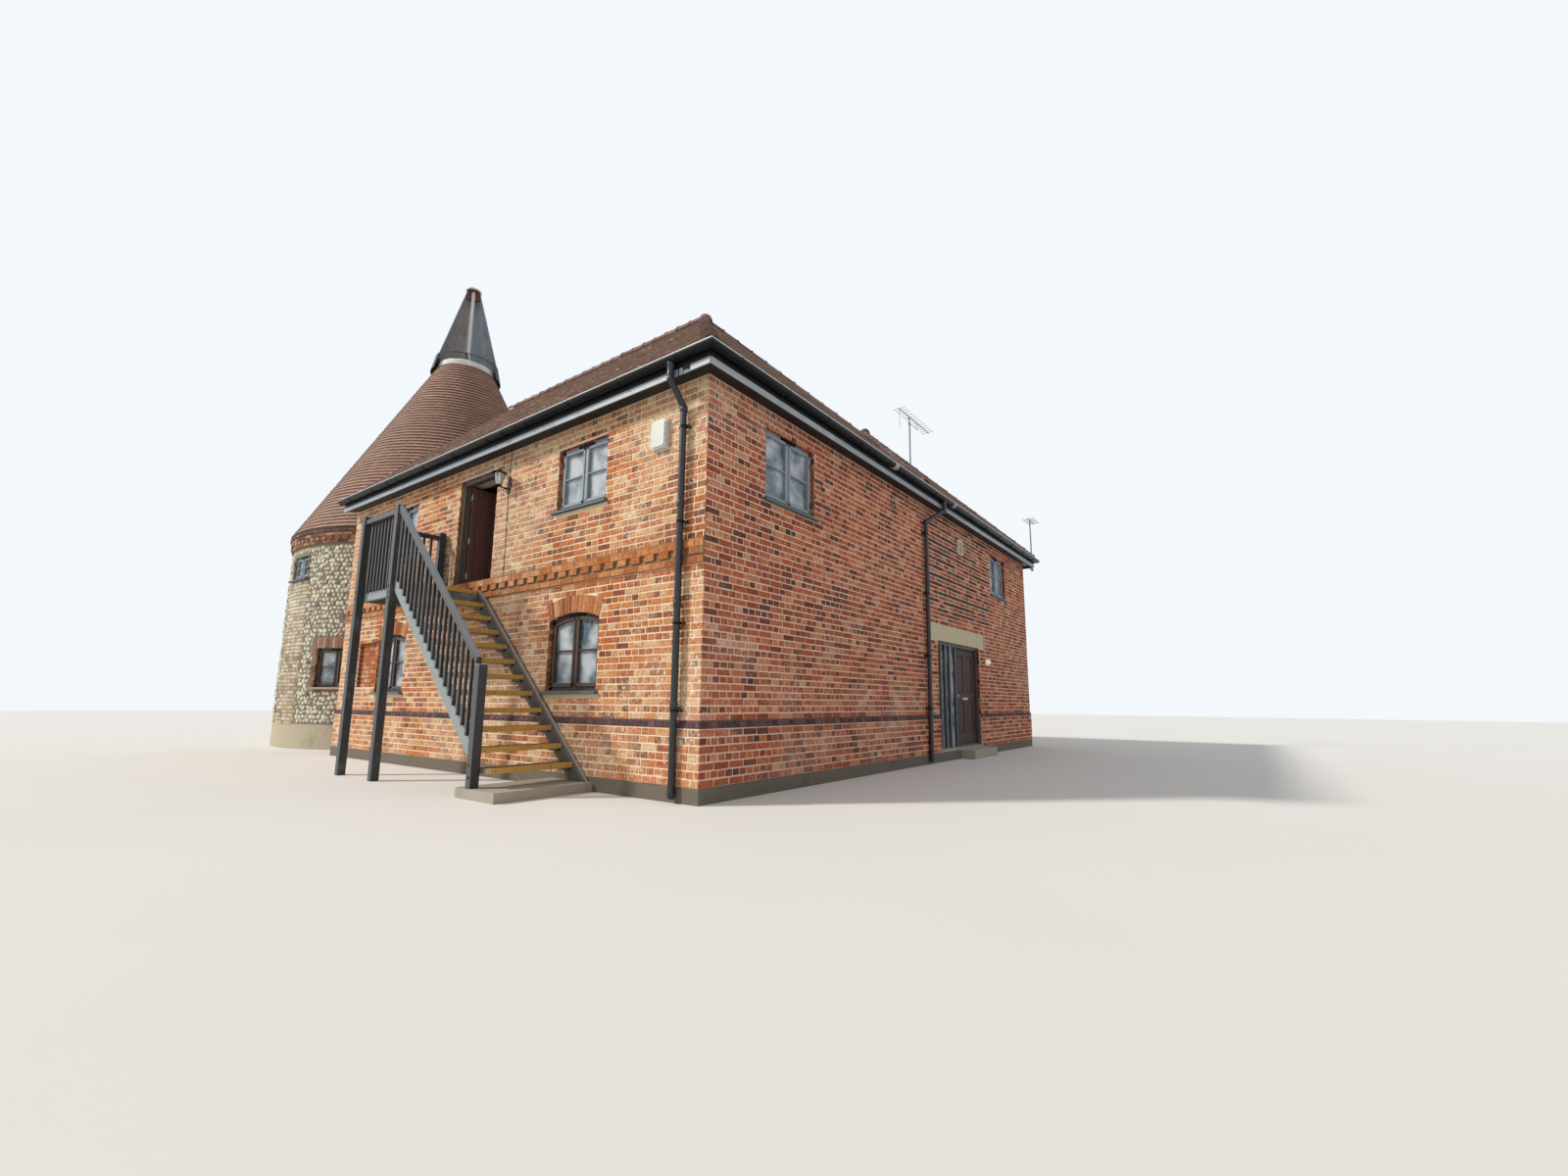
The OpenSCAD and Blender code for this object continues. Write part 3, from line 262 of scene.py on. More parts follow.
def brickFinish(name, stops, lime, limeSpread, limeScale=0.55):
    # Hand-made bricks: the colour comes from each brick's own tone, then mottling and lime smears
    material, tree, shader = newFinish(name, 0.88)
    place = objectPlace(tree)
    own = ramp(tree, readTone(tree), stops)
    specks = gritOn(tree, place, 26.0)
    burnt = ramp(tree, specks["Mask"], [(0.44, 0.0), (0.62, 0.62)])
    mottled = blend(tree, burnt, own, blend(tree, 1.0, own, paint("#a88472"), "MULTIPLY"))
    ash = patchMask(tree, place, 9.0, 0.36)
    mottled = blend(tree, times(tree, ash, 0.3), mottled, paint("#5b4038"))
    smear = patchMask(tree, place, limeScale, limeSpread)
    streak = patchMask(tree, place, 14.0, 0.47)
    lime1 = times(tree, smear, 0.26)
    lime2 = times(tree, times(tree, smear, streak), 0.62)
    limed = blend(tree, plus(tree, lime1, lime2, clamp=True), mottled, paint(lime))
    tree.links.new(limed, shader.inputs["Base Color"])
    bump(tree, shader, specks["Height"], 0.7, 0.004)
    return material


# The front wall's bricks take their own warmer, more orange palette, a lit copy of the same bricks as elsewhere:
# painted sunlight
sunnyBrick = brickFinish("sunny_brick", [(0.0, "#4a2d24"), (0.1, "#7d4529"), (0.24, "#a9582e"), (0.48, "#c66d36"),
                                         (0.72, "#d08548"), (0.88, "#d8a270"), (1.0, "#e0c29d")], "#f2e0c2", 0.58)
redBrick = brickFinish("red_brick", [(0.0, "#30282b"), (0.14, "#6b382c"), (0.3, "#9d4d34"), (0.55, "#bd6341"),
                                     (0.8, "#cb774f"), (0.93, "#d3926d"), (1.0, "#deb798")], "#e2c6b0", 0.46)
orangeBrick = brickFinish("arch_brick", [(0.0, "#8c4c2b"), (0.3, "#b4662f"), (0.7, "#ca8145"), (1.0, "#daa36d")],
                          "#f0dcba", 0.48)
tanBrick = brickFinish("tan_brick", [(0.0, "#958670"), (0.2, "#b5a78e"), (0.5, "#cfc1a6"), (0.8, "#dcd0b8"),
                                     (1.0, "#e6dcc8")], "#ebe5d4", 0.5)
jambBrick = brickFinish("jamb_brick", [(0.0, "#67463a"), (0.2, "#875a48"), (0.5, "#a3745c"), (0.8, "#b58c73"),
                                       (1.0, "#ccb098")], "#d5c7ae", 0.45)
corniceBrick = brickFinish("cornice_brick", [(0.0, "#5d3d34"), (0.2, "#84574a"), (0.45, "#a3705c"), (0.75, "#b88f79"),
                                             (1.0, "#cfb298")], "#cdbba0", 0.42)
splayBrick = brickFinish("plinth_brick", [(0.0, "#3d2d30"), (0.35, "#553c3d"), (0.7, "#694947"), (1.0, "#7b5850")],
                         "#8f7b72", 0.34)


coreLimits = dict(mortarDeep=0.012, limewashFrom=0.33, splayFoot=0.722, splayTop=0.805)


def wallFinish(name, axis, plane, mortar, outward):
    # Mortar on the outer face, bricks edge on in the reveals, limewash inside
    material, tree, shader = newFinish(name, 0.9)
    place = objectPlace(tree)
    part = put(tree, "SeparateXYZ", {0: place}).outputs
    inside = times(tree, minus(tree, part[axis], plane), -outward)
    outer = sums(tree, "LESS_THAN", inside, coreLimits["mortarDeep"])
    inner = sums(tree, "GREATER_THAN", inside, coreLimits["limewashFrom"])
    edge = useGroup(tree, courses, Vector=place)
    specks = gritOn(tree, place, 70.0)
    bed = blend(tree, specks["Mask"], paint(mortar), paint("#8f7a66"), "SOFT_LIGHT")
    damp = patchMask(tree, place, 0.8, 0.42)
    bed = blend(tree, times(tree, damp, 0.25), bed, paint("#a8927e"))
    splay = times(tree, sums(tree, "GREATER_THAN", part[2], coreLimits["splayFoot"]),
                  sums(tree, "LESS_THAN", part[2], coreLimits["splayTop"]))
    bed = blend(tree, splay, bed, paint("#6a504a"))
    lime = blend(tree, specks["Mask"], paint("#e6e1d6"), paint("#cfc8b9"), "MULTIPLY")
    colour = blend(tree, outer, edge["Shade"], bed)
    colour = blend(tree, inner, colour, lime)
    tree.links.new(colour, shader.inputs["Base Color"])
    bump(tree, shader, specks["Height"], 0.5, 0.003)
    return material


frontWall = wallFinish("front_wall_core", 1, -house["halfDepth"], "#f2e4c8", -1)
backWall = wallFinish("back_wall_core", 1, house["halfDepth"], "#e6d6bb", 1)
eastWall = wallFinish("east_wall_core", 0, house["halfLength"], "#ecdac6", 1)
westWall = wallFinish("west_wall_core", 0, -house["halfLength"], "#ead8c3", -1)


def tileFinish(name, stops, moss, wearAndPaintedLight=0.0):
    # Clay tiles; where a strength is given as the last argument, each tile takes painted light: a painted shadow line
    # at its tail, a painted highlight just above it, and painted shade towards its head under the next one
    material, tree, shader = newFinish(name, 0.85)
    place = objectPlace(tree)
    own = ramp(tree, readTone(tree), stops)
    specks = gritOn(tree, place, 34.0)
    aged = blend(tree, times(tree, specks["Mask"], 0.6), own, paint("#5c463d"), "SOFT_LIGHT")
    lichen = patchMask(tree, place, 3.2, 0.39)
    aged = blend(tree, times(tree, lichen, 0.45), aged, paint(moss))
    soot = patchMask(tree, place, 0.9, 0.45)
    aged = blend(tree, times(tree, soot, 0.22), aged, paint("#54413a"))
    if wearAndPaintedLight:
        # Painted light by the way along each tile, from tail to head
        along = put(tree, "SeparateXYZ", {0: readFibre(tree)}).outputs[0]
        pale = times(tree, ramp(tree, along, [(0.12, 1.0), (0.42, 0.0)]), wearAndPaintedLight)
        dark = times(tree, ramp(tree, along, [(0.35, 0.0), (0.72, 1.0)]), wearAndPaintedLight)
        line = times(tree, ramp(tree, along, [(0.0, 1.0), (0.035, 1.0), (0.08, 0.0)]), wearAndPaintedLight)
        aged = blend(tree, pale, aged, paint("#dcc5b3"))
        aged = blend(tree, dark, aged, paint("#3a2721"))
        aged = blend(tree, line, aged, paint("#35231d"))
    tree.links.new(aged, shader.inputs["Base Color"])
    bump(tree, shader, specks["Height"], 0.7, 0.004)
    return material


# Roof and cone tiles take painted highlight and shade along each tile
roofTile = tileFinish("roof_tile", [(0.0, "#5f4c44"), (0.15, "#7f6457"), (0.4, "#9e8070"), (0.65, "#b19482"),
                                    (0.85, "#c0ab9b"), (1.0, "#cdbcad")], "#b3aa90", 0.3)
kilnTile = tileFinish("kiln_tile", [(0.0, "#5a382c"), (0.25, "#84553f"), (0.5, "#a06b52"), (0.7, "#b58570"),
                                    (0.85, "#c9a591"), (1.0, "#d9c1b0")], "#b8a792", 0.6)
ridgeTile = tileFinish("ridge_tile", [(0.0, "#66504a"), (0.5, "#8a716a"), (1.0, "#a38d85")], "#9a927f")


def plainFinish(name, colour, other, rough, coat, dirt=None, metal=0.0):
    # One colour with a second in specks, and patches of dirt where it is given
    scale, amount, height, distance = coat
    material, tree, shader = newFinish(name, rough, metal)
    place = objectPlace(tree)
    specks = gritOn(tree, place, scale)
    body = blend(tree, times(tree, specks["Mask"], amount), paint(colour), paint(other))
    if dirt:
        mask = patchMask(tree, place, 1.7, 0.43)
        body = blend(tree, times(tree, mask, 0.5), body, paint(dirt))
    tree.links.new(body, shader.inputs["Base Color"])
    tree.links.new(plus(tree, times(tree, specks["Mask"], 0.2), rough - 0.1),
                   shader.inputs["Roughness"])
    bump(tree, shader, specks["Height"], height, distance)
    return material


def timberFinish(name, dark, light, rough=0.75, wearAndPaintedLight=None, fineness=90.0, height=0.5, south=None, top=None):
    # Sawn boards: grain along each board, its own tone and worn patches, and painted light: faces looking south and
    # faces looking up are paler, as if sunlit
    material, tree, shader = newFinish(name, rough)
    wood = useGroup(tree, grain, Fibre=readFibre(tree), Fineness=fineness)
    streaks = ramp(tree, wood["Streaks"], [(0.3, dark), (0.7, light)])
    own = blend(tree, times(tree, readTone(tree), 0.4), streaks, paint(dark), "MULTIPLY")
    if wearAndPaintedLight:
        mask = patchMask(tree, objectPlace(tree), 3.0, 0.46)
        thin = times(tree, mask, wood["Streaks"])
        own = blend(tree, times(tree, thin, 1.1, clamp=True), own, paint(wearAndPaintedLight))
    # Painted light: south is the painted sunlit colour of faces looking south, top the painted sunlit colour of faces
    # looking up
    if top:
        normal = put(tree, "SeparateXYZ", {0: put(tree, "NewGeometry").outputs["Normal"]}).outputs
        paintedLightAmount = plus(tree, times(tree, wood["Streaks"], 0.5), 0.6, clamp=True)
        facing = ramp(tree, times(tree, normal[1], -1.0), [(0.6, 0.0), (0.85, 1.0)])
        own = blend(tree, times(tree, facing, paintedLightAmount), own, paint(south))
        facing = ramp(tree, normal[2], [(0.4, 0.0), (0.75, 1.0)])
        own = blend(tree, times(tree, facing, paintedLightAmount), own, paint(top))
    tree.links.new(own, shader.inputs["Base Color"])
    bump(tree, shader, wood["Height"], height, 0.002)
    return material


# The stair timbers are painted paler on their faces looking south and up, as painted sunlight
charcoalTimber = timberFinish("charcoal_timber", "#26272a", "#434648", 0.6, "#626668", south="#56565a", top="#a3b0bc")
greyString = timberFinish("weathered_string", "#59615f", "#848d8a", 0.78, "#a9b0ab", south="#98a3a3", top="#c3cbca")
scuffedString = timberFinish("scuffed_string", "#26211f", "#443c38", 0.82, "#847d76", south="#6f6963", top="#bdbab2")
treadTimber = timberFinish("tread_timber", "#6f5f4c", "#a5927a", 0.85, "#c9bda6")
plumBoards = timberFinish("plum_boards", "#5f3c39", "#8f625c", 0.5, None, 70.0, 0.35)
doorTimber = timberFinish("brown_door", "#2b160f", "#4a2a1c", 0.65, None, 70.0, 0.3)
cowlBoards = timberFinish("cowl_boards", "#99a4ad", "#cbd4db", 0.85, "#727b83", 60.0, 0.7)
cowlShadedLining = timberFinish("cowl_inner_boards", "#a19c9a", "#cfcccb", 0.85, "#7d7773", 60.0, 0.7)
cowlRing = timberFinish("cowl_ring_boards", "#5d646a", "#848d95", 0.85, "#3c4146", 60.0, 0.7)
cowlBlack = timberFinish("cowl_skirt_boards", "#1c1d20", "#34363a", 0.6, None, 60.0, 0.4)
blackBoards = timberFinish("black_fascia", "#0e0f12", "#1b1d21", 0.45, None, 60.0, 0.25)
paleStrip = timberFinish("pale_strip", "#99a2aa", "#bcc5cc", 0.5, "#848c93", 60.0, 0.25)
floorBoards = timberFinish("floor_boards", "#6b4d33", "#97744f", 0.6)
windowPaint = plainFinish("window_paint", "#949ea6", "#828c94", 0.45, (30.0, 0.6, 0.15, 0.0006), "#727b83")
darkWindowPaint = plainFinish("brown_window_paint", "#45352f", "#5c483f", 0.5, (30.0, 0.6, 0.2, 0.0006))
sillPaint = plainFinish("sill_paint", "#5d666e", "#454c53", 0.5, (30.0, 0.6, 0.2, 0.0006), "#3e4247")
paleSill = plainFinish("pale_sill", "#b9b2a5", "#8f897d", 0.7, (30.0, 0.6, 0.3, 0.001), "#77726a")
doorFramePaint = plainFinish("door_frame_paint", "#655953", "#4d433e", 0.55, (30.0, 0.6, 0.2, 0.0008), "#423a36")
greyFramePaint = plainFinish("grey_frame_paint", "#43474a", "#323538", 0.5, (30.0, 0.6, 0.2, 0.0008))
gutterPlastic = plainFinish("gutter_plastic", "#0d0e10", "#191a1d", 0.36, (20.0, 0.5, 0.1, 0.0004), "#242629")
gutterPlastic.node_tree.nodes["Principled BSDF"].inputs["Specular IOR Level"].default_value = 0.2
pipePlastic = plainFinish("downpipe_plastic", "#23262b", "#30343a", 0.36, (20.0, 0.5, 0.1, 0.0004), "#3a3e44")
unionPlastic = plainFinish("union_plastic", "#9ea1a3", "#84878a", 0.4, (20.0, 0.5, 0.1, 0.0004))
concrete = plainFinish("concrete", "#a69a88", "#857b6c", 0.92, (22.0, 0.9, 0.7, 0.004), "#6f695d")
footingConcrete = plainFinish("footing_concrete", "#7d7466", "#5f574c", 0.93, (22.0, 0.9, 0.7, 0.004), "#4d463e")
padConcrete = plainFinish("pad_concrete", "#b9b0a1", "#989081", 0.9, (22.0, 0.8, 0.5, 0.003), "#837c70")
lintelStone = plainFinish("lintel_stone", "#ddd0b0", "#bdae8e", 0.85, (18.0, 0.9, 0.6, 0.003), "#8f8268")
kilnMortar = plainFinish("kiln_mortar", "#9d937d", "#6f6757", 0.93, (30.0, 0.9, 0.8, 0.005), "#625a4c")
kilnRender = plainFinish("kiln_render", "#cbc0a6", "#aba088", 0.9, (14.0, 0.9, 0.6, 0.004), "#8f8773")
leadSheet = plainFinish("lead", "#7c8084", "#5d6165", 0.45, (12.0, 0.7, 0.3, 0.002), "#94989a", metal=0.6)
mortarRing = plainFinish("mortar_ring", "#f1f0ec", "#dcdad3", 0.85, (16.0, 0.8, 0.6, 0.004), "#9c988d")
whitePaint = plainFinish("white_paint", "#d9dbdc", "#bcc0c2", 0.5, (16.0, 0.7, 0.2, 0.001), "#a4a6a6")
cowlPost = plainFinish("cowl_post_paint", "#dfe3e6", "#c2c7cb", 0.6, (16.0, 0.7, 0.3, 0.001), "#a9aeb2")
blueTrim = plainFinish("cowl_trim_paint", "#8fa9c0", "#7a93a9", 0.5, (16.0, 0.7, 0.2, 0.001))
capBrown = plainFinish("cap_underside", "#7a5040", "#5c3b2f", 0.7, (16.0, 0.7, 0.3, 0.001))
blackIron = plainFinish("black_iron", "#1a1715", "#3a2b20", 0.42, (60.0, 0.6, 0.35, 0.001), metal=0.75)
paleSteel = plainFinish("pale_steel", "#b7b7b2", "#8f8e88", 0.38, (50.0, 0.6, 0.2, 0.0006), metal=0.85)
boxPlastic = plainFinish("box_plastic", "#d7d8d3", "#c0c1bb", 0.4, (20.0, 0.5, 0.08, 0.0004), "#a9aaa2")
ventPlastic = plainFinish("vent_plastic", "#e8e0c8", "#d3cab1", 0.45, (20.0, 0.5, 0.1, 0.0005), "#bfb69e")
nosingYellow = plainFinish("nosing_strip", "#dbb25c", "#b88f44", 0.75, (120.0, 0.9, 0.8, 0.0012), "#93753f")
eavesPaint = plainFinish("eaves_paint", "#16171a", "#232529", 0.5, (20.0, 0.5, 0.15, 0.0005), "#2c2d30")
rimGlintPlastic = plainFinish("gutter_rim", "#dadddd", "#bcc0c1", 0.35, (20.0, 0.5, 0.1, 0.0004), "#5b5e60")
ceilingBoard = plainFinish("ceiling_board", "#dedacb", "#c8c3b2", 0.85, (12.0, 0.4, 0.1, 0.0006))
aerialMetal = plainFinish("aerial_metal", "#8b8d8e", "#5f6162", 0.35, (60.0, 0.6, 0.15, 0.0004), metal=0.9)
cableBlack = plainFinish("cable_sheath", "#3a2a24", "#5b4034", 0.6, (60.0, 0.5, 0.2, 0.0006))


def flintFinish():
    material, tree, shader = newFinish("flint", 0.55)
    place = objectPlace(tree)
    own = ramp(tree, readTone(tree), [(0.0, "#3d4044"), (0.07, "#64666a"), (0.15, "#9c9c95"), (0.32, "#c8c2af"),
                                      (0.55, "#ddd5bc"), (0.8, "#eae4cf"), (1.0, "#f1ecdd")])
    rind = noise(tree, place, 32.0, 6, 0.7)
    core = ramp(tree, rind, [(0.52, 0.0), (0.6, 1.0)])
    colour = blend(tree, times(tree, core, 0.34), own, paint("#63625c"))
    tree.links.new(colour, shader.inputs["Base Color"])
    tree.links.new(ramp(tree, rind, [(0.5, 0.78), (0.62, 0.34)]), shader.inputs["Roughness"])
    bump(tree, shader, rind, 0.6, 0.005)
    return material


def curtainFinish():
    material, tree, shader = newFinish("curtain_cloth", 0.9)
    place = objectPlace(tree)
    part = put(tree, "SeparateXYZ", {0: place}).outputs
    along = plus(tree, part[0], part[1])
    weave = times(tree, sums(tree, "SINE", times(tree, along, 5200.0)),
                 sums(tree, "SINE", times(tree, part[2], 5200.0)))
    soft = noise(tree, place, 9.0, 3)
    tree.links.new(blend(tree, soft, paint("#e2e1dc"), paint("#c5c5c1")), shader.inputs["Base Color"])
    shader.inputs["Sheen Weight"].default_value = 0.3
    bump(tree, shader, weave, 0.2, 0.0004)
    return material


def glassFinish(name, tint, alpha):
    # Thin window glass: it mirrors, and lets the room behind be seen; its colour is pale, a painted reflection of the
    # sky, and paler in soft patches
    material, tree, shader = newFinish(name, 0.04)
    place = objectPlace(tree)
    wave = noise(tree, place, 3.4, 4)
    # Painted reflection: soft patches of pale sky colour
    tree.links.new(blend(tree, ramp(tree, wave, [(0.4, 0.0), (0.62, 1.0)]), paint(tint), paint("#e2ebf1")),
                   shader.inputs["Base Color"])
    shader.inputs["Alpha"].default_value = alpha
    shader.inputs["Coat Weight"].default_value = 0.6
    bump(tree, shader, wave, 0.05, 0.002)
    return material


flintStone, curtainCloth = flintFinish(), curtainFinish()
skyGlass = glassFinish("window_glass", "#768996", 0.62)
lampGlass = glassFinish("lantern_glass", "#e6ece9", 0.55)
print("finishes made")


# Mesh tools

def slabPattern():
    # A bevelled block: three points at each corner, one on each face
    corner = lambda p: (p[0] > 0) * 4 + (p[1] > 0) * 2 + (p[2] > 0)
    quads = []
    for axis in range(3):
        a, b = (axis + 1) % 3, (axis + 2) % 3
        for side in (-1, 1):
            ring = []
            for p, q in ((-1, -1), (1, -1), (1, 1), (-1, 1)):
                at = [0, 0, 0]
                at[axis], at[a], at[b] = side, p, q
                ring.append(corner(at) * 3 + axis)
            quads.append(ring[::side])
        for p in (-1, 1):
            for q in (-1, 1):
                low, high = [0, 0, 0], [0, 0, 0]
                low[axis], low[a], low[b] = -1, p, q
                high[axis], high[a], high[b] = 1, p, q
                quads.append([corner(low) * 3 + a, corner(high) * 3 + a, corner(high) * 3 + b, corner(low) * 3 + b])
    signs = np.array([(x, y, z) for x in (-1, 1) for y in (-1, 1) for z in (-1, 1)], float)
    return signs, quads, [[c * 3, c * 3 + 1, c * 3 + 2] for c in range(8)]


slabSigns, slabQuads, slabTriangles = slabPattern()


def straight(u, v, w):
    return np.stack([u, v, w], -1)


def placeBy(origin, across, up, out):
    # Local (u, v, w) to the building: along a face, up it, and out of it
    origin, across, up, out = (np.array(p, float) for p in (origin, across, up, out))

    def place(u, v, w):
        u, v, w = (np.asarray(p, float)[..., None] for p in (u, v, w))
        return origin + u * across + v * up + w * out
    return place


def onFace(face, along=0.0, level=0.0):
    half, deep = house["halfLength"], house["halfDepth"]
    if face == "S":
        return placeBy((along, -deep, level), (1, 0, 0), (0, 0, 1), (0, -1, 0))
    if face == "E":
        return placeBy((half, along, level), (0, 1, 0), (0, 0, 1), (1, 0, 0))
    if face == "N":
        return placeBy((along, deep, level), (-1, 0, 0), (0, 0, 1), (0, 1, 0))
    if face == "W":
        return placeBy((-half, along, level), (0, -1, 0), (0, 0, 1), (-1, 0, 0))
    turn = math.radians(along)  # on the round kiln
    out = (math.cos(turn), math.sin(turn), 0)
    return placeBy((kiln["x"] + kiln["radius"] * out[0], kiln["y"] + kiln["radius"] * out[1], level),
                   (-out[1], out[0], 0), (0, 0, 1), out)


class Bench:
    # Gathers the corners and faces of one piece, with a tone for each face and the way along the grain
    def __init__(self):
        self.points, self.fibres, self.faces, self.tones, self.count = [], [], [], [], 0

    def add(self, points, faces, tones, fibres=None):
        points = np.asarray(points, float).reshape(-1, 3)
        if isinstance(faces, np.ndarray):
            self.faces += (faces + self.count).tolist()
        else:
            self.faces += [[i + self.count for i in face] for face in faces]
        self.tones += list(np.broadcast_to(tones, len(faces)))
        self.points.append(points)
        self.fibres.append(points if fibres is None else fibres)
        self.count += len(points)

    def slab(self, low, high, bevel=0.003, place=straight, tone=None, along=None):
        low, high = np.array(low, float), np.array(high, float)
        middle, half = (low + high) / 2, (high - low) / 2
        bevel = min(bevel, half.min() * 0.45)
        local = np.repeat(slabSigns * half, 3, axis=0)
        inset = np.tile(np.where(np.eye(3) > 0, 0.0, bevel), (8, 1))
        local = local - np.sign(local) * inset
        length = int(np.argmax(half)) if along is None else along
        order = [length, (length + 1) % 3, (length + 2) % 3]
        fibre = local[:, order] + chance.uniform(-9, 9, 3)
        at = place(*(local + middle).T)
        self.add(at, slabQuads + slabTriangles, chance.random() if tone is None else tone, fibre)

    def prism(self, outline, low, high, place=straight, tone=None, swap=None):
        # An outline in (u, v), drawn out along w; swap reorders (u, v, w) before it is placed
        outline = np.array(outline, float)
        n = len(outline)
        local = np.concatenate([np.column_stack([outline, np.full(n, w)]) for w in (low, high)])
        fibre = np.column_stack([local[:, 2], local[:, 0], local[:, 1]]) + chance.uniform(-9, 9, 3)
        if high - low < np.ptp(outline, axis=0).max():
            fibre = fibre[:, [1, 2, 0]]
        if swap:
            local = local[:, swap]
        faces = [list(range(n))[::-1], list(range(n, 2 * n))]
        faces += [[i, (i + 1) % n, (i + 1) % n + n, i + n] for i in range(n)]
        self.add(place(*local.T), faces, chance.random() if tone is None else tone, fibre)

    def tube(self, path, radius, sides=10, caps=True, tone=None):
        path = np.array(path, float)
        steps = np.gradient(path, axis=0)
        steps /= np.linalg.norm(steps, axis=1)[:, None]
        radii = np.broadcast_to(radius, len(path))
        side = np.cross(steps[0], (0, 0, 1) if abs(steps[0][2]) < 0.9 else (1, 0, 0))
        rings, turns = [], np.linspace(0, 2 * math.pi, sides, endpoint=False)
        for point, step, r in zip(path, steps, radii):
            side = side - step * np.dot(side, step)
            side /= np.linalg.norm(side)
            other = np.cross(step, side)
            rings.append(point + r * (np.cos(turns)[:, None] * side + np.sin(turns)[:, None] * other))
        points = np.concatenate(rings)
        faces = []
        for k in range(len(path) - 1):
            for i in range(sides):
                j = (i + 1) % sides
                faces.append([k * sides + i, k * sides + j, (k + 1) * sides + j, (k + 1) * sides + i])
        if caps:
            faces += [list(range(sides))[::-1], list(range((len(path) - 1) * sides, len(path) * sides))]
        self.add(points, faces, chance.random() if tone is None else tone)

    def lathe(self, profile, centre, axis=(0, 0, 1), sides=24, arc=(0, 360), tone=None):
        # profile is [(radius, height)], closed by itself where it needs to be
        axis = Vector(axis).normalized()
        spin = axis.to_track_quat("Z", "X").to_matrix() if abs(axis.z) < 0.999 else Matrix.Identity(3)
        if axis.z < -0.999:
            spin = Matrix.Rotation(math.pi, 3, "X")
        spin = np.array(spin)
        whole = abs(arc[1] - arc[0]) >= 360
        turns = np.radians(np.linspace(arc[0], arc[1], sides + (0 if whole else 1), endpoint=not whole))
        profile = np.array(profile, float)
        n, points = len(profile), []
        for turn in turns:
            flat = np.column_stack([profile[:, 0] * math.cos(turn), profile[:, 0] * math.sin(turn), profile[:, 1]])
            points.append(flat @ spin.T + np.array(centre))
        faces = []
        for k in range(sides):
            l = (k + 1) % len(turns)
            for i in range(n - 1):
                faces.append([k * n + i, l * n + i, l * n + i + 1, k * n + i + 1])
        self.add(np.concatenate(points), faces, chance.random() if tone is None else tone)

    def plates(self, quads, low, high, bevel, place, tones, rough=0.0008):
        # Bricks: a face with four sloping sides from each outline of four corners in (u, v)
        quads = np.array(quads, float)
        if not len(quads):
            return
        n = len(quads)
        ahead, behind = np.roll(quads, -1, 1) - quads, np.roll(quads, 1, 1) - quads
        ahead /= np.linalg.norm(ahead, axis=2)[..., None] + 1e-9
        behind /= np.linalg.norm(behind, axis=2)[..., None] + 1e-9
        top = quads + bevel * (ahead + behind) + chance.normal(0, rough, quads.shape)
        lift = high + chance.normal(0, rough, n)[:, None] + chance.normal(0, rough * 0.7, (n, 4))
        base = place(quads[..., 0], quads[..., 1], np.full((n, 4), low))
        face = place(top[..., 0], top[..., 1], lift)
        points = np.concatenate([base, face], 1).reshape(-1, 3)
        pattern = np.array([[4, 5, 6, 7], [0, 1, 5, 4], [1, 2, 6, 5], [2, 3, 7, 6], [3, 0, 4, 7]])
        faces = (np.arange(n)[:, None, None] * 8 + pattern).reshape(-1, 4)
        self.add(points, faces, np.repeat(tones, 5))

    def piece(self, name, finish, body="building", slot=None, closed=True, smooth=None, replaces=None):
        mesh = bpy.data.meshes.new(name)
        mesh.from_pydata(np.concatenate(self.points).tolist(), [], self.faces)
        mesh.attributes.new("tone", "FLOAT", "FACE").data.foreach_set("value", np.array(self.tones, np.float32))
        fibre = mesh.attributes.new("fibre", "FLOAT_VECTOR", "POINT")
        fibre.data.foreach_set("vector", np.concatenate(self.fibres).astype(np.float32).ravel())
        if closed:
            work = bmesh.new()
            work.from_mesh(mesh)
            bmesh.ops.recalc_face_normals(work, faces=work.faces)
            work.to_mesh(mesh)
            work.free()
        if smooth:
            mesh.shade_smooth()
            mesh.set_sharp_from_angle(angle=math.radians(smooth))
        mesh.materials.append(finish)
        made = bpy.data.objects.new(name, mesh)
        bpy.context.scene.collection.objects.link(made)
        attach(made, body)
        if replaces:
            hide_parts(replaces)
        return made


def dress(finish, *names):
    # CAD nodes that keep their shape and take a new finish on their slots
    for name in names:
        for slot in nodes[name].material_slots:
            slot.material = finish


def oblong(left, right, foot, top):
    return [(left, foot), (right, foot), (right, top), (left, top)]


def ringAt(radius, turns):
    return [(radius * math.cos(t), radius * math.sin(t)) for t in turns]


# Brickwork

bond = dict(stretcher=0.215, header=0.1025, closer=0.046, joint=0.0105, depth=0.005, bevel=0.004,
            embed=0.004, shortest=0.022, darkHeaders=0.11, archPitch=0.078, archJoint=0.0045)


def hole(left, right, foot, top):
    return lambda v: (left, right) if foot < v < top else None


def archHole(middle, width, sill, height, rise, ring=0.215):
    # The window hole and its ring of arch bricks, up to the skewbacks
    radius = (width ** 2 / 4 + rise ** 2) / (2 * rise)
    spring, centre = sill + height - rise, sill + height - radius
    lean = math.asin(width / 2 / radius)

    def at(v):
        if sill < v < spring:
            return middle - width / 2, middle + width / 2
        if spring <= v < centre + radius + ring:
            curve = math.sqrt(max((radius + ring) ** 2 - (v - centre) ** 2, 0))
            reach = min(width / 2 + (v - spring) * math.tan(lean), curve)
            return (middle - reach, middle + reach) if reach > bond["shortest"] else None
        return None
    return at


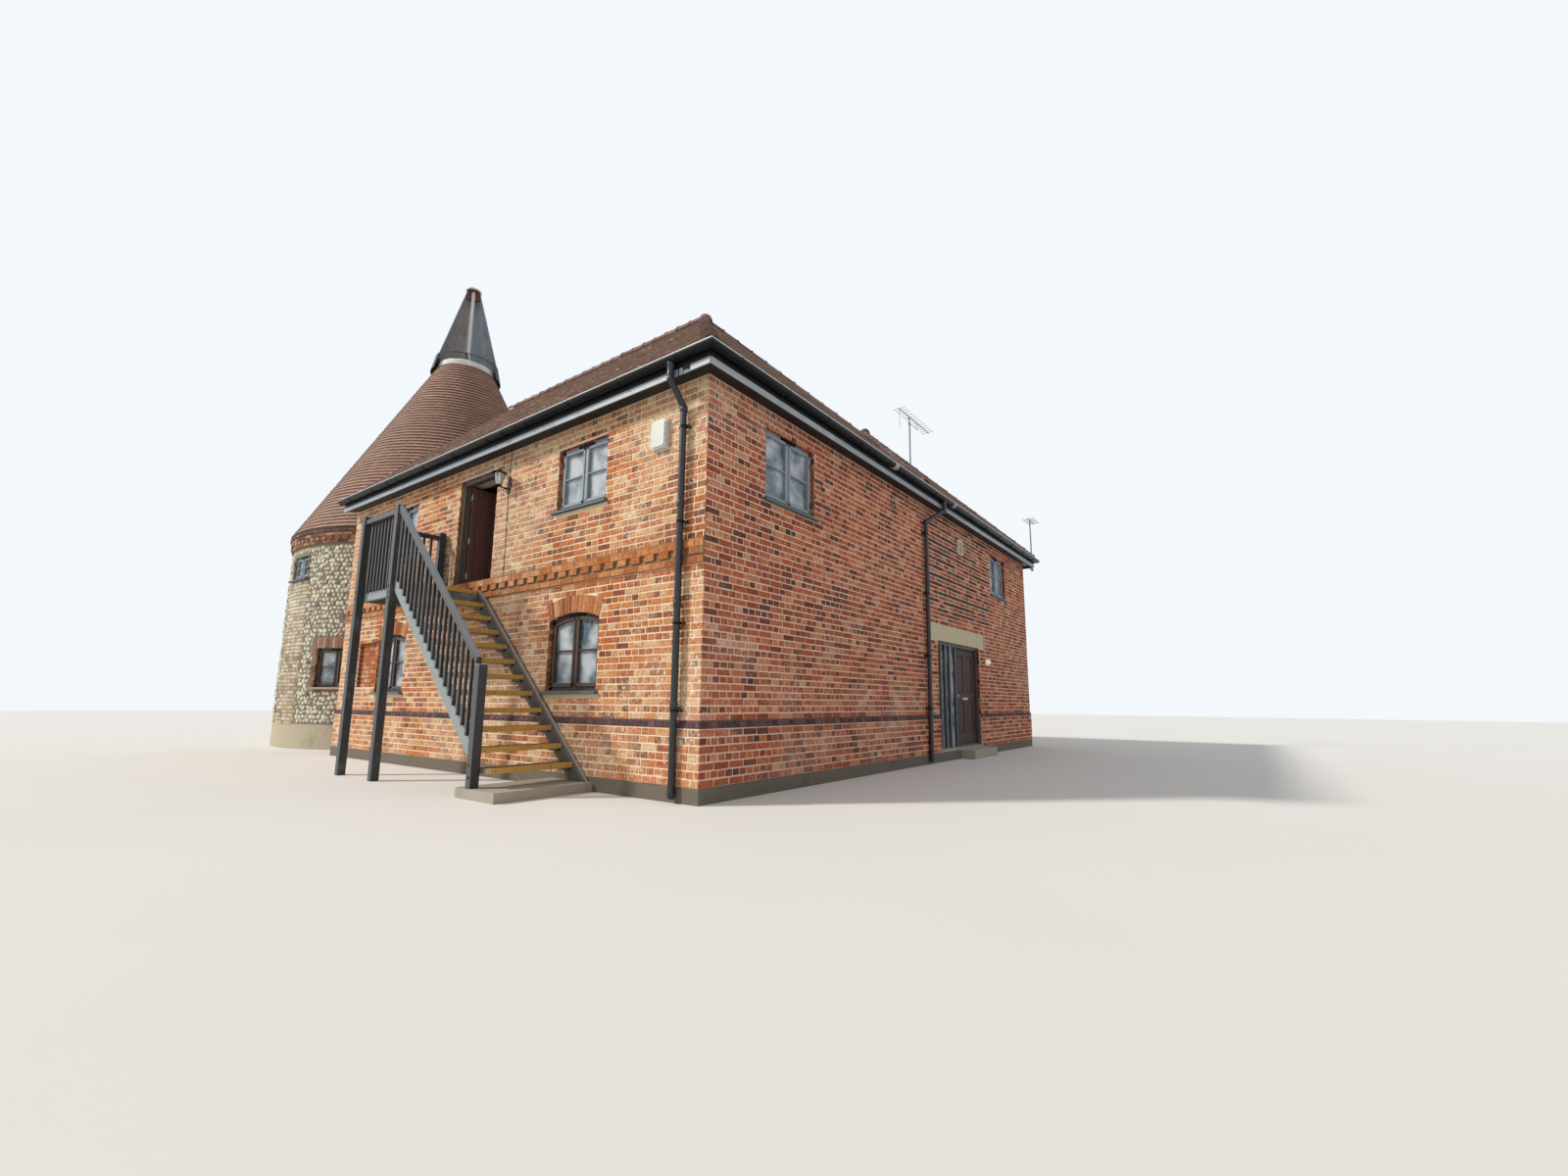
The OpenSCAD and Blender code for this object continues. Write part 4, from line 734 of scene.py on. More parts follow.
def layCourses(bench, place, left, right, foot, top, count, holes=(), lift=0.0, tones=(0.0, 1.0), dark=None, shift=0,
               edges=None):
    # Rows of stretchers and headers by turns, cut round the holes
    height, quads, shades = (top - foot) / count, [], []
    for k in range(count):
        low = foot + k * height + 0.001
        high = foot + (k + 1) * height - bond["joint"]
        middle = (low + high) / 2
        start, end = edges(middle) if edges else (left, right)
        if end - start < 0.05:
            continue
        headers = (k + shift) % 2
        cuts, u = [], start
        if headers:
            cuts += [(u, u + bond["header"]), (u + bond["header"] + bond["joint"],
                                               u + bond["header"] + bond["joint"] + bond["closer"])]
            u = cuts[-1][1] + bond["joint"]
        size = bond["header"] if headers else bond["stretcher"]
        while u < end:
            length = size * (1 + chance.normal(0, 0.02))
            cuts.append((u, min(u + length, end)))
            u += length + bond["joint"]
        gaps = [gap for gap in (h(middle) for h in holes) if gap]
        for a, b in cuts:
            parts = [(a, b)]
            for c, d in gaps:
                cut = []
                for p, q in parts:
                    if q <= c or p >= d:
                        cut.append((p, q))
                    else:
                        cut += [(p, c)] * (p < c) + [(d, q)] * (q > d)
                parts = cut
            for p, q in parts:
                if q - p > bond["shortest"]:
                    sway = chance.normal(0, 0.0012, 4)
                    quads.append([(p + sway[0], low + sway[1]), (q + sway[2], low + sway[1]),
                                  (q + sway[3], high + sway[2]), (p + sway[1], high + sway[3])])
                    tone = tones[0] + (tones[1] - tones[0]) * chance.random()
                    if headers and chance.random() < bond["darkHeaders"]:
                        tone *= 0.35
                    if dark and dark((p + q) / 2, middle):
                        tone = chance.random() * 0.09
                    shades.append(tone)
    bench.plates(quads, lift - bond["embed"], lift + bond["depth"], bond["bevel"], place, shades)


def layArch(bench, place, middle, width, sill, height, rise, ring=0.21, lift=0.0):
    radius = (width ** 2 / 4 + rise ** 2) / (2 * rise)
    centre, lean = sill + height - radius, math.asin(width / 2 / radius)
    count = round(2 * lean * (radius + ring) / bond["archPitch"])
    turns = np.linspace(-lean, lean, count + 1)
    gap = bond["archJoint"] / radius
    quads = []
    for a, b in zip(turns[:-1], turns[1:]):
        corners = ((radius, a + gap), (radius, b - gap), (radius + ring, b - gap), (radius + ring, a + gap))
        quads.append([(middle + r * math.sin(t), centre + r * math.cos(t)) for r, t in corners])
    bench.plates(quads, lift - bond["embed"], lift + bond["depth"] + 0.001, bond["bevel"], place, chance.random(count))


def layReveal(bench, place, side, edge, foot, top, deep, lift=0.0):
    # Brick ends on the jamb of an opening, from the wall face back to the frame
    count = max(round((top - foot) / house["course"]), 1)
    step = (top - foot) / count
    quads = [oblong(0.004, deep, foot + k * step, foot + (k + 1) * step - bond["joint"]) for k in range(count)]

    def turned(u, v, w):
        return place(edge - side * w, v, lift - u)
    if side > 0:
        quads = [[q[1], q[0], q[3], q[2]] for q in quads]
    bench.plates(quads, -0.002, 0.0035, 0.003, turned, chance.random(count), 0.0004)


# For each kind of window: its width, height, sill level and the rise of its arch
windowSizes = dict(upper=(0.98, 0.82, 3.37, 0.0), lower=(0.98, 0.93, 1.11, 0.08), end=(1.05, 0.89, 3.35, 0.0),
                   kilnUpper=(0.78, 0.49, 3.5, 0.0), kilnLower=(0.9, 0.78, 1.22, 0.0), frameBack=0.06,
                   sillDeep=0.045, sillEar=0.04, sillOut=0.055)
# The face, the place along it and the kind of each window
windows = [("S", 2.33, "upper"), ("S", -2.49, "upper"), ("S", 2.33, "lower"), ("S", -2.49, "lower"),
           ("E", -4.285, "end"), ("E", 3.725, "end"),
           ("N", 2.33, "upper"), ("N", -2.49, "upper"), ("N", 2.33, "lower"), ("N", -2.49, "lower")]
loadingDoor = dict(left=-0.65, right=0.39, foot=2.5, top=4.27, jamb=0.06, jambDeep=0.09, jambBack=0.04,
                   leafThick=0.045, boards=8, hinges=(0.28, 0.82, 1.5), handle=0.95)
recess = dict(left=-3.73, right=-2.95, foot=1.1865, top=1.9635, deep=0.06)
sideOpening = dict(left=0.2, right=2.32, top=2.1, lintelLeft=-0.09, lintelRight=2.61, lintelTop=2.42, reveal=0.055)
# Brickwork's top under the eaves, its rows, and where the kiln touches the west wall
wallRows = dict(top=4.444, all=48, plinth=7, overBand=23, bandHigh=3.5, kilnFrom=1.64, kilnTo=3.56)
gable = dict(foot=4.46, peak=7.682, cover=0.25, rows=39)
# South, north, foot and top of the burnt patches on the end wall, their share, and whether whole rows are spared
burnt = [(-0.2, 2.9, 2.62, 4.35, 0.75, True), (-5.2, -3.9, 2.9, 3.1, 0.3, False)]


def windowHoles(face):
    found = []
    for side, at, kind in windows:
        if side == face:
            width, height, sill, rise = windowSizes[kind]
            at = -at if face == "N" else at
            if rise:
                found.append(archHole(at, width, sill, height, rise))
            else:
                found.append(hole(at - width / 2, at + width / 2, sill, sill + height))
            reach = width / 2 + windowSizes["sillEar"]
            found.append(hole(at - reach, at + reach, sill - windowSizes["sillDeep"] - 0.02, sill))
    return found


def layWall(face, name, finish, archFinish, tones, dark=None):
    # The wall face, the plinth under it, the splay between them, then arches and reveals
    half = house["halfLength"] if face in "SN" else house["halfDepth"]
    edge = half + bond["depth"]
    place, holes, bench = onFace(face), windowHoles(face), Bench()
    plinth, out = house["plinthTop"] - house["splay"], house["plinthOut"]
    door, side = loadingDoor, sideOpening
    if face == "S":
        holes += [hole(d["left"], d["right"], d["foot"], d["top"]) for d in (door, recess)]
    if face == "E":
        holes += [hole(side["left"], side["right"], 0, side["top"]),
                  hole(side["lintelLeft"], side["lintelRight"], side["top"], side["lintelTop"])]
    if face == "W":
        holes += [hole(wallRows["kilnFrom"], wallRows["kilnTo"], 0, wallRows["top"])]
    foot, band, top = house["plinthTop"], house["bandFoot"], wallRows["top"]
    if face == "S":
        count, over = round((band - foot) / house["course"]), band + wallRows["bandHigh"] * house["course"]
        layCourses(bench, place, -edge, edge, foot, band, count, holes, 0, tones, dark)
        layCourses(bench, place, -edge, edge, over, top, wallRows["overBand"], holes, 0, tones, dark, 1)
    else:
        layCourses(bench, place, -edge, edge, foot, top, wallRows["all"], holes, 0, tones, dark)
    foot, edge = house["footingTop"], edge + out
    layCourses(bench, place, -edge, edge, foot, plinth, wallRows["plinth"], holes, out, tones, dark)
    bench.piece(name + "_bricks", finish, slot="brick", closed=False)
    # The splayed plinth course leans back to the wall face
    splay = Bench()
    slope = math.hypot(house["splay"], out)
    rise = house["splay"] / slope
    leaning = lambda u, v, w: place(u, plinth + v * rise + w * out / slope, out - v * out / slope + w * rise)
    splayHoles = [lambda v, h=h: h(plinth + house["splay"] / 2) for h in holes]
    layCourses(splay, leaning, -edge, edge, 0.002, slope, 1, splayHoles, 0, (0, 1), None, 1)
    splay.piece(name + "_plinth_splay", splayBrick, slot="brick", closed=False)
    # Arches over the lower windows, and the brick ends in the reveals
    trim = Bench()
    for where, at, kind in windows:
        if where != face:
            continue
        width, height, sill, lift = windowSizes[kind]
        at = -at if face == "N" else at
        if lift:
            layArch(trim, place, at, width, sill, height, lift)
        for s in (-1, 1):
            layReveal(trim, place, s, at + s * width / 2, sill, sill + height - lift, windowSizes["frameBack"])
    if face == "S":
        for s, x in ((-1, door["left"]), (1, door["right"])):
            layReveal(trim, place, s, x, door["foot"], door["top"], door["jambBack"])
    if face == "E":
        for s, y in ((-1, side["left"]), (1, side["right"])):
            layReveal(trim, place, s, y, house["plinthTop"], side["top"], side["reveal"])
    if trim.count:
        trim.piece(name + "_arches_and_reveals", archFinish, slot="brick", closed=False)


def rearDark(y, z):
    # Rows of burnt bricks on the rear range by the downpipe, and a few at the corner
    row = int((z - house["plinthTop"]) / 0.07604)
    for south, north, foot, top, share, sparing in burnt:
        if south < y < north and foot < z < top and not (sparing and row % 2) and chance.random() < share:
            return True
    return False


layWall("S", "front_wall", sunnyBrick, orangeBrick, (0.08, 0.98))
layWall("E", "east_wall", redBrick, redBrick, (0.14, 0.97), rearDark)
layWall("N", "back_wall", redBrick, orangeBrick, (0.12, 0.97))
layWall("W", "west_wall", redBrick, redBrick, (0.12, 0.97))


def layGables():
    bench, place = Bench(), onFace("W")
    peak = gable["peak"] - gable["cover"]
    for middle in (-house["halfDepth"] / 2, house["halfDepth"] / 2):
        def reach(v, m=middle):
            half = (peak - v) / math.tan(roof["pitch"])
            return m - half, m + half
        layCourses(bench, place, 0, 0, gable["foot"], peak, gable["rows"], [], 0, (0.12, 0.97), None, 0, reach)
    bench.piece("gable_bricks", redBrick, slot="brick", closed=False)


def layBand():
    # Two courses that stand out, a slot, the dentils and the courses over them, and the back of the blind recess
    bench, place, out = Bench(), onFace("S"), house["bandOut"]
    c, foot, edge = house["course"], house["bandFoot"], house["halfLength"]
    layCourses(bench, place, -edge, edge, foot, foot + c, 1, [], out, (0.1, 0.9), None, 0)
    layCourses(bench, place, -edge, edge, foot + 2.25 * c, foot + 3.45 * c, 1, [], out, (0.25, 1.0), None, 0)
    quads = []
    start = -edge + house["dentilPitch"] / 2
    for k in range(40):
        left = start + house["dentilGap"] + k * house["dentilPitch"] + 0.004
        right = min(left + house["dentilPitch"] - house["dentilGap"] - 0.008, edge)
        if right - left > 0.03:
            quads.append(oblong(left, right, foot + 1.27 * c, foot + 2.22 * c))
    bench.plates(quads, out - 0.003, out + 0.005, 0.003, place, 0.3 + 0.6 * chance.random(len(quads)))
    layCourses(bench, place, recess["left"] + 0.005, recess["right"] - 0.005, recess["foot"], recess["top"], 10, [],
               -recess["deep"], (0.1, 0.95))
    bench.piece("dentil_bricks", orangeBrick, slot="brick", closed=False)


layGables()
layBand()
dress(frontWall, "front_wall_west", "front_wall_below_door", "front_wall_over_door", "front_wall_east")
dress(eastWall, "east_wall_south", "east_wall_over_door", "east_wall_north")
dress(backWall, "back_wall")
dress(westWall, "west_wall", "west_gables")
# The body of the dentil band is a mid brown: a mortar colour darkened as painted shade in the notches between the
# dentils
mortarAndNotchShade = plainFinish("band_mortar_and_notch_shade", "#a37d58", "#7f5d40", 0.92, (60.0, 0.9, 0.6, 0.003))
dress(mortarAndNotchShade, "dentil_band")
dress(lintelStone, "side_lintel")
# The footing is darker than the other concrete: partly damp, and partly painted shade
dress(footingConcrete, "footing")
dress(concrete, "ground_floor")
dress(floorBoards, "upper_floor", "kiln_floors")
print("walls laid")


# Roofs

tile = dict(width=0.165, gauge=0.1, gap=0.003, tail=0.02, head=0.006, lap=0.03, bed=0.001, thick=0.011, crown=0.0022)
# Corners of a tile: four at the foot, four on the face, the crown's two ends and the foot's middle
tilePattern = np.array([[4, 8, 9, 7], [8, 5, 6, 9], [0, 10, 8, 4], [10, 1, 5, 8], [3, 0, 4, 7], [1, 2, 6, 5]])
# The way from tail to head at each of them, for the painted light along each tile
tileAlong = np.outer([0, 0, 1, 1, 0, 0, 1, 1, 0, 1, 0], (1.0, 0.0, 0.0))


def addTiles(bench, points, tones):
    faces = np.arange(len(points))[:, None, None] * len(tileAlong) + tilePattern
    bench.add(points.reshape(-1, 3), faces.reshape(-1, 4), tones, np.tile(tileAlong, (len(points), 1)))


def layTiles(bench, origin, along, slope, length, edges, start=-0.012):
    # Plain tiles in broken bond: each tile is a wedge, thick at its tail, cut to the outline of the slope
    origin, along, slope = (np.array(p, float) for p in (origin, along, slope))
    out = np.cross(along, slope)
    rows = int(math.ceil((length - start) / tile["gauge"]))
    lefts, rights, lows, highs = [], [], [], []
    for row in range(rows):
        low = start + row * tile["gauge"]
        high = min(low + tile["gauge"] + tile["lap"], length)
        if high - low < 0.02:
            continue
        a, b = edges(max(low, 0.0))
        c, d = edges(min(low + tile["gauge"], length))
        u = math.floor(min(a, c) / tile["width"]) * tile["width"] - (row % 2) * tile["width"] / 2
        while u < max(b, d):
            lefts.append(u + tile["gap"] / 2)
            rights.append(u + tile["width"] - tile["gap"] / 2)
            lows.append(low)
            highs.append(high)
            u += tile["width"]
    left, right, low, high = (np.array(v) for v in (lefts, rights, lows, highs))
    low = low + chance.normal(0, 0.0025, len(left))
    foot, head = (np.array([edges(min(max(v, 0.0), length)) for v in values]).T for values in (low, high))
    corners = np.stack([np.clip(left, *foot), np.clip(right, *foot), np.clip(right, *head), np.clip(left, *head)], 1)
    keep = (corners[:, 1] - corners[:, 0] + corners[:, 2] - corners[:, 3]) > 0.02
    corners, low, high = corners[keep], low[keep], high[keep]
    n = len(low)
    height = np.stack([low, low, high, high], 1)
    twist = chance.normal(0, 0.0016, (n, 2))
    tail = tile["tail"] + chance.normal(0, 0.0018, n)
    head, bed = np.full(n, tile["head"]), np.full(n, tile["bed"])
    lift = np.stack([tail + twist[:, 0], tail - twist[:, 0] + twist[:, 1], head, head], 1)
    foot = np.stack([bed, bed, head - tile["thick"], head - tile["thick"]], 1)
    # The face is split down the middle with a slight crown, as a hand-made tile has
    middle = (corners[:, [0]] + corners[:, [1]]) / 2, (corners[:, [2]] + corners[:, [3]]) / 2
    u = np.concatenate([corners, corners, middle[0], middle[1], middle[0]], 1)
    v = np.concatenate([height, height, height[:, [0]], height[:, [2]], height[:, [0]]], 1)
    w = np.concatenate([foot, lift, lift[:, [0]] + tile["crown"], lift[:, [2]] + tile["crown"], foot[:, [0]]], 1)
    tones = np.clip(chance.normal(0.5, 0.2, n), 0, 1)
    addTiles(bench, origin + u[..., None] * along + v[..., None] * slope + w[..., None] * out,
             np.repeat(tones, len(tilePattern)))


pitch = roof["pitch"]
eave = house["halfLength"] + roof["tileOut"]
westEdge = -house["halfLength"] - roof["verge"]
outerRun = (house["halfDepth"] / 2 + roof["tileOut"]) / math.cos(pitch)
ridgeZ = roof["edgeZ"] + (house["halfDepth"] / 2 + roof["tileOut"]) * math.tan(pitch)
ridgeEast = house["halfLength"] - house["halfDepth"] / 2


def layRoof():
    level = math.cos(pitch)
    for side, label in ((1, "front"), (-1, "rear")):
        # Outer slope, from the eaves to the ridge, hipped at the east end
        bench = Bench()
        y = -side * (house["halfDepth"] + roof["tileOut"])
        if side > 0:
            layTiles(bench, (0, y, roof["edgeZ"]), (1, 0, 0), (0, level, math.sin(pitch)), outerRun,
                     lambda v: (westEdge, eave - v * level))
        else:
            layTiles(bench, (0, y, roof["edgeZ"]), (-1, 0, 0), (0, -level, math.sin(pitch)), outerRun,
                     lambda v: (v * level - eave, -westEdge))
        bench.piece(label + "_outer_tiles", roofTile, slot="roof_tiles", closed=False)
        # Inner slope, down to the valley
        bench = Bench()
        foot = roof["valleyHalf"]
        run = (house["halfDepth"] / 2 - foot) / level
        footZ = roof["edgeZ"] + (foot + roof["tileOut"]) * math.tan(pitch)
        if side > 0:
            layTiles(bench, (0, -foot, footZ), (-1, 0, 0), (0, -level, math.sin(pitch)), run,
                     lambda v: (foot + v * level - house["halfLength"], -westEdge))
        else:
            layTiles(bench, (0, foot, footZ), (1, 0, 0), (0, level, math.sin(pitch)), run,
                     lambda v: (westEdge, house["halfLength"] - foot - v * level))
        bench.piece(label + "_inner_tiles", roofTile, slot="roof_tiles", closed=False)
        # Hip slope over the east end
        bench = Bench()
        reach = house["halfDepth"] + roof["tileOut"]
        inner = roof["valleyHalf"]
        peak = house["halfDepth"] / 2

        def hip(v, s=side):
            d = v * level
            low = -reach + d
            high = -max(inner, d - roof["tileOut"])
            low, high = min(low, -peak), max(high, -peak)
            return (low, high) if s > 0 else (-high, -low)
        layTiles(bench, (eave, 0, roof["edgeZ"]), (0, 1, 0), (-level, 0, math.sin(pitch)), outerRun, hip)
        bench.piece(label + "_hip_tiles", roofTile, slot="roof_tiles", closed=False)


def capTiles(bench, start, end, radius, lift, length=0.3, sweep=(-96, 96)):
    # Half-round tiles bedded end to end, each one lapping the next below it
    start, end = np.array(start, float), np.array(end, float)
    run = np.linalg.norm(end - start)
    ahead = (end - start) / run
    side = np.cross(ahead, (0, 0, 1))
    side /= np.linalg.norm(side)
    up = np.cross(side, ahead)
    count = max(round(run / length), 1)
    turns = np.radians(np.linspace(sweep[0], sweep[1], 15))
    n, sweeps = len(turns), np.sin(turns)[:, None] * side + np.cos(turns)[:, None] * up
    for k in range(count):
        a, b = start + ahead * run * k / count, start + ahead * run * ((k + 1) / count) + ahead * 0.02
        tone, grow = chance.random(), chance.normal(0, 0.0015)
        # A raised band at the tail, the slimmer body, its far end, and the inside of the tail
        rings = [point + up * lift + r * sweeps for point, r in
                 ((a, radius + 0.008 + grow), (a + ahead * 0.035, radius + 0.008 + grow),
                  (a + ahead * 0.045, radius - 0.001 + grow), (b, radius - 0.006), (a, radius - 0.02))]
        faces = []
        for r, s in ((0, 1), (1, 2), (2, 3), (4, 0)):
            faces += [[r * n + i, s * n + i, s * n + i + 1, r * n + i + 1] for i in range(n - 1)]
        bench.add(np.concatenate(rings), faces, tone)


ridge = dict(radius=0.11, lift=0.065 - 0.11, hipRadius=0.095, hipLift=0.05 - 0.095, footIn=0.03, topIn=0.06,
             valley=0.04)
bonnet = [(0.001, 0.055), (0.05, 0.045), (0.095, 0.012), (0.122, -0.045), (0.128, -0.09)]


def layRidges():
    bench = Bench()
    radius, lift, hipRadius, hipLift = (ridge[k] for k in ("radius", "lift", "hipRadius", "hipLift"))
    foot, top = roof["tileOut"] - ridge["footIn"], house["halfDepth"] / 2 - ridge["topIn"]
    rise = lambda d: roof["edgeZ"] + (d + roof["tileOut"]) * math.tan(pitch)
    half, deep, inner = house["halfLength"], house["halfDepth"], roof["valleyHalf"] + ridge["valley"]
    for s in (1, -1):
        capTiles(bench, (westEdge, s * -deep / 2, ridgeZ), (ridgeEast, s * -deep / 2, ridgeZ), radius, lift)
        capTiles(bench, (half + foot, s * (-deep - foot), rise(-foot)), (half - top, s * (-deep + top), rise(top)),
                 hipRadius, hipLift)
        capTiles(bench, (half - inner, s * -inner, rise(inner)), (half - top, s * -top, rise(top)), hipRadius, hipLift)
        # The bonnet where the hips meet the ridge
        bench.lathe(bonnet, (ridgeEast + 0.03, s * -deep / 2, ridgeZ + 0.03), sides=20)
    bench.piece("ridge_and_hip_tiles", ridgeTile, slot="roof_tiles", closed=True, smooth=40, replaces="ridge_tiles")


verge = dict(pitch=0.17, half=0.083, thick=0.012, under=0.035)


def layVerge():
    # Undercloak tiles along the two west gables
    bench = Bench()
    half, thick = verge["half"], verge["thick"] / 2
    for middle in (-house["halfDepth"] / 2, house["halfDepth"] / 2):
        for s in (-1, 1):
            reach = house["halfDepth"] / 2 + (roof["tileOut"] if s * middle > 0 else -roof["valleyHalf"])
            run, slope = reach / math.cos(pitch), (0, -s * math.cos(pitch), math.sin(pitch))
            for k in range(int(run / verge["pitch"])):
                v = run - (k + 0.5) * verge["pitch"]
                y = middle + s * (reach - v * math.cos(pitch))
                z = ridgeZ - (reach - v * math.cos(pitch)) * math.tan(pitch)
                place = placeBy((westEdge, y, z - verge["under"]), (1, 0, 0), slope, np.cross((1, 0, 0), slope))
                bench.slab((0.0, -half, -thick), (roof["verge"], half, thick), 0.002, place)
    bench.piece("verge_undercloak", ridgeTile, slot="roof_tiles")


layRoof()
layRidges()
layVerge()
for name in ("roof_outer_slopes", "roof_inner_slopes", "roof_hip_slopes"):
    dress(plainFinish(name + "_bed", "#3f2e28", "#2b211e", 0.9, (40.0, 0.8, 0.5, 0.003)), name)
dress(leadSheet, "valley_gutter")
print("roofs tiled")


# Kiln

def kilnPlace(radius):
    # u runs round the wall from the west, v up and w out
    def place(u, v, w):
        return roundKiln(radius + np.asarray(w), np.asarray(u) / radius, np.asarray(v))
    return place


kilnOpenings = [(-88, "kilnUpper"), (-62, "kilnLower")]
kilnSeen = (math.radians(18), math.radians(342))  # what stands clear of the house end
flint = dict(rise=0.091, pitch=0.103, reach=0.0505, sides=6, halfWide=0.058, halfHigh=0.05, deep=(0.011, 0.014))
# How far the brick trim keeps the flints off: beside, under and over the upper window's hole, then the lower one's
flintClear = dict(kilnUpper=(0.04, 0.08, 0.035), kilnLower=(0.16, 0.1, 0.26), apron=0.12)
kilnBrick = dict(jamb=0.073, long=0.2, short=0.105, joint=0.009, headOver=0.24, headPitch=0.075, headHigh=0.21,
                 apronRow=0.0765, apronHigh=0.066, apronLong=0.1, apronShort=0.045)
# Level, height, way out, length and gap of the cornice's three rows
cornice = [(4.195, 0.062, 0.032, 0.215, 0.0105), (4.268, 0.065, 0.056, 0.1025, 0.09),
           (4.343, 0.064, 0.056, 0.215, 0.0105)]


def roundKiln(radius, turn, level):
    return np.stack([kiln["x"] + radius * np.cos(turn), kiln["y"] + radius * np.sin(turn), level], -1)


def inBrickTrim(turn, level):
    for at, kind in kilnOpenings:
        width, height, sill = windowSizes[kind][:3]
        beside, under, over = flintClear[kind]
        side = abs((turn - math.radians(at) + math.pi) % (2 * math.pi) - math.pi) * kiln["radius"] - width / 2
        if side < beside and sill - under < level < sill + height + over:
            return True
        if kind == "kilnUpper" and side < flintClear["apron"] and level < sill - 0.02:
            return True
    return False


def layFlints():
    # Rows of knapped stones, each a ring of points in the mortar, a smaller ring further out and a crest
    radius, sides = kiln["radius"], flint["sides"]
    foot, top = kiln["plinthTop"] + 0.02, kiln["wallTop"] - 0.25
    count = int((kilnSeen[1] - kilnSeen[0]) * radius / flint["pitch"])
    sites = []
    for row in range(int((top - foot) / flint["rise"])):
        for k in range(count):
            turn = kilnSeen[0] + (k + 0.5 * (row % 2) + 0.5) * flint["pitch"] / radius
            turn += chance.normal(0, 0.012) / radius
            level = foot + (row + 0.5) * flint["rise"] + chance.normal(0, 0.011)
            if not inBrickTrim(turn, level):
                sites.append((turn, level))
    sites = np.array(sites)
    around = [(i, (i + 1) % sides) for i in range(sides)]
    quads = np.array([[i, j, sides + j, sides + i] for i, j in around])
    fans = np.array([[sides + i, sides + j, 2 * sides] for i, j in around])
    for part, label in ((sites[sites[:, 0] < math.pi], "back"), (sites[sites[:, 0] >= math.pi], "front")):
        n = len(part)
        turns = np.linspace(0, 2 * math.pi, sides, endpoint=False)[None] + chance.uniform(0, 1, (n, 1))
        reach = flint["reach"] * (1 + chance.normal(0, 0.2, (n, sides))) * (1 + chance.normal(0, 0.14, (n, 1)))
        squash = 1 - 0.3 * chance.random((n, 1))
        lean = chance.uniform(0, math.pi, (n, 1))
        x, y = reach * np.cos(turns), reach * np.sin(turns) * squash
        x, y = x * np.cos(lean) - y * np.sin(lean), x * np.sin(lean) + y * np.cos(lean)
        x, y = (np.clip(v, -most, most) for v, most in ((x, flint["halfWide"]), (y, flint["halfHigh"])))
        deep = flint["deep"][0] + flint["deep"][1] * chance.random((n, 1))
        inner = roundKiln(radius + np.full((n, sides), -bond["embed"]), part[:, [0]] + x / radius, part[:, [1]] + y)
        w = 0.8 * deep + chance.normal(0, 0.0015, (n, sides))
        outer = roundKiln(radius + w, part[:, [0]] + 0.76 * x / radius, part[:, [1]] + 0.76 * y)
        crest = roundKiln(radius + deep[:, 0], part[:, 0], part[:, 1])[:, None]
        tones = np.clip(chance.beta(1.7, 1.25, n), 0, 1)
        bench = Bench()
        offset = np.arange(n)[:, None, None] * (2 * sides + 1)
        bench.add(np.concatenate([inner, outer, crest], 1), (offset + quads).reshape(-1, 4), np.repeat(tones, sides))
        bench.faces += (offset + fans).reshape(-1, 3).tolist()
        bench.tones += list(np.repeat(tones, sides))
        bench.piece("kiln_flints_" + label, flintStone, slot="flint", closed=False, smooth=38)


def layKilnBricks():
    # Brick jambs and a soldier head round the lower window, and a strip of pale bricks under the upper one
    b = kilnBrick
    for turn, kind in kilnOpenings:
        bench, quads = Bench(), []
        width, height, sill = windowSizes[kind][:3]
        middle = math.radians(turn) * kiln["radius"]
        rows = round(height / b["jamb"]) if kind == "kilnLower" else 0
        for s in (-1, 1):
            for k in range(rows):
                ends = (middle + s * (width / 2 + 0.004), middle + s * (width / 2 + b["long" if k % 2 else "short"]))
                z = sill + k * height / rows
                quads.append(oblong(min(ends), max(ends), z, z + height / rows - b["joint"]))
        head = width + b["headOver"]
        count = round(head / b["headPitch"]) if rows else 0
        for k in range(count):
            left, z = middle - head / 2 + k * head / count, sill + height + 0.006
            quads.append(oblong(left, left + head / count - b["joint"], z, z + b["headHigh"]))
        low = sill - windowSizes["sillDeep"]
        apron = round((low - kiln["plinthTop"]) / b["apronRow"]) if kind == "kilnUpper" else 1
        for k in range(apron):
            z = low - (k + 1) * b["apronRow"]
            half = width / 2 + b["apronLong" if k % 2 else "apronShort"]
            u, size = middle - half, bond["stretcher" if k % 2 else "header"]
            while u < middle + half - 0.04:
                end = min(u + size, middle + half)
                quads.append(oblong(u, end, z, z + b["apronHigh"]))
                u = end + bond["joint"]
        bench.plates(quads, -bond["embed"], 0.007, 0.004, kilnPlace(kiln["radius"]), chance.random(len(quads)))
        flat = onFace("K", turn)
        for s in (-1, 1):
            layReveal(bench, flat, s, s * width / 2, sill, sill + height, windowSizes["frameBack"] - 0.01)
        if rows:
            bench.piece("kiln_lower_window_bricks", jambBrick, slot="brick", closed=False)
        else:
            bench.piece("kiln_upper_window_bricks", tanBrick, slot="brick", closed=False)
    # Cornice: a plain course, dentils and a course that carries the tile edge
    bench = Bench()
    for z, high, out, size, gap in cornice:
        radius = kiln["radius"] + out
        quads, u = [], kilnSeen[0] * radius
        while u < kilnSeen[1] * radius:
            quads.append(oblong(u, u + size, z, z + high))
            u += size + gap
        bench.plates(quads, -0.03, 0.006, 0.004, kilnPlace(radius), chance.random(len(quads)))
    bench.piece("kiln_cornice_bricks", corniceBrick, slot="brick", closed=False)


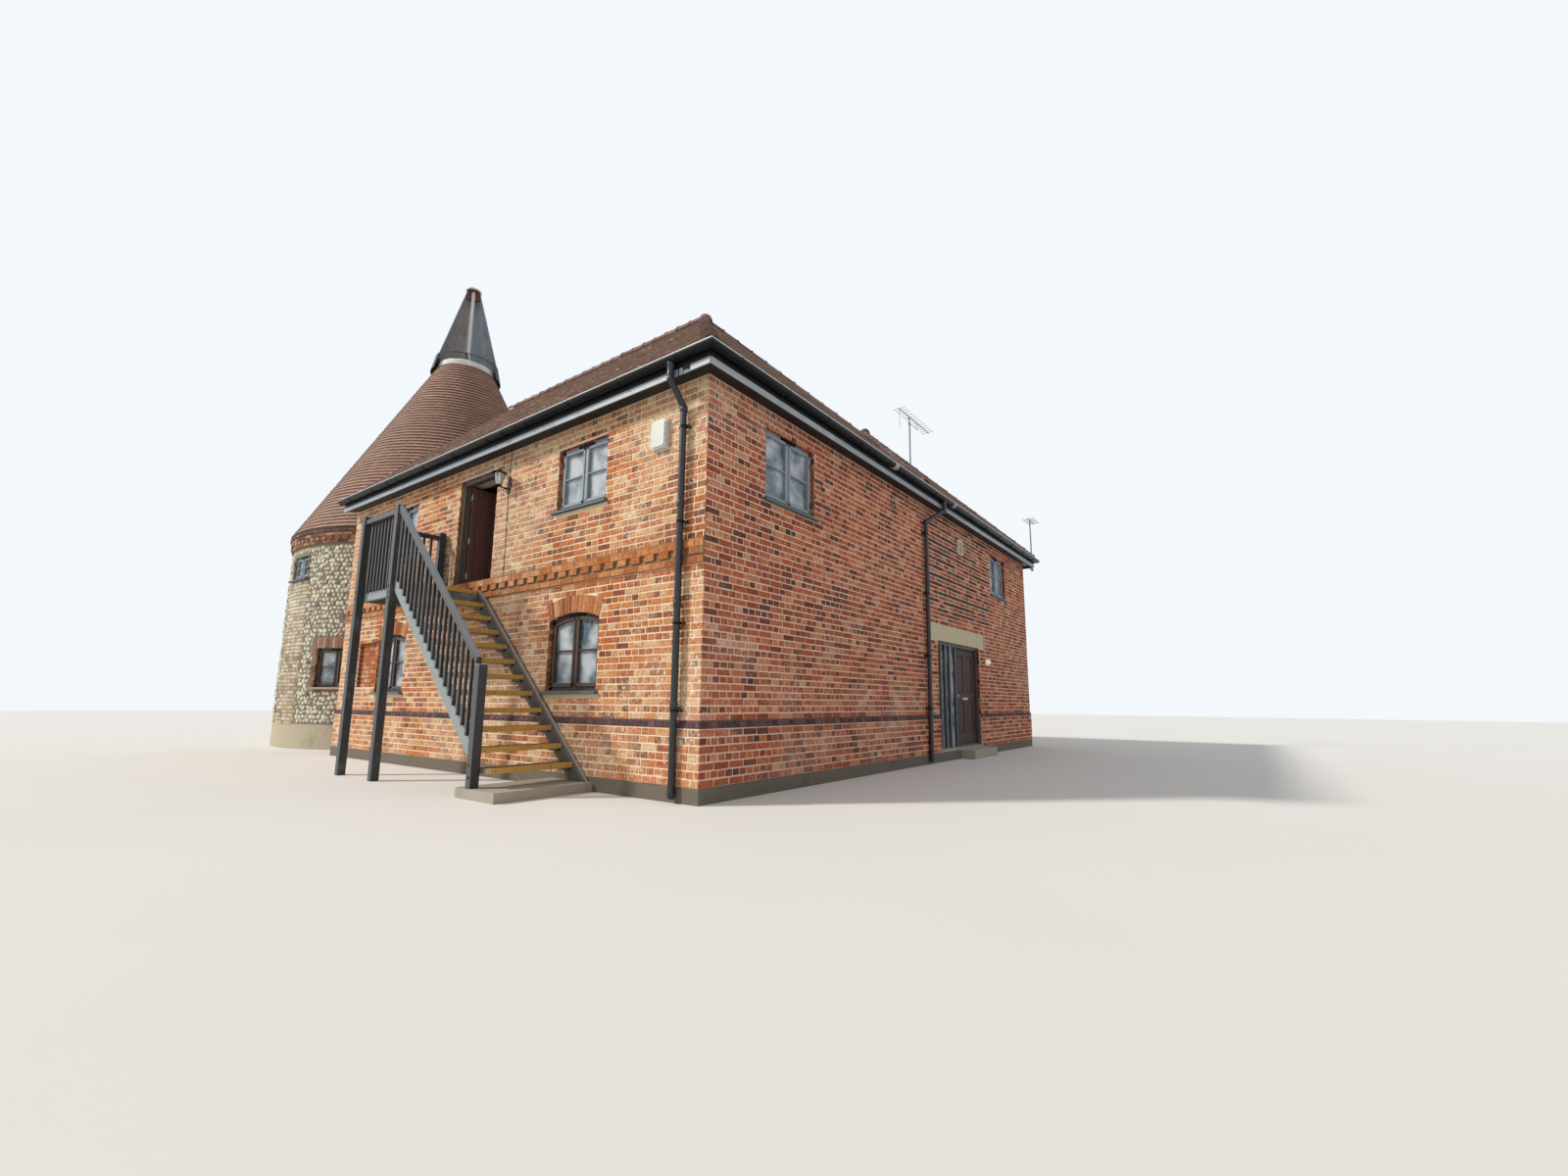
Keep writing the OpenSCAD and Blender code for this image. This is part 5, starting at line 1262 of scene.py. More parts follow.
def layCone():
    # Tiles round the cone in level rings, cut off where the cone meets the house end
    radius, z0 = kiln["edgeRadius"], kiln["edgeZ"]
    run = math.hypot(radius - kiln["topRadius"], kiln["topZ"] - z0)
    inward, upward = (radius - kiln["topRadius"]) / run, (kiln["topZ"] - z0) / run
    rows = int((run - kiln["firstTail"]) / tile["gauge"])
    gauge = (run - kiln["firstTail"]) / rows
    corners, tones = [], []
    for row in range(rows):
        low = kiln["firstTail"] + row * gauge + chance.normal(0, 0.001)
        high = min(low + gauge + 0.025, run)
        ring = radius - low * inward
        count = max(round(2 * math.pi * ring / tile["width"]), 24)
        course = chance.normal(0, 0.035)
        for k in range(count):
            a = 2 * math.pi * (k + 0.5 * (row % 2)) / count + 0.0012 / ring
            b = 2 * math.pi * (k + 1 + 0.5 * (row % 2)) / count - 0.0024 / ring
            middle = (a + b) / 2
            if kiln["x"] + ring * math.cos(middle) > -house["halfLength"] - 0.045:
                continue
            slip = chance.normal(0, 0.002)
            corners.append((a, b, low + slip, high))
            tones.append(np.clip(chance.normal(0.42, 0.085) + course, 0.05, 0.8))
    corners, tones = np.array(corners), np.array(tones)
    n = len(corners)
    a, b, low, high = corners.T
    tail = np.clip(0.0205 + chance.normal(0, 0.0012, n), 0.018, 0.0225)
    twist = np.clip(chance.normal(0, 0.001, n), -0.0015, 0.0015)

    def at(turn, v, w):
        return roundKiln(radius - v * inward + w * upward, turn, z0 + v * upward + w * inward)
    bed, head, middle = np.zeros(n), np.full(n, tile["head"]), (a + b) / 2
    points = [at(a, low, bed), at(b, low, bed), at(b, high, head - 0.01), at(a, high, head - 0.01),
              at(a, low, tail + twist), at(b, low, tail - twist), at(b, high, head), at(a, high, head),
              at(middle, low, tail + 0.002), at(middle, high, head + 0.002), at(middle, low, bed)]
    bench = Bench()
    # The face keeps the tile's tone; its tail is paler, a painted highlight, and its side edges are darker, painted
    # shade
    shades = np.array([0.0, 0.0, 0.2, 0.2, -0.25, -0.25])[None] + tones[:, None]
    addTiles(bench, np.stack(points, 1), np.clip(shades, 0, 1).ravel())
    bench.piece("cone_tiles", kilnTile, slot="roof_tiles", closed=False)
    # The rounded clay edge over the cornice, laid in lengths
    edge = Bench()
    first, sweep = kiln["rollFrom"], kiln["rollSweep"]
    for k in range(kiln["rolls"]):
        a = math.radians(first + k * sweep / kiln["rolls"])
        b = math.radians(first + (k + 1) * sweep / kiln["rolls"] - 0.25)
        path = [roundKiln(kiln["rollRadius"], t, kiln["rollZ"]) for t in np.linspace(a, b, 3)]
        edge.tube(path, 0.0255, 10)
    edge.piece("cone_edge_roll", ridgeTile, slot="roof_tiles", smooth=50)


collar = [(0.65, -0.09), (0.699, -0.07), (0.697, -0.02), (0.688, 0.03), (0.677, 0.08), (0.66, 0.112), (0.62, 0.126),
          (0.55, 0.12), (0.47, 0.11)]


def layRing():
    # Uneven mortar collar round the top of the cone
    bench = Bench()
    bench.lathe(collar, (kiln["x"], kiln["y"], kiln["topZ"]), sides=72)
    rough = bench.points[0]
    rough += chance.normal(0, 0.0035, rough.shape)
    bench.piece("cone_mortar_collar", mortarRing, slot="lead", closed=False, smooth=60)


layFlints()
layKilnBricks()
layCone()
layRing()
dress(kilnMortar, "kiln_wall_front", "kiln_wall_house", "kiln_wall_back", "kiln_wall_west")
dress(kilnRender, "kiln_plinth")
# The cornice's body between its bricks takes the same colour: painted shade in the gaps between the dentils
dress(mortarAndNotchShade, "kiln_cornice")
# The solid cone under the tiles is dark brown: painted shade where it shows under the first course
for name in ("kiln_roof_front", "kiln_roof_house", "kiln_roof_back", "kiln_roof_west"):
    dress(plainFinish(name + "_bed", "#4d3329", "#33241f", 0.9, (40.0, 0.8, 0.5, 0.003)), name)
dress(leadSheet, "cowl_bearing")
print("kiln built")


# Windows

joinery = dict(frame=0.05, frameDeep=0.08, casement=0.036, casementDeep=0.03, bar=0.02, proud=0.012, lap=0.006,
               weatherHigh=0.014, weatherOut=0.012, hingeUp=0.16, hingeDown=0.2, hingeHalf=0.035, pin=0.0075,
               vent=0.15, smallVent=0.09, ventHigh=0.026, ventOut=0.022, slots=9, slotHalf=0.006)


def archStrip(bench, place, width, height, rise, inset, band, low, high, steps=10):
    # A curved head rail: a strip of the arch between two insets from the hole
    radius = (width ** 2 / 4 + rise ** 2) / (2 * rise)
    centre = height - radius
    outer, inner = radius - inset, radius - inset - band
    reach = math.asin((width / 2 - inset) / outer)
    turns = np.linspace(-reach, reach, steps + 1)
    for a, b in zip(turns[:-1], turns[1:]):
        corners = ((outer, a), (outer, b), (inner, b), (inner, a))
        bench.prism([(r * math.sin(t), centre + r * math.cos(t)) for r, t in corners], low, high, place, 0.5)


def buildWindow(wood, metal, place, kind):
    width, height, rise = (windowSizes[kind][k] for k in (0, 1, 3))
    j, high = joinery, -windowSizes["frameBack"]
    f, c, lap, bar = j["frame"], j["casement"], j["lap"], j["bar"] / 2
    low, spring, half = high - j["frameDeep"], height - rise, width / 2
    for s in (-1, 1):
        jamb = sorted((s * half, s * (half - f)))
        wood.slab((jamb[0], 0, low), (jamb[1], spring + (0.012 if rise else 0), high), 0.003, place)
    wood.slab((-half, 0, low), (half, f, high), 0.003, place)
    wood.slab((-f / 2, f, low), (f / 2, height - (f * 0.7 if rise else f), high), 0.003, place)
    if rise:
        archStrip(wood, place, width, height, rise, 0, f, low, high)
    else:
        wood.slab((-half, height - f, low), (half, height, high), 0.003, place)
    # Two casements, each with a middle bar, standing a little in front of the glass
    front, inner = high + j["proud"], high - j["casementDeep"]
    foot, top = f - lap, height - f + lap
    middle = (foot + top) / 2 + 0.01
    for s in (-1, 1):
        left, right = sorted((s * (f / 2 - lap), s * (half - f + lap)))
        # Under an arch the outer stile is lower than the one at the middle
        tops = (top - (rise * 0.1 if rise else 0), spring - f * 0.35 if rise else top)[::s]
        wood.slab((left, foot, inner), (left + c, tops[0], front), 0.004, place)
        wood.slab((right - c, foot, inner), (right, tops[1], front), 0.004, place)
        wood.slab((left, foot, inner), (right, foot + c + 0.008, front), 0.004, place)
        if not rise:
            wood.slab((left, top - c, inner), (right, top, front), 0.004, place)
        wood.slab((left + c, middle - bar, inner + 0.004), (right - c, middle + bar, front - 0.006), 0.004, place)
        # The weather bar and the hinges
        upper, out = foot + j["weatherHigh"], front + j["weatherOut"]
        wood.slab((left + 0.005, foot - 0.002, front - 0.002), (right - 0.005, upper, out), 0.004, place)
        hinge, reach = s * (half - f + 0.004), j["hingeHalf"]
        for z in (j["hingeUp"], spring - j["hingeDown"]):
            metal.tube([place(hinge, v, front + 0.002) for v in (z - reach, z + reach)], j["pin"], 10)
    if rise:
        archStrip(wood, place, width, height, rise, f - lap, c + 0.004, inner, front)
    # The vent over the middle
    vent, slot = j["vent"] if width > 0.7 else j["smallVent"], j["slotHalf"]
    level = height - f * 0.75 - (0.002 if rise else 0)
    metal.slab((-vent, level, high - 0.004), (vent, level + j["ventHigh"], high + j["ventOut"]), 0.004, place)
    for u in np.linspace(0.02 - vent, vent - 0.02, j["slots"]):
        metal.slab((u - slot, level - 0.004, high + 0.006), (u + slot, level + 0.001, high + 0.02), 0.001, place)


def buildSill(bench, place, kind):
    # The sill slopes to the front and has a drip under its nose; its outline is drawn in (w, v) and runs along u
    out, deep = windowSizes["sillOut"], windowSizes["sillDeep"]
    half = windowSizes[kind][0] / 2 + windowSizes["sillEar"]
    inside = -windowSizes["frameBack"] - joinery["frameDeep"]
    outline = [(out, -deep + 0.004), (out, -0.016), (out - 0.006, -0.01), (-0.055, -0.001), (inside, -0.001),
               (inside, -deep), (out - 0.02, -deep), (out - 0.02, -deep + 0.008), (out - 0.013, -deep + 0.008),
               (out - 0.013, -deep)]
    bench.prism(outline, -half, half, place, 0.5, swap=[2, 1, 0])


def buildWindows():
    pale, dark, pins, sills, paleSills = (Bench() for _ in range(5))
    for face, at, kind in windows + [("K", turn, kind) for turn, kind in kilnOpenings]:
        place = onFace(face, at, windowSizes[kind][2])
        buildWindow(dark if kind in ("lower", "kilnLower") else pale, pins, place, kind)
        buildSill(paleSills if kind == "kilnLower" else sills, place, kind)
    pale.piece("upper_window_joinery", windowPaint, slot="frame_paint", smooth=30, replaces="window_frames")
    dark.piece("lower_window_joinery", darkWindowPaint, slot="frame_paint", smooth=30)
    pins.piece("window_vents_and_hinges", gutterPlastic, slot="black_metal", smooth=30)
    sills.piece("painted_sills", sillPaint, slot="sill_paint", smooth=30, replaces="window_sills")
    paleSills.piece("kiln_pale_sill", paleSill, slot="sill_paint", smooth=30)


curtains = dict(back=-0.2, pleat=0.052, wave=0.013, across=96, down=14)


def hangCurtain(name, place, left, right, top, foot, rail):
    # A gathered net curtain: even pleats that open a little towards the hem
    across = curtains["across"]
    u, v = np.linspace(left, right, across), np.linspace(top, foot, curtains["down"])
    grid = []
    for k, level in enumerate(v):
        fall = k / (len(v) - 1)
        phase = 2 * math.pi * (u - left) / curtains["pleat"]
        wave = curtains["wave"] * (0.75 + 0.35 * fall)
        w = curtains["back"] + wave * np.sin(phase + 0.5 * np.sin(phase * 0.37 + fall))
        grid.append(place(u + 0.004 * fall * np.sin(phase * 0.31), np.full(across, level), w))
    grid = np.array(grid)
    width = float(np.linalg.norm(np.diff(grid[len(v) // 2], axis=0), axis=1).sum())
    length = float(np.linalg.norm(np.diff(grid[:, across // 2], axis=0), axis=1).sum())
    bench = Bench()
    faces = [[r * across + i, (r + 1) * across + i, (r + 1) * across + i + 1, r * across + i + 1]
             for r in range(len(v) - 1) for i in range(across - 1)]
    bench.add(grid.reshape(-1, 3), faces, 0.5)
    cloth = bench.piece(name, curtainCloth, closed=False, smooth=80)


def hangCurtains():
    # Two nets on a rail behind each of the lower windows
    rails, jobs = Bench(), []
    spots = [spot for spot in windows if spot[2] == "lower"] + [("K", kilnOpenings[1][0], "kilnLower")]
    for n, (face, at, kind) in enumerate(spots):
        width, height, sill, rise = windowSizes[kind]
        place = onFace(face, at, sill)
        half, top = width / 2 - 0.006, height - rise - 0.03
        ends = [place(u, top, curtains["back"]) for u in (-width / 2 - 0.001, width / 2 + 0.001)]
        rails.tube(ends, 0.007, 10)
        jobs.append((f"curtain_{n + 1}_left", place, -half + 0.01, -width * 0.08, top - 0.004, 0.02))
        jobs.append((f"curtain_{n + 1}_right", place, width * 0.14, half - 0.01, top - 0.004, 0.02))
    rails.piece("curtain_rails", paleSteel, smooth=30)
    for job in jobs:
        hangCurtain(*job, "curtain_rails")


buildWindows()
hangCurtains()
dress(skyGlass, "front_window_glass", "end_window_glass", "back_window_glass", "kiln_window_glass")
print("windows made")


# Doors

screwHead = [(0.0005, 0.0045), (0.004, 0.004), (0.005, 0.001), (0.005, 0)]
leafParts = dict(stop=0.014, stopDeep=0.03, gap=0.005, joint=0.0015, ledge=0.018, ledgeHigh=0.13, hinge=0.09,
                 hingeWide=0.055, pin=0.008, screws=(0.025, 0.045, 0.065), plate=(-0.13, -0.08), plateHalf=0.11,
                 lever=((0.003, -0.105), (0.045, -0.105), (0.052, -0.112), (0.052, -0.21)), leverUp=0.03, rod=0.009)


def buildLoadingDoor():
    # Frame, then the boarded leaf that stands open into the loft
    d, p = loadingDoor, leafParts
    place = onFace("S", 0, d["foot"])
    back, deep = -d["jambBack"], d["jambDeep"]
    left, right, height, j = d["left"], d["right"], d["top"] - d["foot"], d["jamb"]
    surround, inner = Bench(), back - deep
    surround.slab((left, 0, inner), (left + j, height, back), 0.004, place)
    surround.slab((right - j, 0, inner), (right, height, back), 0.004, place)
    surround.slab((left + j, height - j, inner), (right - j, height, back), 0.004, place)
    for a, b in ((left + j - 0.001, left + j + p["stop"]), (right - j - p["stop"], right - j + 0.001)):
        surround.slab((a, 0.01, inner), (b, height - j, inner + p["stopDeep"]), 0.002, place)
    surround.piece("loading_door_frame", doorFramePaint, slot="door_timber", smooth=30, replaces="upper_door_frame")
    leaf, iron = Bench(), Bench()
    x0, x1 = left + j, left + j + d["leafThick"]
    y0 = -house["halfDepth"] - back + deep + p["gap"]
    y1 = y0 + (right - left - 2 * j)
    z0, z1 = d["foot"] + p["gap"], d["foot"] + height - j - p["gap"]
    for k in range(d["boards"]):
        a = y0 + k * (y1 - y0) / d["boards"]
        b = y0 + (k + 1) * (y1 - y0) / d["boards"]
        leaf.slab((x0 + p["ledge"], a + p["joint"], z0), (x1, b - p["joint"], z1), 0.004)
    for z in (z0 + 0.16, (z0 + z1) / 2 - 0.06, z1 - 0.3):
        leaf.slab((x0, y0, z), (x0 + p["ledge"], y1, z + p["ledgeHigh"]), 0.004)
    leaf.piece("loading_door_boards", plumBoards, slot="door_timber", smooth=30, replaces="upper_door")
    for z in (d["foot"] + up for up in d["hinges"]):
        high = z + p["hinge"]
        iron.slab((x0 + 0.004, y0 - 0.007, z), (x0 + 0.03, y0 + 0.002, high), 0.0015)
        iron.tube([(x1 + 0.002, y0 - 0.002, z - 0.002), (x1 + 0.002, y0 - 0.002, high + 0.002)], p["pin"], 12)
        iron.slab((x1 - 0.001, y0 + 0.002, z + 0.008), (x1 + 0.003, y0 + p["hingeWide"], high - 0.008), 0.001)
        for s in p["screws"]:
            iron.lathe(screwHead, (x1 + 0.0025, y0 + 0.035, z + s), (1, 0, 0), 10)
    iron.piece("loading_door_hinges", paleSteel, slot="black_metal", smooth=40)
    grip = Bench()
    z = d["foot"] + d["handle"]
    (a, b), half = p["plate"], p["plateHalf"]
    grip.slab((x1 - 0.001, y1 + a, z - half), (x1 + 0.005, y1 + b, z + half), 0.002)
    grip.tube([(x1 + x, y1 + y, z + p["leverUp"]) for x, y in p["lever"]], p["rod"], 12)
    grip.piece("loading_door_handle", paleSteel, slot="black_metal", smooth=40)


ceiling = dict(west=-4.1, south=-5.45, across=6, along=4, wide=1.3667, long=2.72, foot=4.452, top=4.462)
lining = (-0.335, -0.132)  # from the wall's inner face to the frame


def buildCeiling():
    # Plastered ceiling boards over the first floor, seen through the open door, and the lining of the door head
    bench, liner, c, d = Bench(), Bench(), ceiling, loadingDoor
    for k in range(c["across"]):
        x = c["west"] + k * c["wide"]
        for n in range(c["along"]):
            y = c["south"] + n * c["long"]
            bench.slab((x + 0.002, y, c["foot"]), (x + 1.362, y + 2.716, c["top"]), 0.002)
    bench.piece("loft_ceiling_boards", ceilingBoard, slot="floor_boards")
    place, (low, high) = onFace("S"), lining
    liner.slab((d["left"] + 0.002, d["top"] - 0.012, low), (d["right"] - 0.002, d["top"] - 0.001, high), 0.002, place)
    liner.slab((d["right"] - 0.012, d["foot"] + 0.005, low), (d["right"] - 0.001, d["top"] - 0.012, high), 0.002, place)
    liner.piece("loading_door_lining", ceilingBoard, slot="floor_boards")


sideDoor = dict(out=4.35, thick=0.045, y0=1.195, width=1.06, y1=2.255, z0=0.235, height=1.8, jamb=0.06, jambDeep=0.09,
                screenTop=1.13, stile=0.115, lowPanels=(0.19, 0.62), highPanels=(0.95, 0.72), slats=4, slat=0.07,
                floor=0.2, hinges=(0.18, 0.9, 1.56), hinge=0.06, hingeWide=0.05, pin=0.009, knob=0.9,
                bead=0.018, field=0.045, sill=0.03)
knobProfile = [(0.0005, 0.052), (0.012, 0.052), (0.022, 0.046), (0.024, 0.04), (0.02, 0.032), (0.011, 0.027),
               (0.01, 0.006), (0.026, 0.005), (0.027, 0.0)]


def buildSideDoor():
    d = sideDoor
    leaf = Bench()
    xin, xout = d["out"] - d["thick"], d["out"]
    z0, z1 = d["z0"], d["z0"] + d["height"]
    s, y0, y1 = d["stile"], d["y0"], d["y1"]
    panel = (d["width"] - 3 * s) / 2
    rows, bead, field = (d["lowPanels"], d["highPanels"]), d["bead"], d["field"]
    for y in (y0, y0 + s + panel, y1 - s):
        leaf.slab((xin, y, z0), (xout, y + s, z1), 0.003)
    rails = [(z0, z0 + rows[0][0]), (z0 + sum(rows[0]), z0 + rows[1][0]), (z0 + sum(rows[1]), z1)]
    for a, b in rails:
        for k in (0, 1):
            y = y0 + s + k * (panel + s)
            leaf.slab((xin, y, a), (xout, y + panel, b), 0.003)
    for low, high in rows:
        for k in (0, 1):
            y = y0 + s + k * (panel + s)
            a, b = z0 + low, z0 + low + high
            leaf.slab((xin + 0.012, y - 0.004, a - 0.004), (xout - 0.016, y + panel + 0.004, b + 0.004), 0.001)
            leaf.slab((xout - 0.02, y + field, a + field), (xout - 0.006, y + panel - field, b - field), 0.011)
            for p, q in (((y, a), (y + panel, a + bead)), ((y, b - bead), (y + panel, b)), ((y, a), (y + bead, b)),
                         ((y + panel - bead, a), (y + panel, b))):
                leaf.slab((xout - 0.017, p[0], p[1]), (xout - 0.002, q[0], q[1]), 0.006)
    leaf.piece("side_door_leaf", doorTimber, body="side_door", slot="door_timber", smooth=30, replaces="side_door")
    brass = Bench()
    pin = d["pin"]
    hingeX, hingeY = xin - pin, y1 + 0.0025
    for z in (z0 + up for up in d["hinges"]):
        brass.tube([(hingeX, hingeY, z), (hingeX, hingeY, z + d["hinge"])], pin, 16)
        brass.slab((hingeX + 0.004, hingeY - d["hingeWide"], z), (hingeX + pin, hingeY, z + d["hinge"]), 0.001)
    y, z = y0 + s / 2, z0 + d["knob"]
    for x, side in ((xout, 1), (xin, -1)):
        brass.lathe(knobProfile, (x, y, z), (side, 0, 0), 24)
    brass.slab((xout - 0.001, y - 0.014, z - 0.18), (xout + 0.003, y + 0.014, z - 0.12), 0.002)
    brass.slab((xout - 0.002, (y0 + y1) / 2 - 0.13, z0 + 0.83), (xout + 0.004, (y0 + y1) / 2 + 0.13, z0 + 0.87), 0.002)
    brass.piece("side_door_furniture", paleSteel, body="side_door", slot="black_metal", smooth=40)
    # The frame with its slatted screen
    fixed = Bench()
    a, b = xin, xin + d["jambDeep"]
    left, right = sideOpening["left"], sideOpening["right"]
    floor, top, j = d["floor"], sideOpening["top"], d["jamb"]
    fixed.slab((a, right - j, floor), (b, right, top), 0.004)
    fixed.slab((a, d["screenTop"], floor), (b, d["screenTop"] + j, top - j), 0.004)
    fixed.slab((a, left, top - j), (b, right - j, top), 0.004)
    fixed.slab((a, d["screenTop"] + j, floor), (b, y1 + 0.005, floor + d["sill"]), 0.004)
    step = (d["screenTop"] - left - d["slat"]) / d["slats"]
    for k in range(d["slats"]):
        fixed.slab((a, left + k * step, floor), (b, left + k * step + d["slat"], top - j), 0.005)
    fixed.piece("side_door_frame_and_slats", greyFramePaint, slot="door_timber", smooth=30, replaces="side_door_frame")


buildLoadingDoor()
buildCeiling()
buildSideDoor()
dress(padConcrete, "side_step")
print("doors hung")


# Outside stair

stair = dict(top=2.5, landingEast=0.21, landingWest=-1.005, rise=0.2, going=0.215, rises=12, pad=0.1, near=-6.8525,
             far=-5.875, tread=0.055, nosing=0.012, string=0.045, stringDeep=0.2, stringUp=0.025, stringEnd=2.825,
             post=0.095, postTop=3.5, newelTop=1.36, newelX=2.3, postX=0.0025, rail=0.06, railDeep=0.065, railTop=0.88,
             landingRail=0.945, bar=0.032, lap=0.04, deck=0.04, barPitch=0.115, boards=7, boardsEnd=-5.83,
             joist=0.05, joistDeep=0.15, wallPost=-5.925)
stairSlope = math.atan2(stair["rise"], stair["going"])


def stepX(i):
    return stair["landingEast"] + (stair["rises"] - i) * stair["going"]


def stepZ(i):
    return stair["pad"] + stair["rise"] * i


def pitchZ(x):
    return stair["top"] + (stair["landingEast"] - x) * stair["rise"] / stair["going"]


def clipped(outline, axis, limit, sign):
    # Keeps the part of a convex outline where sign * (value - limit) is not negative
    kept = []
    for k, p in enumerate(outline):
        q = outline[(k + 1) % len(outline)]
        a, b = sign * (p[axis] - limit), sign * (q[axis] - limit)
        if a >= 0:
            kept.append(p)
        if a * b < 0:
            t = a / (a - b)
            kept.append((p[0] + t * (q[0] - p[0]), p[1] + t * (q[1] - p[1])))
    return kept


def shrunk(outline, amount):
    # A convex outline with each side moved inwards
    points = np.array(outline, float)
    if np.sum(points[:, 0] * np.roll(points[:, 1], -1) - points[:, 1] * np.roll(points[:, 0], -1)) < 0:
        points = points[::-1]
    ahead = np.roll(points, -1, 0) - points
    ahead /= np.linalg.norm(ahead, axis=1)[:, None]
    inward = np.column_stack([-ahead[:, 1], ahead[:, 0]])
    before, after = np.roll(inward, 1, 0), inward
    reach = (before + after) / (1 + np.sum(before * after, axis=1))[:, None]
    return points, points + amount * reach


def addBoard(bench, outline, low, high, place, bevel=0.003, turn=0.0, tone=None):
    # A board sawn to a convex outline in (u, v), with eased edges and its grain turned in that plane
    outer, inner = shrunk(outline, bevel)
    n = len(outer)
    rings = [(inner, low), (outer, low + bevel), (outer, high - bevel), (inner, high)]
    local = np.concatenate([np.column_stack([ring, np.full(n, w)]) for ring, w in rings])
    faces = [list(range(n))[::-1], list(range(3 * n, 4 * n))]
    for r in range(3):
        faces += [[r * n + i, r * n + (i + 1) % n, (r + 1) * n + (i + 1) % n, (r + 1) * n + i] for i in range(n)]
    c, s = math.cos(turn), math.sin(turn)
    fibre = np.column_stack([local[:, 0] * c + local[:, 1] * s, local[:, 1] * c - local[:, 0] * s, local[:, 2]])
    bench.add(place(*local.T), faces, chance.random() if tone is None else tone, fibre + chance.uniform(-9, 9, 3))


def addBolt(bench, centre, axis, radius=0.011):
    # A domed head over its washer
    dome = [(radius * across, radius * up) for across, up in ((0.6, 0.42), (0.95, 0.12))]
    washer = [(radius, 0.001), (radius * 1.55, 0.001), (radius * 1.6, -0.001)]
    bench.lathe([(0.0005, radius * 0.55)] + dome + washer, centre, axis, 12)


def stringOutline(start, end):
    c, s = math.cos(stairSlope), math.sin(stairSlope)

    def at(along, square):
        return (stair["landingEast"] + along * c + square * s, stair["top"] - along * s + square * c)
    low, high = stair["stringUp"] - stair["stringDeep"], stair["stringUp"]
    outline = [at(-2, low), at(6, low), at(6, high), at(-2, high)]
    for axis, limit, sign in ((0, start, 1), (0, end, -1), (1, stair["pad"], 1), (1, stair["top"], -1)):
        outline = clipped(outline, axis, limit, sign)
    return outline


def railOutline(top):
    x0, x1, low = stair["postX"] + stair["post"], stair["newelX"], top - stair["railDeep"] / math.cos(stairSlope)
    return [(x, pitchZ(x) + up) for x, up in ((x0, low), (x1, low), (x1, top), (x0, top))]


def addPost(bench, x, y, foot, top):
    # A square post and the eased block that is its head
    wide = stair["post"]
    bench.slab((x, y, foot), (x + wide, y + wide, top - 0.02), 0.005, along=2)
    bench.slab((x + 0.001, y + 0.001, top - 0.03), (x + wide - 0.001, y + wide - 0.001, top), 0.013, along=2)


# Housing blocks, tread screws, nosing strips, and the bolts through bars, newel, landing post and rail
flight = dict(blockBack=0.23, blockFront=0.045, blockHigh=0.03, blockOut=0.027, run=0.25, joint=0.002, screwAlong=0.03,
              screwAcross=0.025, screw=0.004, strip=0.011, stripBack=0.045, stripHigh=0.0015, stripScrews=5,
              stripScrew=0.0035, barBolts=(0.03, 0.1), barBolt=0.0045, newelBolts=(0.21, 0.33), postBoltX=0.05,
              postBolts=(2.42, 2.27), railBoltIn=0.05, railBolt=0.006)


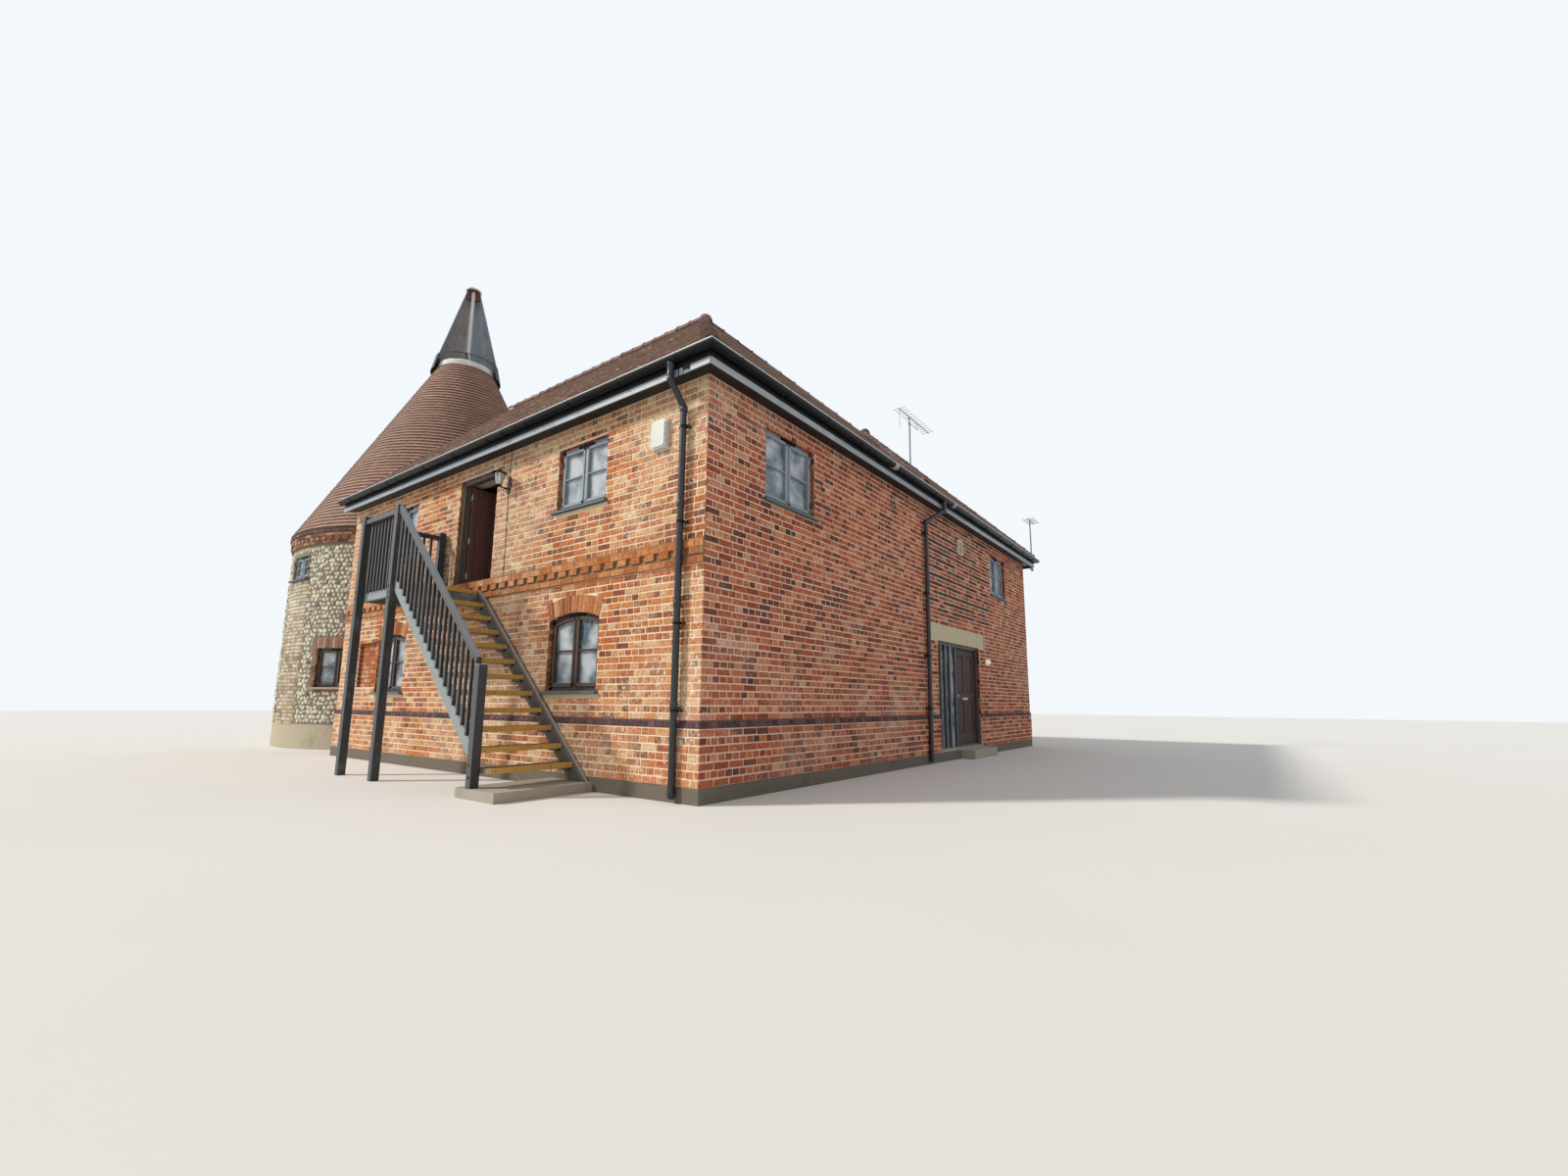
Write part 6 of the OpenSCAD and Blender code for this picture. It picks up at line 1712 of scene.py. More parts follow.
def buildFlight():
    side = placeBy((0, 0, 0), (1, 0, 0), (0, 0, 1), (0, -1, 0))
    near, far, f = -stair["near"], -stair["far"], flight
    inner, outer = Bench(), Bench()
    addBoard(inner, stringOutline(stair["landingEast"], stair["stringEnd"]), far - stair["string"], far, side, 0.004,
             -stairSlope)
    addBoard(outer, stringOutline(stair["postX"] + stair["post"], stair["newelX"]), near, near + stair["string"], side,
             0.004, -stairSlope)
    # Housing blocks under the treads on both strings
    for i in range(1, stair["rises"]):
        x, z = stepX(i), stepZ(i) - stair["tread"]
        start, front, foot, out = x - f["blockBack"], x - f["blockFront"], z - f["blockHigh"], f["blockOut"]
        for bench, low, high in ((inner, far + 0.001, far + out), (outer, near - out, near - 0.001)):
            end = min(front, stair["newelX"] - 0.002) if bench is outer else front
            addBoard(bench, oblong(start, end, foot, z - 0.001), low, high, side, 0.002)
    inner.piece("stair_string_inner", scuffedString, slot="stair_timber", replaces="stair_strings")
    outer.piece("stair_string_outer", greyString, slot="stair_timber", replaces="stair_strings")

    treads, strips, screws = Bench(), Bench(), Bench()
    for i in range(1, stair["rises"]):
        back, front, top = stepX(i) - f["run"], stepX(i) - stair["nosing"], stepZ(i)
        low, high, middle = stair["near"] + 0.001, stair["far"] - 0.001, (back + front) / 2
        for a, b in ((back, middle - f["joint"]), (middle + f["joint"], front - 0.0005)):
            treads.slab((a, low, top - stair["tread"]), (b, high, top - 0.001), 0.004, along=1)
        for x in (back + f["screwAlong"], front - f["screwAlong"]):
            for y in (low + f["screwAcross"], high - f["screwAcross"]):
                addBolt(screws, (x, y, top - 0.001), (0, 0, 1), f["screw"])
    for i in range(1, stair["rises"] + 1):
        x, top, south, north = stepX(i), stepZ(i), stair["near"], stair["far"]
        back, high = x - f["strip"], top + f["stripHigh"]
        strips.slab((back, south + 0.002, top - stair["tread"] + 0.001), (x, north - 0.002, top), 0.0015, along=1)
        strips.slab((x - f["stripBack"], south + 0.006, top - 0.001), (back, north - 0.006, high), 0.0008, along=1)
        for y in np.linspace(south + 0.06, north - 0.06, f["stripScrews"]):
            addBolt(screws, (x, y, top - 0.03), (1, 0, 0), f["stripScrew"])
    treads.piece("stair_tread_boards", treadTimber, slot="stair_timber", replaces="stair_treads")
    strips.piece("stair_nosing_strips", nosingYellow, slot="nosing_strip", replaces="stair_nosings")

    # One rail over the flight, and bars that are fixed to the outside of the string
    rails, bars = Bench(), Bench()
    n, post = stair["newelX"], stair["post"]
    low = stair["near"] - post
    railLow = near + (post - stair["rail"]) / 2
    addBoard(rails, railOutline(stair["railTop"]), railLow, railLow + stair["rail"], side, 0.006, -stairSlope)
    x0, x1, half = stair["postX"] + post, n, stair["bar"] / 2
    outside = stair["near"] - stair["string"]
    count = int((x1 - x0) / stair["barPitch"])
    for k in range(1, count + 1):
        x = x0 + k * (x1 - x0) / (count + 1)
        foot, head = pitchZ(x) - stair["lap"], pitchZ(x) + stair["railTop"] - stair["railDeep"] + 0.012
        bars.slab((x - half, outside - stair["bar"], foot), (x + half, outside - 0.0005, head), 0.002, along=2)
        for z in (foot + up for up in f["barBolts"]):
            addBolt(screws, (x, outside - stair["bar"] - 0.0003, z), (0, -1, 0), f["barBolt"])
    addPost(rails, n, low, stair["pad"] + 0.001, stair["newelTop"])
    for x, z in [(n + post / 2, z) for z in f["newelBolts"]] + [(f["postBoltX"], z) for z in f["postBolts"]]:
        addBolt(screws, (x, low - 0.0005, z), (0, -1, 0))
    for x in (n - f["railBoltIn"], x0 + f["railBoltIn"]):
        z = pitchZ(x) + stair["railTop"] - f["railBoltIn"]
        addBolt(screws, (x, -railLow - stair["rail"] - 0.0003, z), (0, -1, 0), f["railBolt"])
    rails.piece("stair_rails_and_newel", charcoalTimber, slot="stair_timber", replaces="stair_balustrade")
    bars.piece("stair_balusters", charcoalTimber, slot="stair_timber", replaces="stair_balustrade")
    screws.piece("stair_bolts", blackIron, slot="black_metal", smooth=40)


def buildLanding():
    near, wall = stair["near"], stair["boardsEnd"]
    west, east, top = stair["landingWest"], stair["landingEast"] - stair["nosing"], stair["top"]
    deck, joists, screws = Bench(), Bench(), Bench()
    joist, deep, low = stair["joist"], stair["joistDeep"], top - stair["deck"]
    wide = (wall - near) / stair["boards"]
    for k in range(stair["boards"]):
        y = near + k * wide
        deck.slab((west + 0.002, y + 0.0025, low), (east - 0.001, y + wide - 0.0025, top - 0.001), 0.004, along=0)
        for x in (west + 0.03, (west + east) / 2, east - 0.03):
            for side in (0.03, wide - 0.03):
                addBolt(screws, (x, y + side, top - 0.001), (0, 0, 1), 0.004)
    deck.piece("landing_boards", treadTimber, slot="stair_timber", replaces="landing_deck")
    for y in (near, (near + wall - joist) / 2, wall - joist):
        joists.slab((west + joist, y, low - deep), (east - joist, y + joist, low - 0.0005), 0.004, along=0)
    for x in (west, east - joist):
        joists.slab((x, near, low - deep), (x + joist, wall, low - 0.0005), 0.004, along=1)
    joists.piece("landing_joists", greyString, slot="stair_timber", replaces="landing_deck")
    posts, w, left = Bench(), stair["post"], west + 0.005
    y0 = near - w
    for x, y, foot in ((left, y0, 0.0), (stair["postX"], y0, 0.0), (left, stair["wallPost"], top)):
        addPost(posts, x, y, foot, stair["postTop"])
    for x in (left + w / 2, stair["postX"] + w / 2):
        for z in (low - 0.035, low - 0.115):
            addBolt(screws, (x, y0 - 0.0005, z), (0, -1, 0))
    posts.piece("landing_post_timbers", charcoalTimber, slot="stair_timber", replaces="landing_posts")
    # The outer bars hang in front of the deck's edge; the end panel has a lower rail
    rails, bars = Bench(), Bench()
    outer = placeBy((left + w, y0 + w / 2, top), (1, 0, 0), (0, 0, 1), (0, -1, 0))
    end = placeBy((left + w / 2, near, top), (0, 1, 0), (0, 0, 1), (1, 0, 0))
    half, bar, high = stair["rail"] / 2, stair["bar"] / 2, stair["landingRail"]
    for place, length, foot, back in ((outer, stair["postX"] - left - w, -stair["deck"] - stair["lap"], w / 2),
                                      (end, stair["wallPost"] - near, stair["railDeep"] - 0.012, bar)):
        rails.slab((0, high - stair["railDeep"], -half), (length, high, half), 0.006, place, along=0)
        if foot > 0:
            rails.slab((0, 0.0005, -half), (length, stair["railDeep"], half), 0.006, place, along=0)
        count, head = round(length / stair["barPitch"]), high - stair["railDeep"] + 0.012
        for k in range(1, count + 1):
            u = k * length / (count + 1)
            bars.slab((u - bar, foot, 0.0005 - back), (u + bar, head, 2 * bar - back), 0.002, place, along=1)
            if foot < 0:
                for z in (foot + 0.02, foot + 0.06):
                    addBolt(screws, place(u, z, 2 * bar - back), (0, -1, 0), 0.0045)
    rails.piece("landing_rails", charcoalTimber, slot="stair_timber", replaces="landing_balustrades")
    bars.piece("landing_balusters", charcoalTimber, slot="stair_timber", replaces="landing_balustrades")
    screws.piece("landing_bolts", blackIron, slot="black_metal", smooth=40)


buildFlight()
buildLanding()
dress(padConcrete, "stair_pad")
print("stair built")


# Eaves, gutters and downpipes

drain = dict(soffit=4.45, board=0.215, boardFoot=4.4, boardTop=4.591, stripTop=4.476, centre=0.275, level=4.588,
             outer=0.06, bead=0.0095, beadUp=0.009, strap=0.0635, westEnd=0.05, pipeOff=0.066, foot=0.072, length=2.4,
             strapPitch=0.9, stripBreak=(4.2, 4.22, 4.27, 4.385), soffitBoards=((0.034, 0.108), (0.11, 0.188)),
             collars=(4.1, 3.05, 1.98, 0.95), clips=(3.9, 2.85, 1.78, 0.9), strapTurn=(-32, -178), strapRod=0.0048,
             strapRods=(-0.009, 0.0, 0.009),
             unionParts=((-0.06, -0.052, 1.035), (-0.052, 0.052, 1.0), (0.052, 0.06, 1.035)))
pipes = (("S", 4.15), ("E", -0.34), ("N", 4.15))
unions = (("E", -1.96), ("E", 0.41), ("S", 0.9), ("S", -2.6), ("N", 0.9), ("N", -2.6))
# The face, and where its eaves run from and to along it
eavesSides = [("S", -house["halfLength"] - drain["westEnd"], house["halfLength"]),
              ("E", -house["halfDepth"], house["halfDepth"]),
              ("N", -house["halfLength"] - drain["westEnd"], house["halfLength"])]


def eavesPlace(face):
    # u runs along the side with the near corner at the east, v is the level and w the distance out of the wall
    half, deep = house["halfLength"], house["halfDepth"]
    if face == "S":
        return placeBy((0, -deep, 0), (1, 0, 0), (0, 0, 1), (0, -1, 0))
    if face == "N":
        return placeBy((0, deep, 0), (1, 0, 0), (0, 0, 1), (0, 1, 0))
    return placeBy((half, 0, 0), (0, 1, 0), (0, 0, 1), (1, 0, 0))


def nailBoards():
    # Black boards with a pale strip along their foot, and soffit boards
    black, pale, under = Bench(), Bench(), Bench()
    d, out = drain, drain["board"]
    foot, top = d["stripTop"] + 0.002, d["boardTop"] - 0.002
    for face, west, east in eavesSides:
        place = eavesPlace(face)
        start, end = (west, east + out) if face != "E" else (-east - out, east + out)
        pieces = round((end - start) / d["length"])
        size = (end - start) / pieces
        for k in range(pieces):
            a, b = start + k * size + 0.001, start + (k + 1) * size - 0.001
            black.slab((a, foot, out - 0.002), (b, top, out + 0.004), 0.002, place, along=0)
            for u in (a + 0.03, (a + b) / 2, b - 0.03):
                for v in (d["boardFoot"] + 0.1, d["boardTop"] - 0.03):
                    black.slab((u - 0.004, v - 0.004, out + 0.003), (u + 0.004, v + 0.004, out + 0.005), 0.001, place)
        # On the stair face the strip is broken by the downpipe
        breaks = d["stripBreak"]
        runs = [(start, breaks[0]), breaks[1:3], (breaks[3], end)] if face == "S" else [(start, end)]
        for low, high in runs:
            parts = max(round((high - low) / d["length"]), 1)
            for k in range(parts):
                a, b = low + k * (high - low) / parts, low + (k + 1) * (high - low) / parts
                pale.slab((a + 0.001, d["boardFoot"] + 0.001, out - 0.002), (b - 0.001, d["stripTop"], out + 0.009),
                          0.003, place, along=0)
        for k in range(pieces):
            a, b = start + k * size + 0.001, start + (k + 1) * size - 0.001
            if face == "E":
                a, b = max(a, -east - 0.02), min(b, east + 0.02)
            # The soffit boards are black like the fascia, and so dark also as painted shade under the eaves
            for low, high in d["soffitBoards"]:
                under.slab((a, d["soffit"] - 0.006, low), (b, d["soffit"] + 0.001, high), 0.0015, place, along=0)
    black.piece("fascia_boards", blackBoards, slot="eaves_boards", smooth=30)
    pale.piece("pale_fascia_strip", paleStrip, slot="eaves_boards", smooth=30)
    under.piece("soffit_boards", blackBoards, slot="eaves_boards", smooth=30)


def hangGutters():
    # Beads along the rims, straps under the gutters and the wide unions between their lengths
    d, middle, z, board, outer = drain, drain["centre"], drain["level"], drain["board"], drain["outer"]
    clasp = np.radians(np.linspace(*d["strapTurn"], 10))
    beads, straps, pale, dark = (Bench() for _ in range(4))
    for face, west, east in eavesSides:
        place = eavesPlace(face)
        corner = east + middle
        start, end = west if face != "E" else -corner, corner
        # The beads along both rims are near white: a pale rim, and a painted glint of the sun along it
        for stretch in (outer - d["bead"], d["bead"] - outer):
            a = start if face != "E" else start - stretch
            b = end + stretch
            beads.tube([place(u, z + d["beadUp"], middle + stretch) for u in (a, (a + b) / 2, b)], d["bead"], 10)
        steps = round((end - start) / d["strapPitch"])
        for k in range(steps):
            u = start + (k + 0.5) * (end - start) / steps
            for shift in d["strapRods"]:
                path = [place(u + shift, z + y, middle + x) for x, y in ringAt(d["strap"], clasp)]
                straps.tube(path, d["strapRod"], 6)
            straps.slab((u - 0.014, z - 0.055, board + 0.003), (u + 0.014, z + 0.002, board + 0.008), 0.002, place)
            straps.slab((u - 0.012, z - 0.002, middle + 0.046), (u + 0.012, z + 0.009, middle + outer), 0.002, place)
    half = np.radians(np.linspace(0, -180, 13))
    shell = ringAt(d["strap"] + 0.004, half) + ringAt(outer + 0.0005, half[::-1])
    for face, u in unions:
        place = eavesPlace(face)
        for low, high, grow in d["unionParts"]:
            rim = [(min(x * grow, outer) + middle, y * grow + z) for x, y in shell]
            (pale if face == "E" else dark).prism(rim, u + low, u + high, place, 0.5, swap=[2, 1, 0])
    beads.piece("gutter_beads", rimGlintPlastic, slot="gutter_plastic", smooth=60)
    straps.piece("gutter_straps", gutterPlastic, slot="gutter_plastic", smooth=50)
    pale.piece("east_gutter_unions", unionPlastic, slot="gutter_plastic", smooth=40)
    dark.piece("gutter_unions", gutterPlastic, slot="gutter_plastic", smooth=40)


pipeRings = dict(outlet=[(0.036, 0.0), (0.043, 0.0), (0.044, -0.03), (0.041, -0.034), (0.041, -0.075),
                         (0.0365, -0.078)],
                 collar=[(0.0362, 0.03), (0.0415, 0.03), (0.043, 0.026), (0.043, -0.026), (0.0415, -0.03),
                         (0.0362, -0.03)],
                 neck=[(0.0362, 0.03), (0.0415, 0.03), (0.0425, -0.004), (0.0362, -0.006)],
                 shoe=[(0.0362, 0.05), (0.04, 0.05), (0.0405, 0.0), (0.0362, 0.0)],
                 clip=[(0.0365, 0.014), (0.0395, 0.014), (0.0395, -0.014), (0.0365, -0.014)])


def fixPipes():
    # Collars at the bends and joints, clips to the wall, and the outlets under the gutters
    d, off = drain, drain["pipeOff"]
    collars, clips, dots = Bench(), Bench(), Bench()
    for face, u in pipes:
        place = eavesPlace(face)
        top = 0.0 if face == "E" else u
        collars.lathe(pipeRings["outlet"], place(top, d["level"] - d["outer"] + 0.006, d["centre"]), sides=24)
        for v in d["collars"]:
            collars.lathe(pipeRings["collar"], place(u, v, off), sides=24)
        collars.lathe(pipeRings["neck"], place(top, d["boardFoot"], d["centre"]), sides=24)
        collars.lathe(pipeRings["shoe"], place(u, d["foot"] + 0.005, off), sides=24)
        for v in d["clips"]:
            clips.lathe(pipeRings["clip"], place(u, v, off), sides=24)
            for s in (-1, 1):
                low, high = sorted((s * 0.034, s * 0.066))
                foot, head = v - 0.014, v + 0.014
                clips.slab((u + low, foot, 0.006), (u + high, head, off - 0.03), 0.002, place)
                clips.slab((u + low * 0.9, foot, off - 0.032), (u + high * 0.8, head, off + 0.002), 0.002, place)
                addBolt(dots, place(u + s * 0.056, v, off - 0.029), place(0, 0, 1) - place(0, 0, 0), 0.0055)
    collars.piece("downpipe_collars", pipePlastic, slot="gutter_plastic", smooth=40)
    clips.piece("downpipe_clips", gutterPlastic, slot="gutter_plastic", smooth=40)
    dots.piece("downpipe_screws", paleSteel, slot="black_metal", smooth=40)


nailBoards()
hangGutters()
fixPipes()
# The eaves box is near black: black paint, and painted shade on its soffit
dress(eavesPaint, "eaves")
dress(gutterPlastic, "gutters")
dress(pipePlastic, "downpipes")
print("eaves and gutters fitted")


# Cowl

cowl = dict(turn=math.radians(-30), foot=9.88, top=12.0, footRadius=0.735, topRadius=0.165, wrap=184, boards=26,
            skirtFoot=9.45, skirtRadius=0.845, skirtTop=0.755, skirtWrap=240, skirtBoards=36, capRadius=0.195,
            capHigh=0.035, rimWide=0.03, ringDepth=0.09, ringHigh=0.06, ringParts=28, ringGap=0.012, post=0.08,
            shaft=0.036, shaftFoot=8.42, hoopSpan=0.46, hoopIn=0.012, hoopLevels=(0.014, 0.022), hoopRod=0.0055)
cowlFoot = (kiln["x"], kiln["y"], 0)


def turned(x, y, z):
    # From the cowl's own frame, open side along x, to the building
    c, s = math.cos(cowl["turn"]), math.sin(cowl["turn"])
    return np.stack(np.broadcast_arrays(kiln["x"] + x * c - y * s, kiln["y"] + x * s + y * c, np.asarray(z, float)), -1)


def taperBoards(bench, foot, head, low, high, turns, gap=0.0022, ragged=0.0):
    # Boards side by side round a cone: foot and head are (level, radius), low and high lie along its outward normal
    (z0, r0), (z1, r1) = foot, head
    run = math.hypot(z1 - z0, r0 - r1)
    outX, outZ = (z1 - z0) / run, (r0 - r1) / run
    for a, b in zip(turns[:-1], turns[1:]):
        sway, cut = chance.normal(0, 0.0014), chance.uniform(0, ragged)
        points, fibres = [], []
        for level, ring in ((z0 + cut, r0 + (r1 - r0) * cut / (z1 - z0)), (z1, r1)):
            ease = gap / ring
            # Inner left, inner middle, inner right, outer right, outer middle, outer left
            for side, w in ((a + ease, low), ((a + b) / 2, low), (b - ease, low), (b - ease, high), ((a + b) / 2, high),
                            (a + ease, high)):
                r = ring + (w + sway) * outX
                points.append(turned(r * math.cos(side), r * math.sin(side), level + (w + sway) * outZ))
                fibres.append((level, side * ring, w))
        faces = [[k, (k + 1) % 6, (k + 1) % 6 + 6, k + 6] for k in range(6)]
        faces += [[0, 1, 4, 5], [1, 2, 3, 4], [6, 7, 10, 11], [7, 8, 9, 10]]
        bench.add(points, faces, chance.random(), np.array(fibres) + chance.uniform(-9, 9, 3))


def buildHood():
    c = cowl
    spread = math.radians(c["wrap"] / 2)
    foot, head = (c["foot"], c["footRadius"]), (c["top"] - 0.001, c["topRadius"])
    half = c["boards"] // 2
    turns = np.linspace(math.pi - spread, math.pi + spread, c["boards"] + 1)
    outside, shaded, lit, trim = (Bench() for _ in range(4))
    taperBoards(outside, foot, head, -0.0115, -0.001, turns)
    # Painted light: the lining's right half takes the outer boards' finish as its lit copy, and its left half a second
    # finish of warmer grey as its shaded copy
    taperBoards(lit, foot, head, -0.0235, -0.0125, turns[:half + 1])
    taperBoards(shaded, foot, head, -0.0235, -0.0125, turns[half:])
    outside.piece("cowl_outer_boards", cowlBoards, body="cowl", slot="cowl_timber", replaces="cowl_hood")
    lit.piece("cowl_inner_boards_right", cowlBoards, body="cowl", slot="cowl_timber", replaces="cowl_hood")
    shaded.piece("cowl_inner_boards_left", cowlShadedLining, body="cowl", slot="cowl_timber", replaces="cowl_hood")
    for s in (-1, 1):
        side = math.pi + s * (spread + 0.006)
        path = []
        for t in np.linspace(0, 1, 9):
            r = c["footRadius"] + (c["topRadius"] - c["footRadius"]) * t - 0.0125
            path.append(turned(r * math.cos(side), r * math.sin(side), c["foot"] + (c["top"] - c["foot"] - 0.002) * t))
        trim.tube(path, 0.0125, 8)
    trim.piece("cowl_edge_battens", blueTrim, body="cowl", slot="cowl_timber", smooth=50)


def buildPost():
    # Post, foot ring in lengths, its arm, the shaft, and the cap with its brown underside
    c = cowl
    half, low = c["post"] / 2, c["foot"] - c["ringHigh"]
    post, ring, hoop, shaft, cap, under = (Bench() for _ in range(6))
    post.slab((-half, -half, low), (half, half, c["top"] - 0.001), 0.006, turned, along=2)
    post.piece("cowl_post_timber", cowlPost, body="cowl", slot="cowl_timber", replaces="cowl_post")
    for k in range(c["ringParts"]):
        a, b = (math.pi * (0.5 + (n - 2) / 24) for n in (k + c["ringGap"], k + 1 - c["ringGap"]))
        outline = ringAt(c["footRadius"] - 0.001, np.linspace(a, b, 3))
        outline += ringAt(c["footRadius"] - c["ringDepth"], np.linspace(b, a, 3))
        ring.prism(outline, low, c["foot"] - 0.001, turned)
    span, r = c["hoopSpan"] * math.pi, c["footRadius"] - c["hoopIn"]
    around = np.linspace(-span, span, 40)
    for up in c["hoopLevels"]:
        hoop.tube(turned(r * np.cos(around), r * np.sin(around), low + up), c["hoopRod"], 8)
    hoop.piece("cowl_front_hoop", blackIron, body="cowl", slot="black_metal", smooth=50, replaces="cowl_post")
    reach = c["footRadius"] - c["ringDepth"] / 2
    ring.slab((-reach, -half, low + 0.001), (reach, half, c["foot"] - 0.002), 0.004, turned, along=0)
    # The foot ring's boards are darker than the hood's: painted shade, so that the ring reads as the shaded boards
    # above it
    ring.piece("cowl_foot_ring", cowlRing, body="cowl", slot="cowl_timber", replaces="cowl_post")
    r, z = c["shaft"], c["shaftFoot"]
    shaft.lathe([(0.001, low), (r + 0.012, low), (r + 0.012, low - 0.03), (r, low - 0.034), (r, z + 0.002),
                 (r - 0.003, z), (0.001, z)], cowlFoot, sides=32)
    shaft.piece("cowl_shaft", blackIron, body="cowl", slot="black_metal", smooth=35, replaces="cowl_post")
    # The cap is painted white, with a pale rim round its brown underside
    r, foot, high = c["capRadius"], c["top"], c["top"] + c["capHigh"]
    rim = r - c["rimWide"]
    cap.lathe([(0.001, foot + 0.014), (rim, foot + 0.014), (rim, foot), (r - 0.003, foot), (r, foot + 0.003),
               (r, high - 0.004), (r - 0.005, high), (0.001, high)], cowlFoot, sides=56)
    cap.piece("cowl_cap", whitePaint, body="cowl", slot="cowl_timber", smooth=35, replaces="cowl_post")
    rim -= 0.001
    under.lathe([(0.001, foot), (rim, foot), (rim, foot + 0.0135), (0.001, foot + 0.0135)], cowlFoot, sides=56)
    under.prism(ringAt(0.14, np.linspace(0.5 * math.pi, 1.5 * math.pi, 17)), foot - 0.2, foot - 0.002, turned)
    under.piece("cowl_cap_underside", capBrown, body="cowl", slot="cowl_timber", smooth=35, replaces="cowl_post")


def buildSkirt():
    c = cowl
    spread = math.radians(c["skirtWrap"] / 2)
    foot, head = (c["skirtFoot"], c["skirtRadius"]), (c["foot"] - 0.001, c["skirtTop"])
    turns = np.linspace(math.pi - spread, math.pi + spread, c["skirtBoards"] + 1)
    outer, inner, trim = Bench(), Bench(), Bench()
    taperBoards(outer, foot, head, -0.0095, -0.001, turns, ragged=0.006)
    taperBoards(inner, foot, head, -0.0195, -0.0105, turns)
    outer.piece("cowl_skirt_boards", cowlBlack, body="cowl", slot="cowl_skirt", replaces="cowl_skirt")
    inner.piece("cowl_skirt_lining", cowlBlack, body="cowl", slot="cowl_skirt", replaces="cowl_skirt")
    rim = np.linspace(math.pi - spread, math.pi + spread, 49)
    r = c["skirtTop"] - 0.008
    trim.tube(turned(r * np.cos(rim), r * np.sin(rim), c["foot"] + 0.003), 0.006, 8)
    trim.piece("cowl_skirt_beads", whitePaint, body="cowl", slot="cowl_timber", smooth=50)


buildHood()
buildPost()
buildSkirt()
print("cowl built")


# Lights, boxes, aerials and cables

lantern = dict(x=0.70, y=-5.96, z=3.915, high=0.17, foot=0.04, head=0.065, cap=0.105, capHigh=0.05, plate=0.006,
               plateFace=0.01, bolts=(-0.045, 0.125), bolt=0.005, armHalf=0.008, armLevels=(-0.024, -0.006),
               scroll=(-0.057, 0.062), scrollWide=0.032, scrollTurns=2.4, scrollRod=0.0045, bar=0.0042)
# The leaf of its wall plate in half outline, and its base, bulb and roof as (radius, height)
lanternLeaf = [(0.0, -0.1), (0.02, -0.062), (0.042, -0.02), (0.056, 0.02), (0.06, 0.06), (0.056, 0.1), (0.049, 0.135),
               (0.036, 0.158), (0.018, 0.165)]
lanternBase = [(0.001, -0.028), (0.012, -0.028), (0.014, -0.02), (0.014, -0.004), (0.042, 0.0), (0.044, 0.006),
               (0.001, 0.006)]
lanternBulb = [(0.001, 0.01), (0.014, 0.012), (0.016, 0.05), (0.026, 0.075), (0.03, 0.1), (0.024, 0.126), (0.01, 0.14),
               (0.001, 0.142)]
lanternRoof = [(0.001, -0.004), (0.07, -0.004), (lantern["cap"], 0.0), (lantern["cap"] - 0.003, 0.006), (0.066, 0.016),
               (0.038, 0.03), (0.02, 0.044), (0.012, lantern["capHigh"]), (0.009, 0.056), (0.012, 0.064),
               (0.008, 0.072), (0.002, 0.09), (0.0008, 0.0905)]
globe = dict(x=4.51, y=2.66, z=1.84, radius=0.06, plate=0.045)


def glowFinish(name, colour, strength):
    material, tree, shader = newFinish(name, 0.3)
    soft = noise(tree, objectPlace(tree), 30.0)
    tint = blend(tree, times(tree, soft, 0.3), paint(colour), paint("#d9c9a0"))
    tree.links.new(tint, shader.inputs["Base Color"])
    tree.links.new(tint, shader.inputs["Emission Color"])
    shader.inputs["Emission Strength"].default_value = strength
    return material


lampGlow = glowFinish("lamp_glow", "#f6efd9", 0.35)


def hangLantern():
    l = lantern
    iron, glass, glow = Bench(), Bench(), Bench()
    place = onFace("S", l["x"], l["z"])
    whole = lanternLeaf + [(-u, v) for u, v in lanternLeaf[:0:-1]]
    iron.prism(whole, 0.0, l["plate"], place)
    iron.prism([(u * 0.8, 0.03 + (v - 0.03) * 0.82) for u, v in whole], 0.005, l["plateFace"], place)
    for v in l["bolts"]:
        addBolt(iron, place(0.0, v, l["plateFace"]), (0, -1, 0), l["bolt"])
    reach, half, (under, over) = -house["halfDepth"] - l["y"], l["armHalf"], l["armLevels"]
    iron.slab((-half, under, half), (half, over, reach), 0.003, place, along=2)
    # The scroll under the arm winds in as it turns
    curl, (level, off) = np.linspace(0, l["scrollTurns"] * math.pi, 34), l["scroll"]
    size = l["scrollWide"] - 0.009 * curl / curl[-1] * l["scrollTurns"]
    scroll = [place(0.0, level + s * math.sin(t), off - s * math.cos(t)) for t, s in zip(curl, size)]
    iron.tube([place(0.0, -0.095, 0.008), place(0.0, -0.088, 0.018)] + scroll, l["scrollRod"], 8)
    centre, foot, head, high = (l["x"], l["y"], l["z"]), l["foot"], l["head"], l["high"]
    iron.lathe(lanternBase, centre, sides=6)
    for k in range(6):
        t = math.pi / 3 * k
        ends = [(l["x"] + r * math.cos(t), l["y"] + r * math.sin(t), l["z"] + z) for r, z in
                ((foot, 0.004), ((foot + head) / 2, high / 2), (head, high))]
        iron.tube(ends, l["bar"], 6)
    iron.lathe([(r, high + z) for r, z in lanternRoof], centre, sides=12)
    glass.lathe([(foot - 0.006, 0.006), (foot - 0.003, 0.006), (head - 0.003, high - 0.004),
                 (head - 0.006, high - 0.004), (foot - 0.006, 0.006)], centre, sides=6)
    glow.lathe(lanternBulb, centre, sides=18)
    iron.piece("lantern_iron", blackIron, slot="black_metal", smooth=35, replaces="wall_lights")
    glass.piece("lantern_glass_panes", lampGlass, slot="window_glass", replaces="wall_lights")
    glow.piece("lantern_bulb", lampGlow, slot="window_glass", smooth=60, replaces="wall_lights")


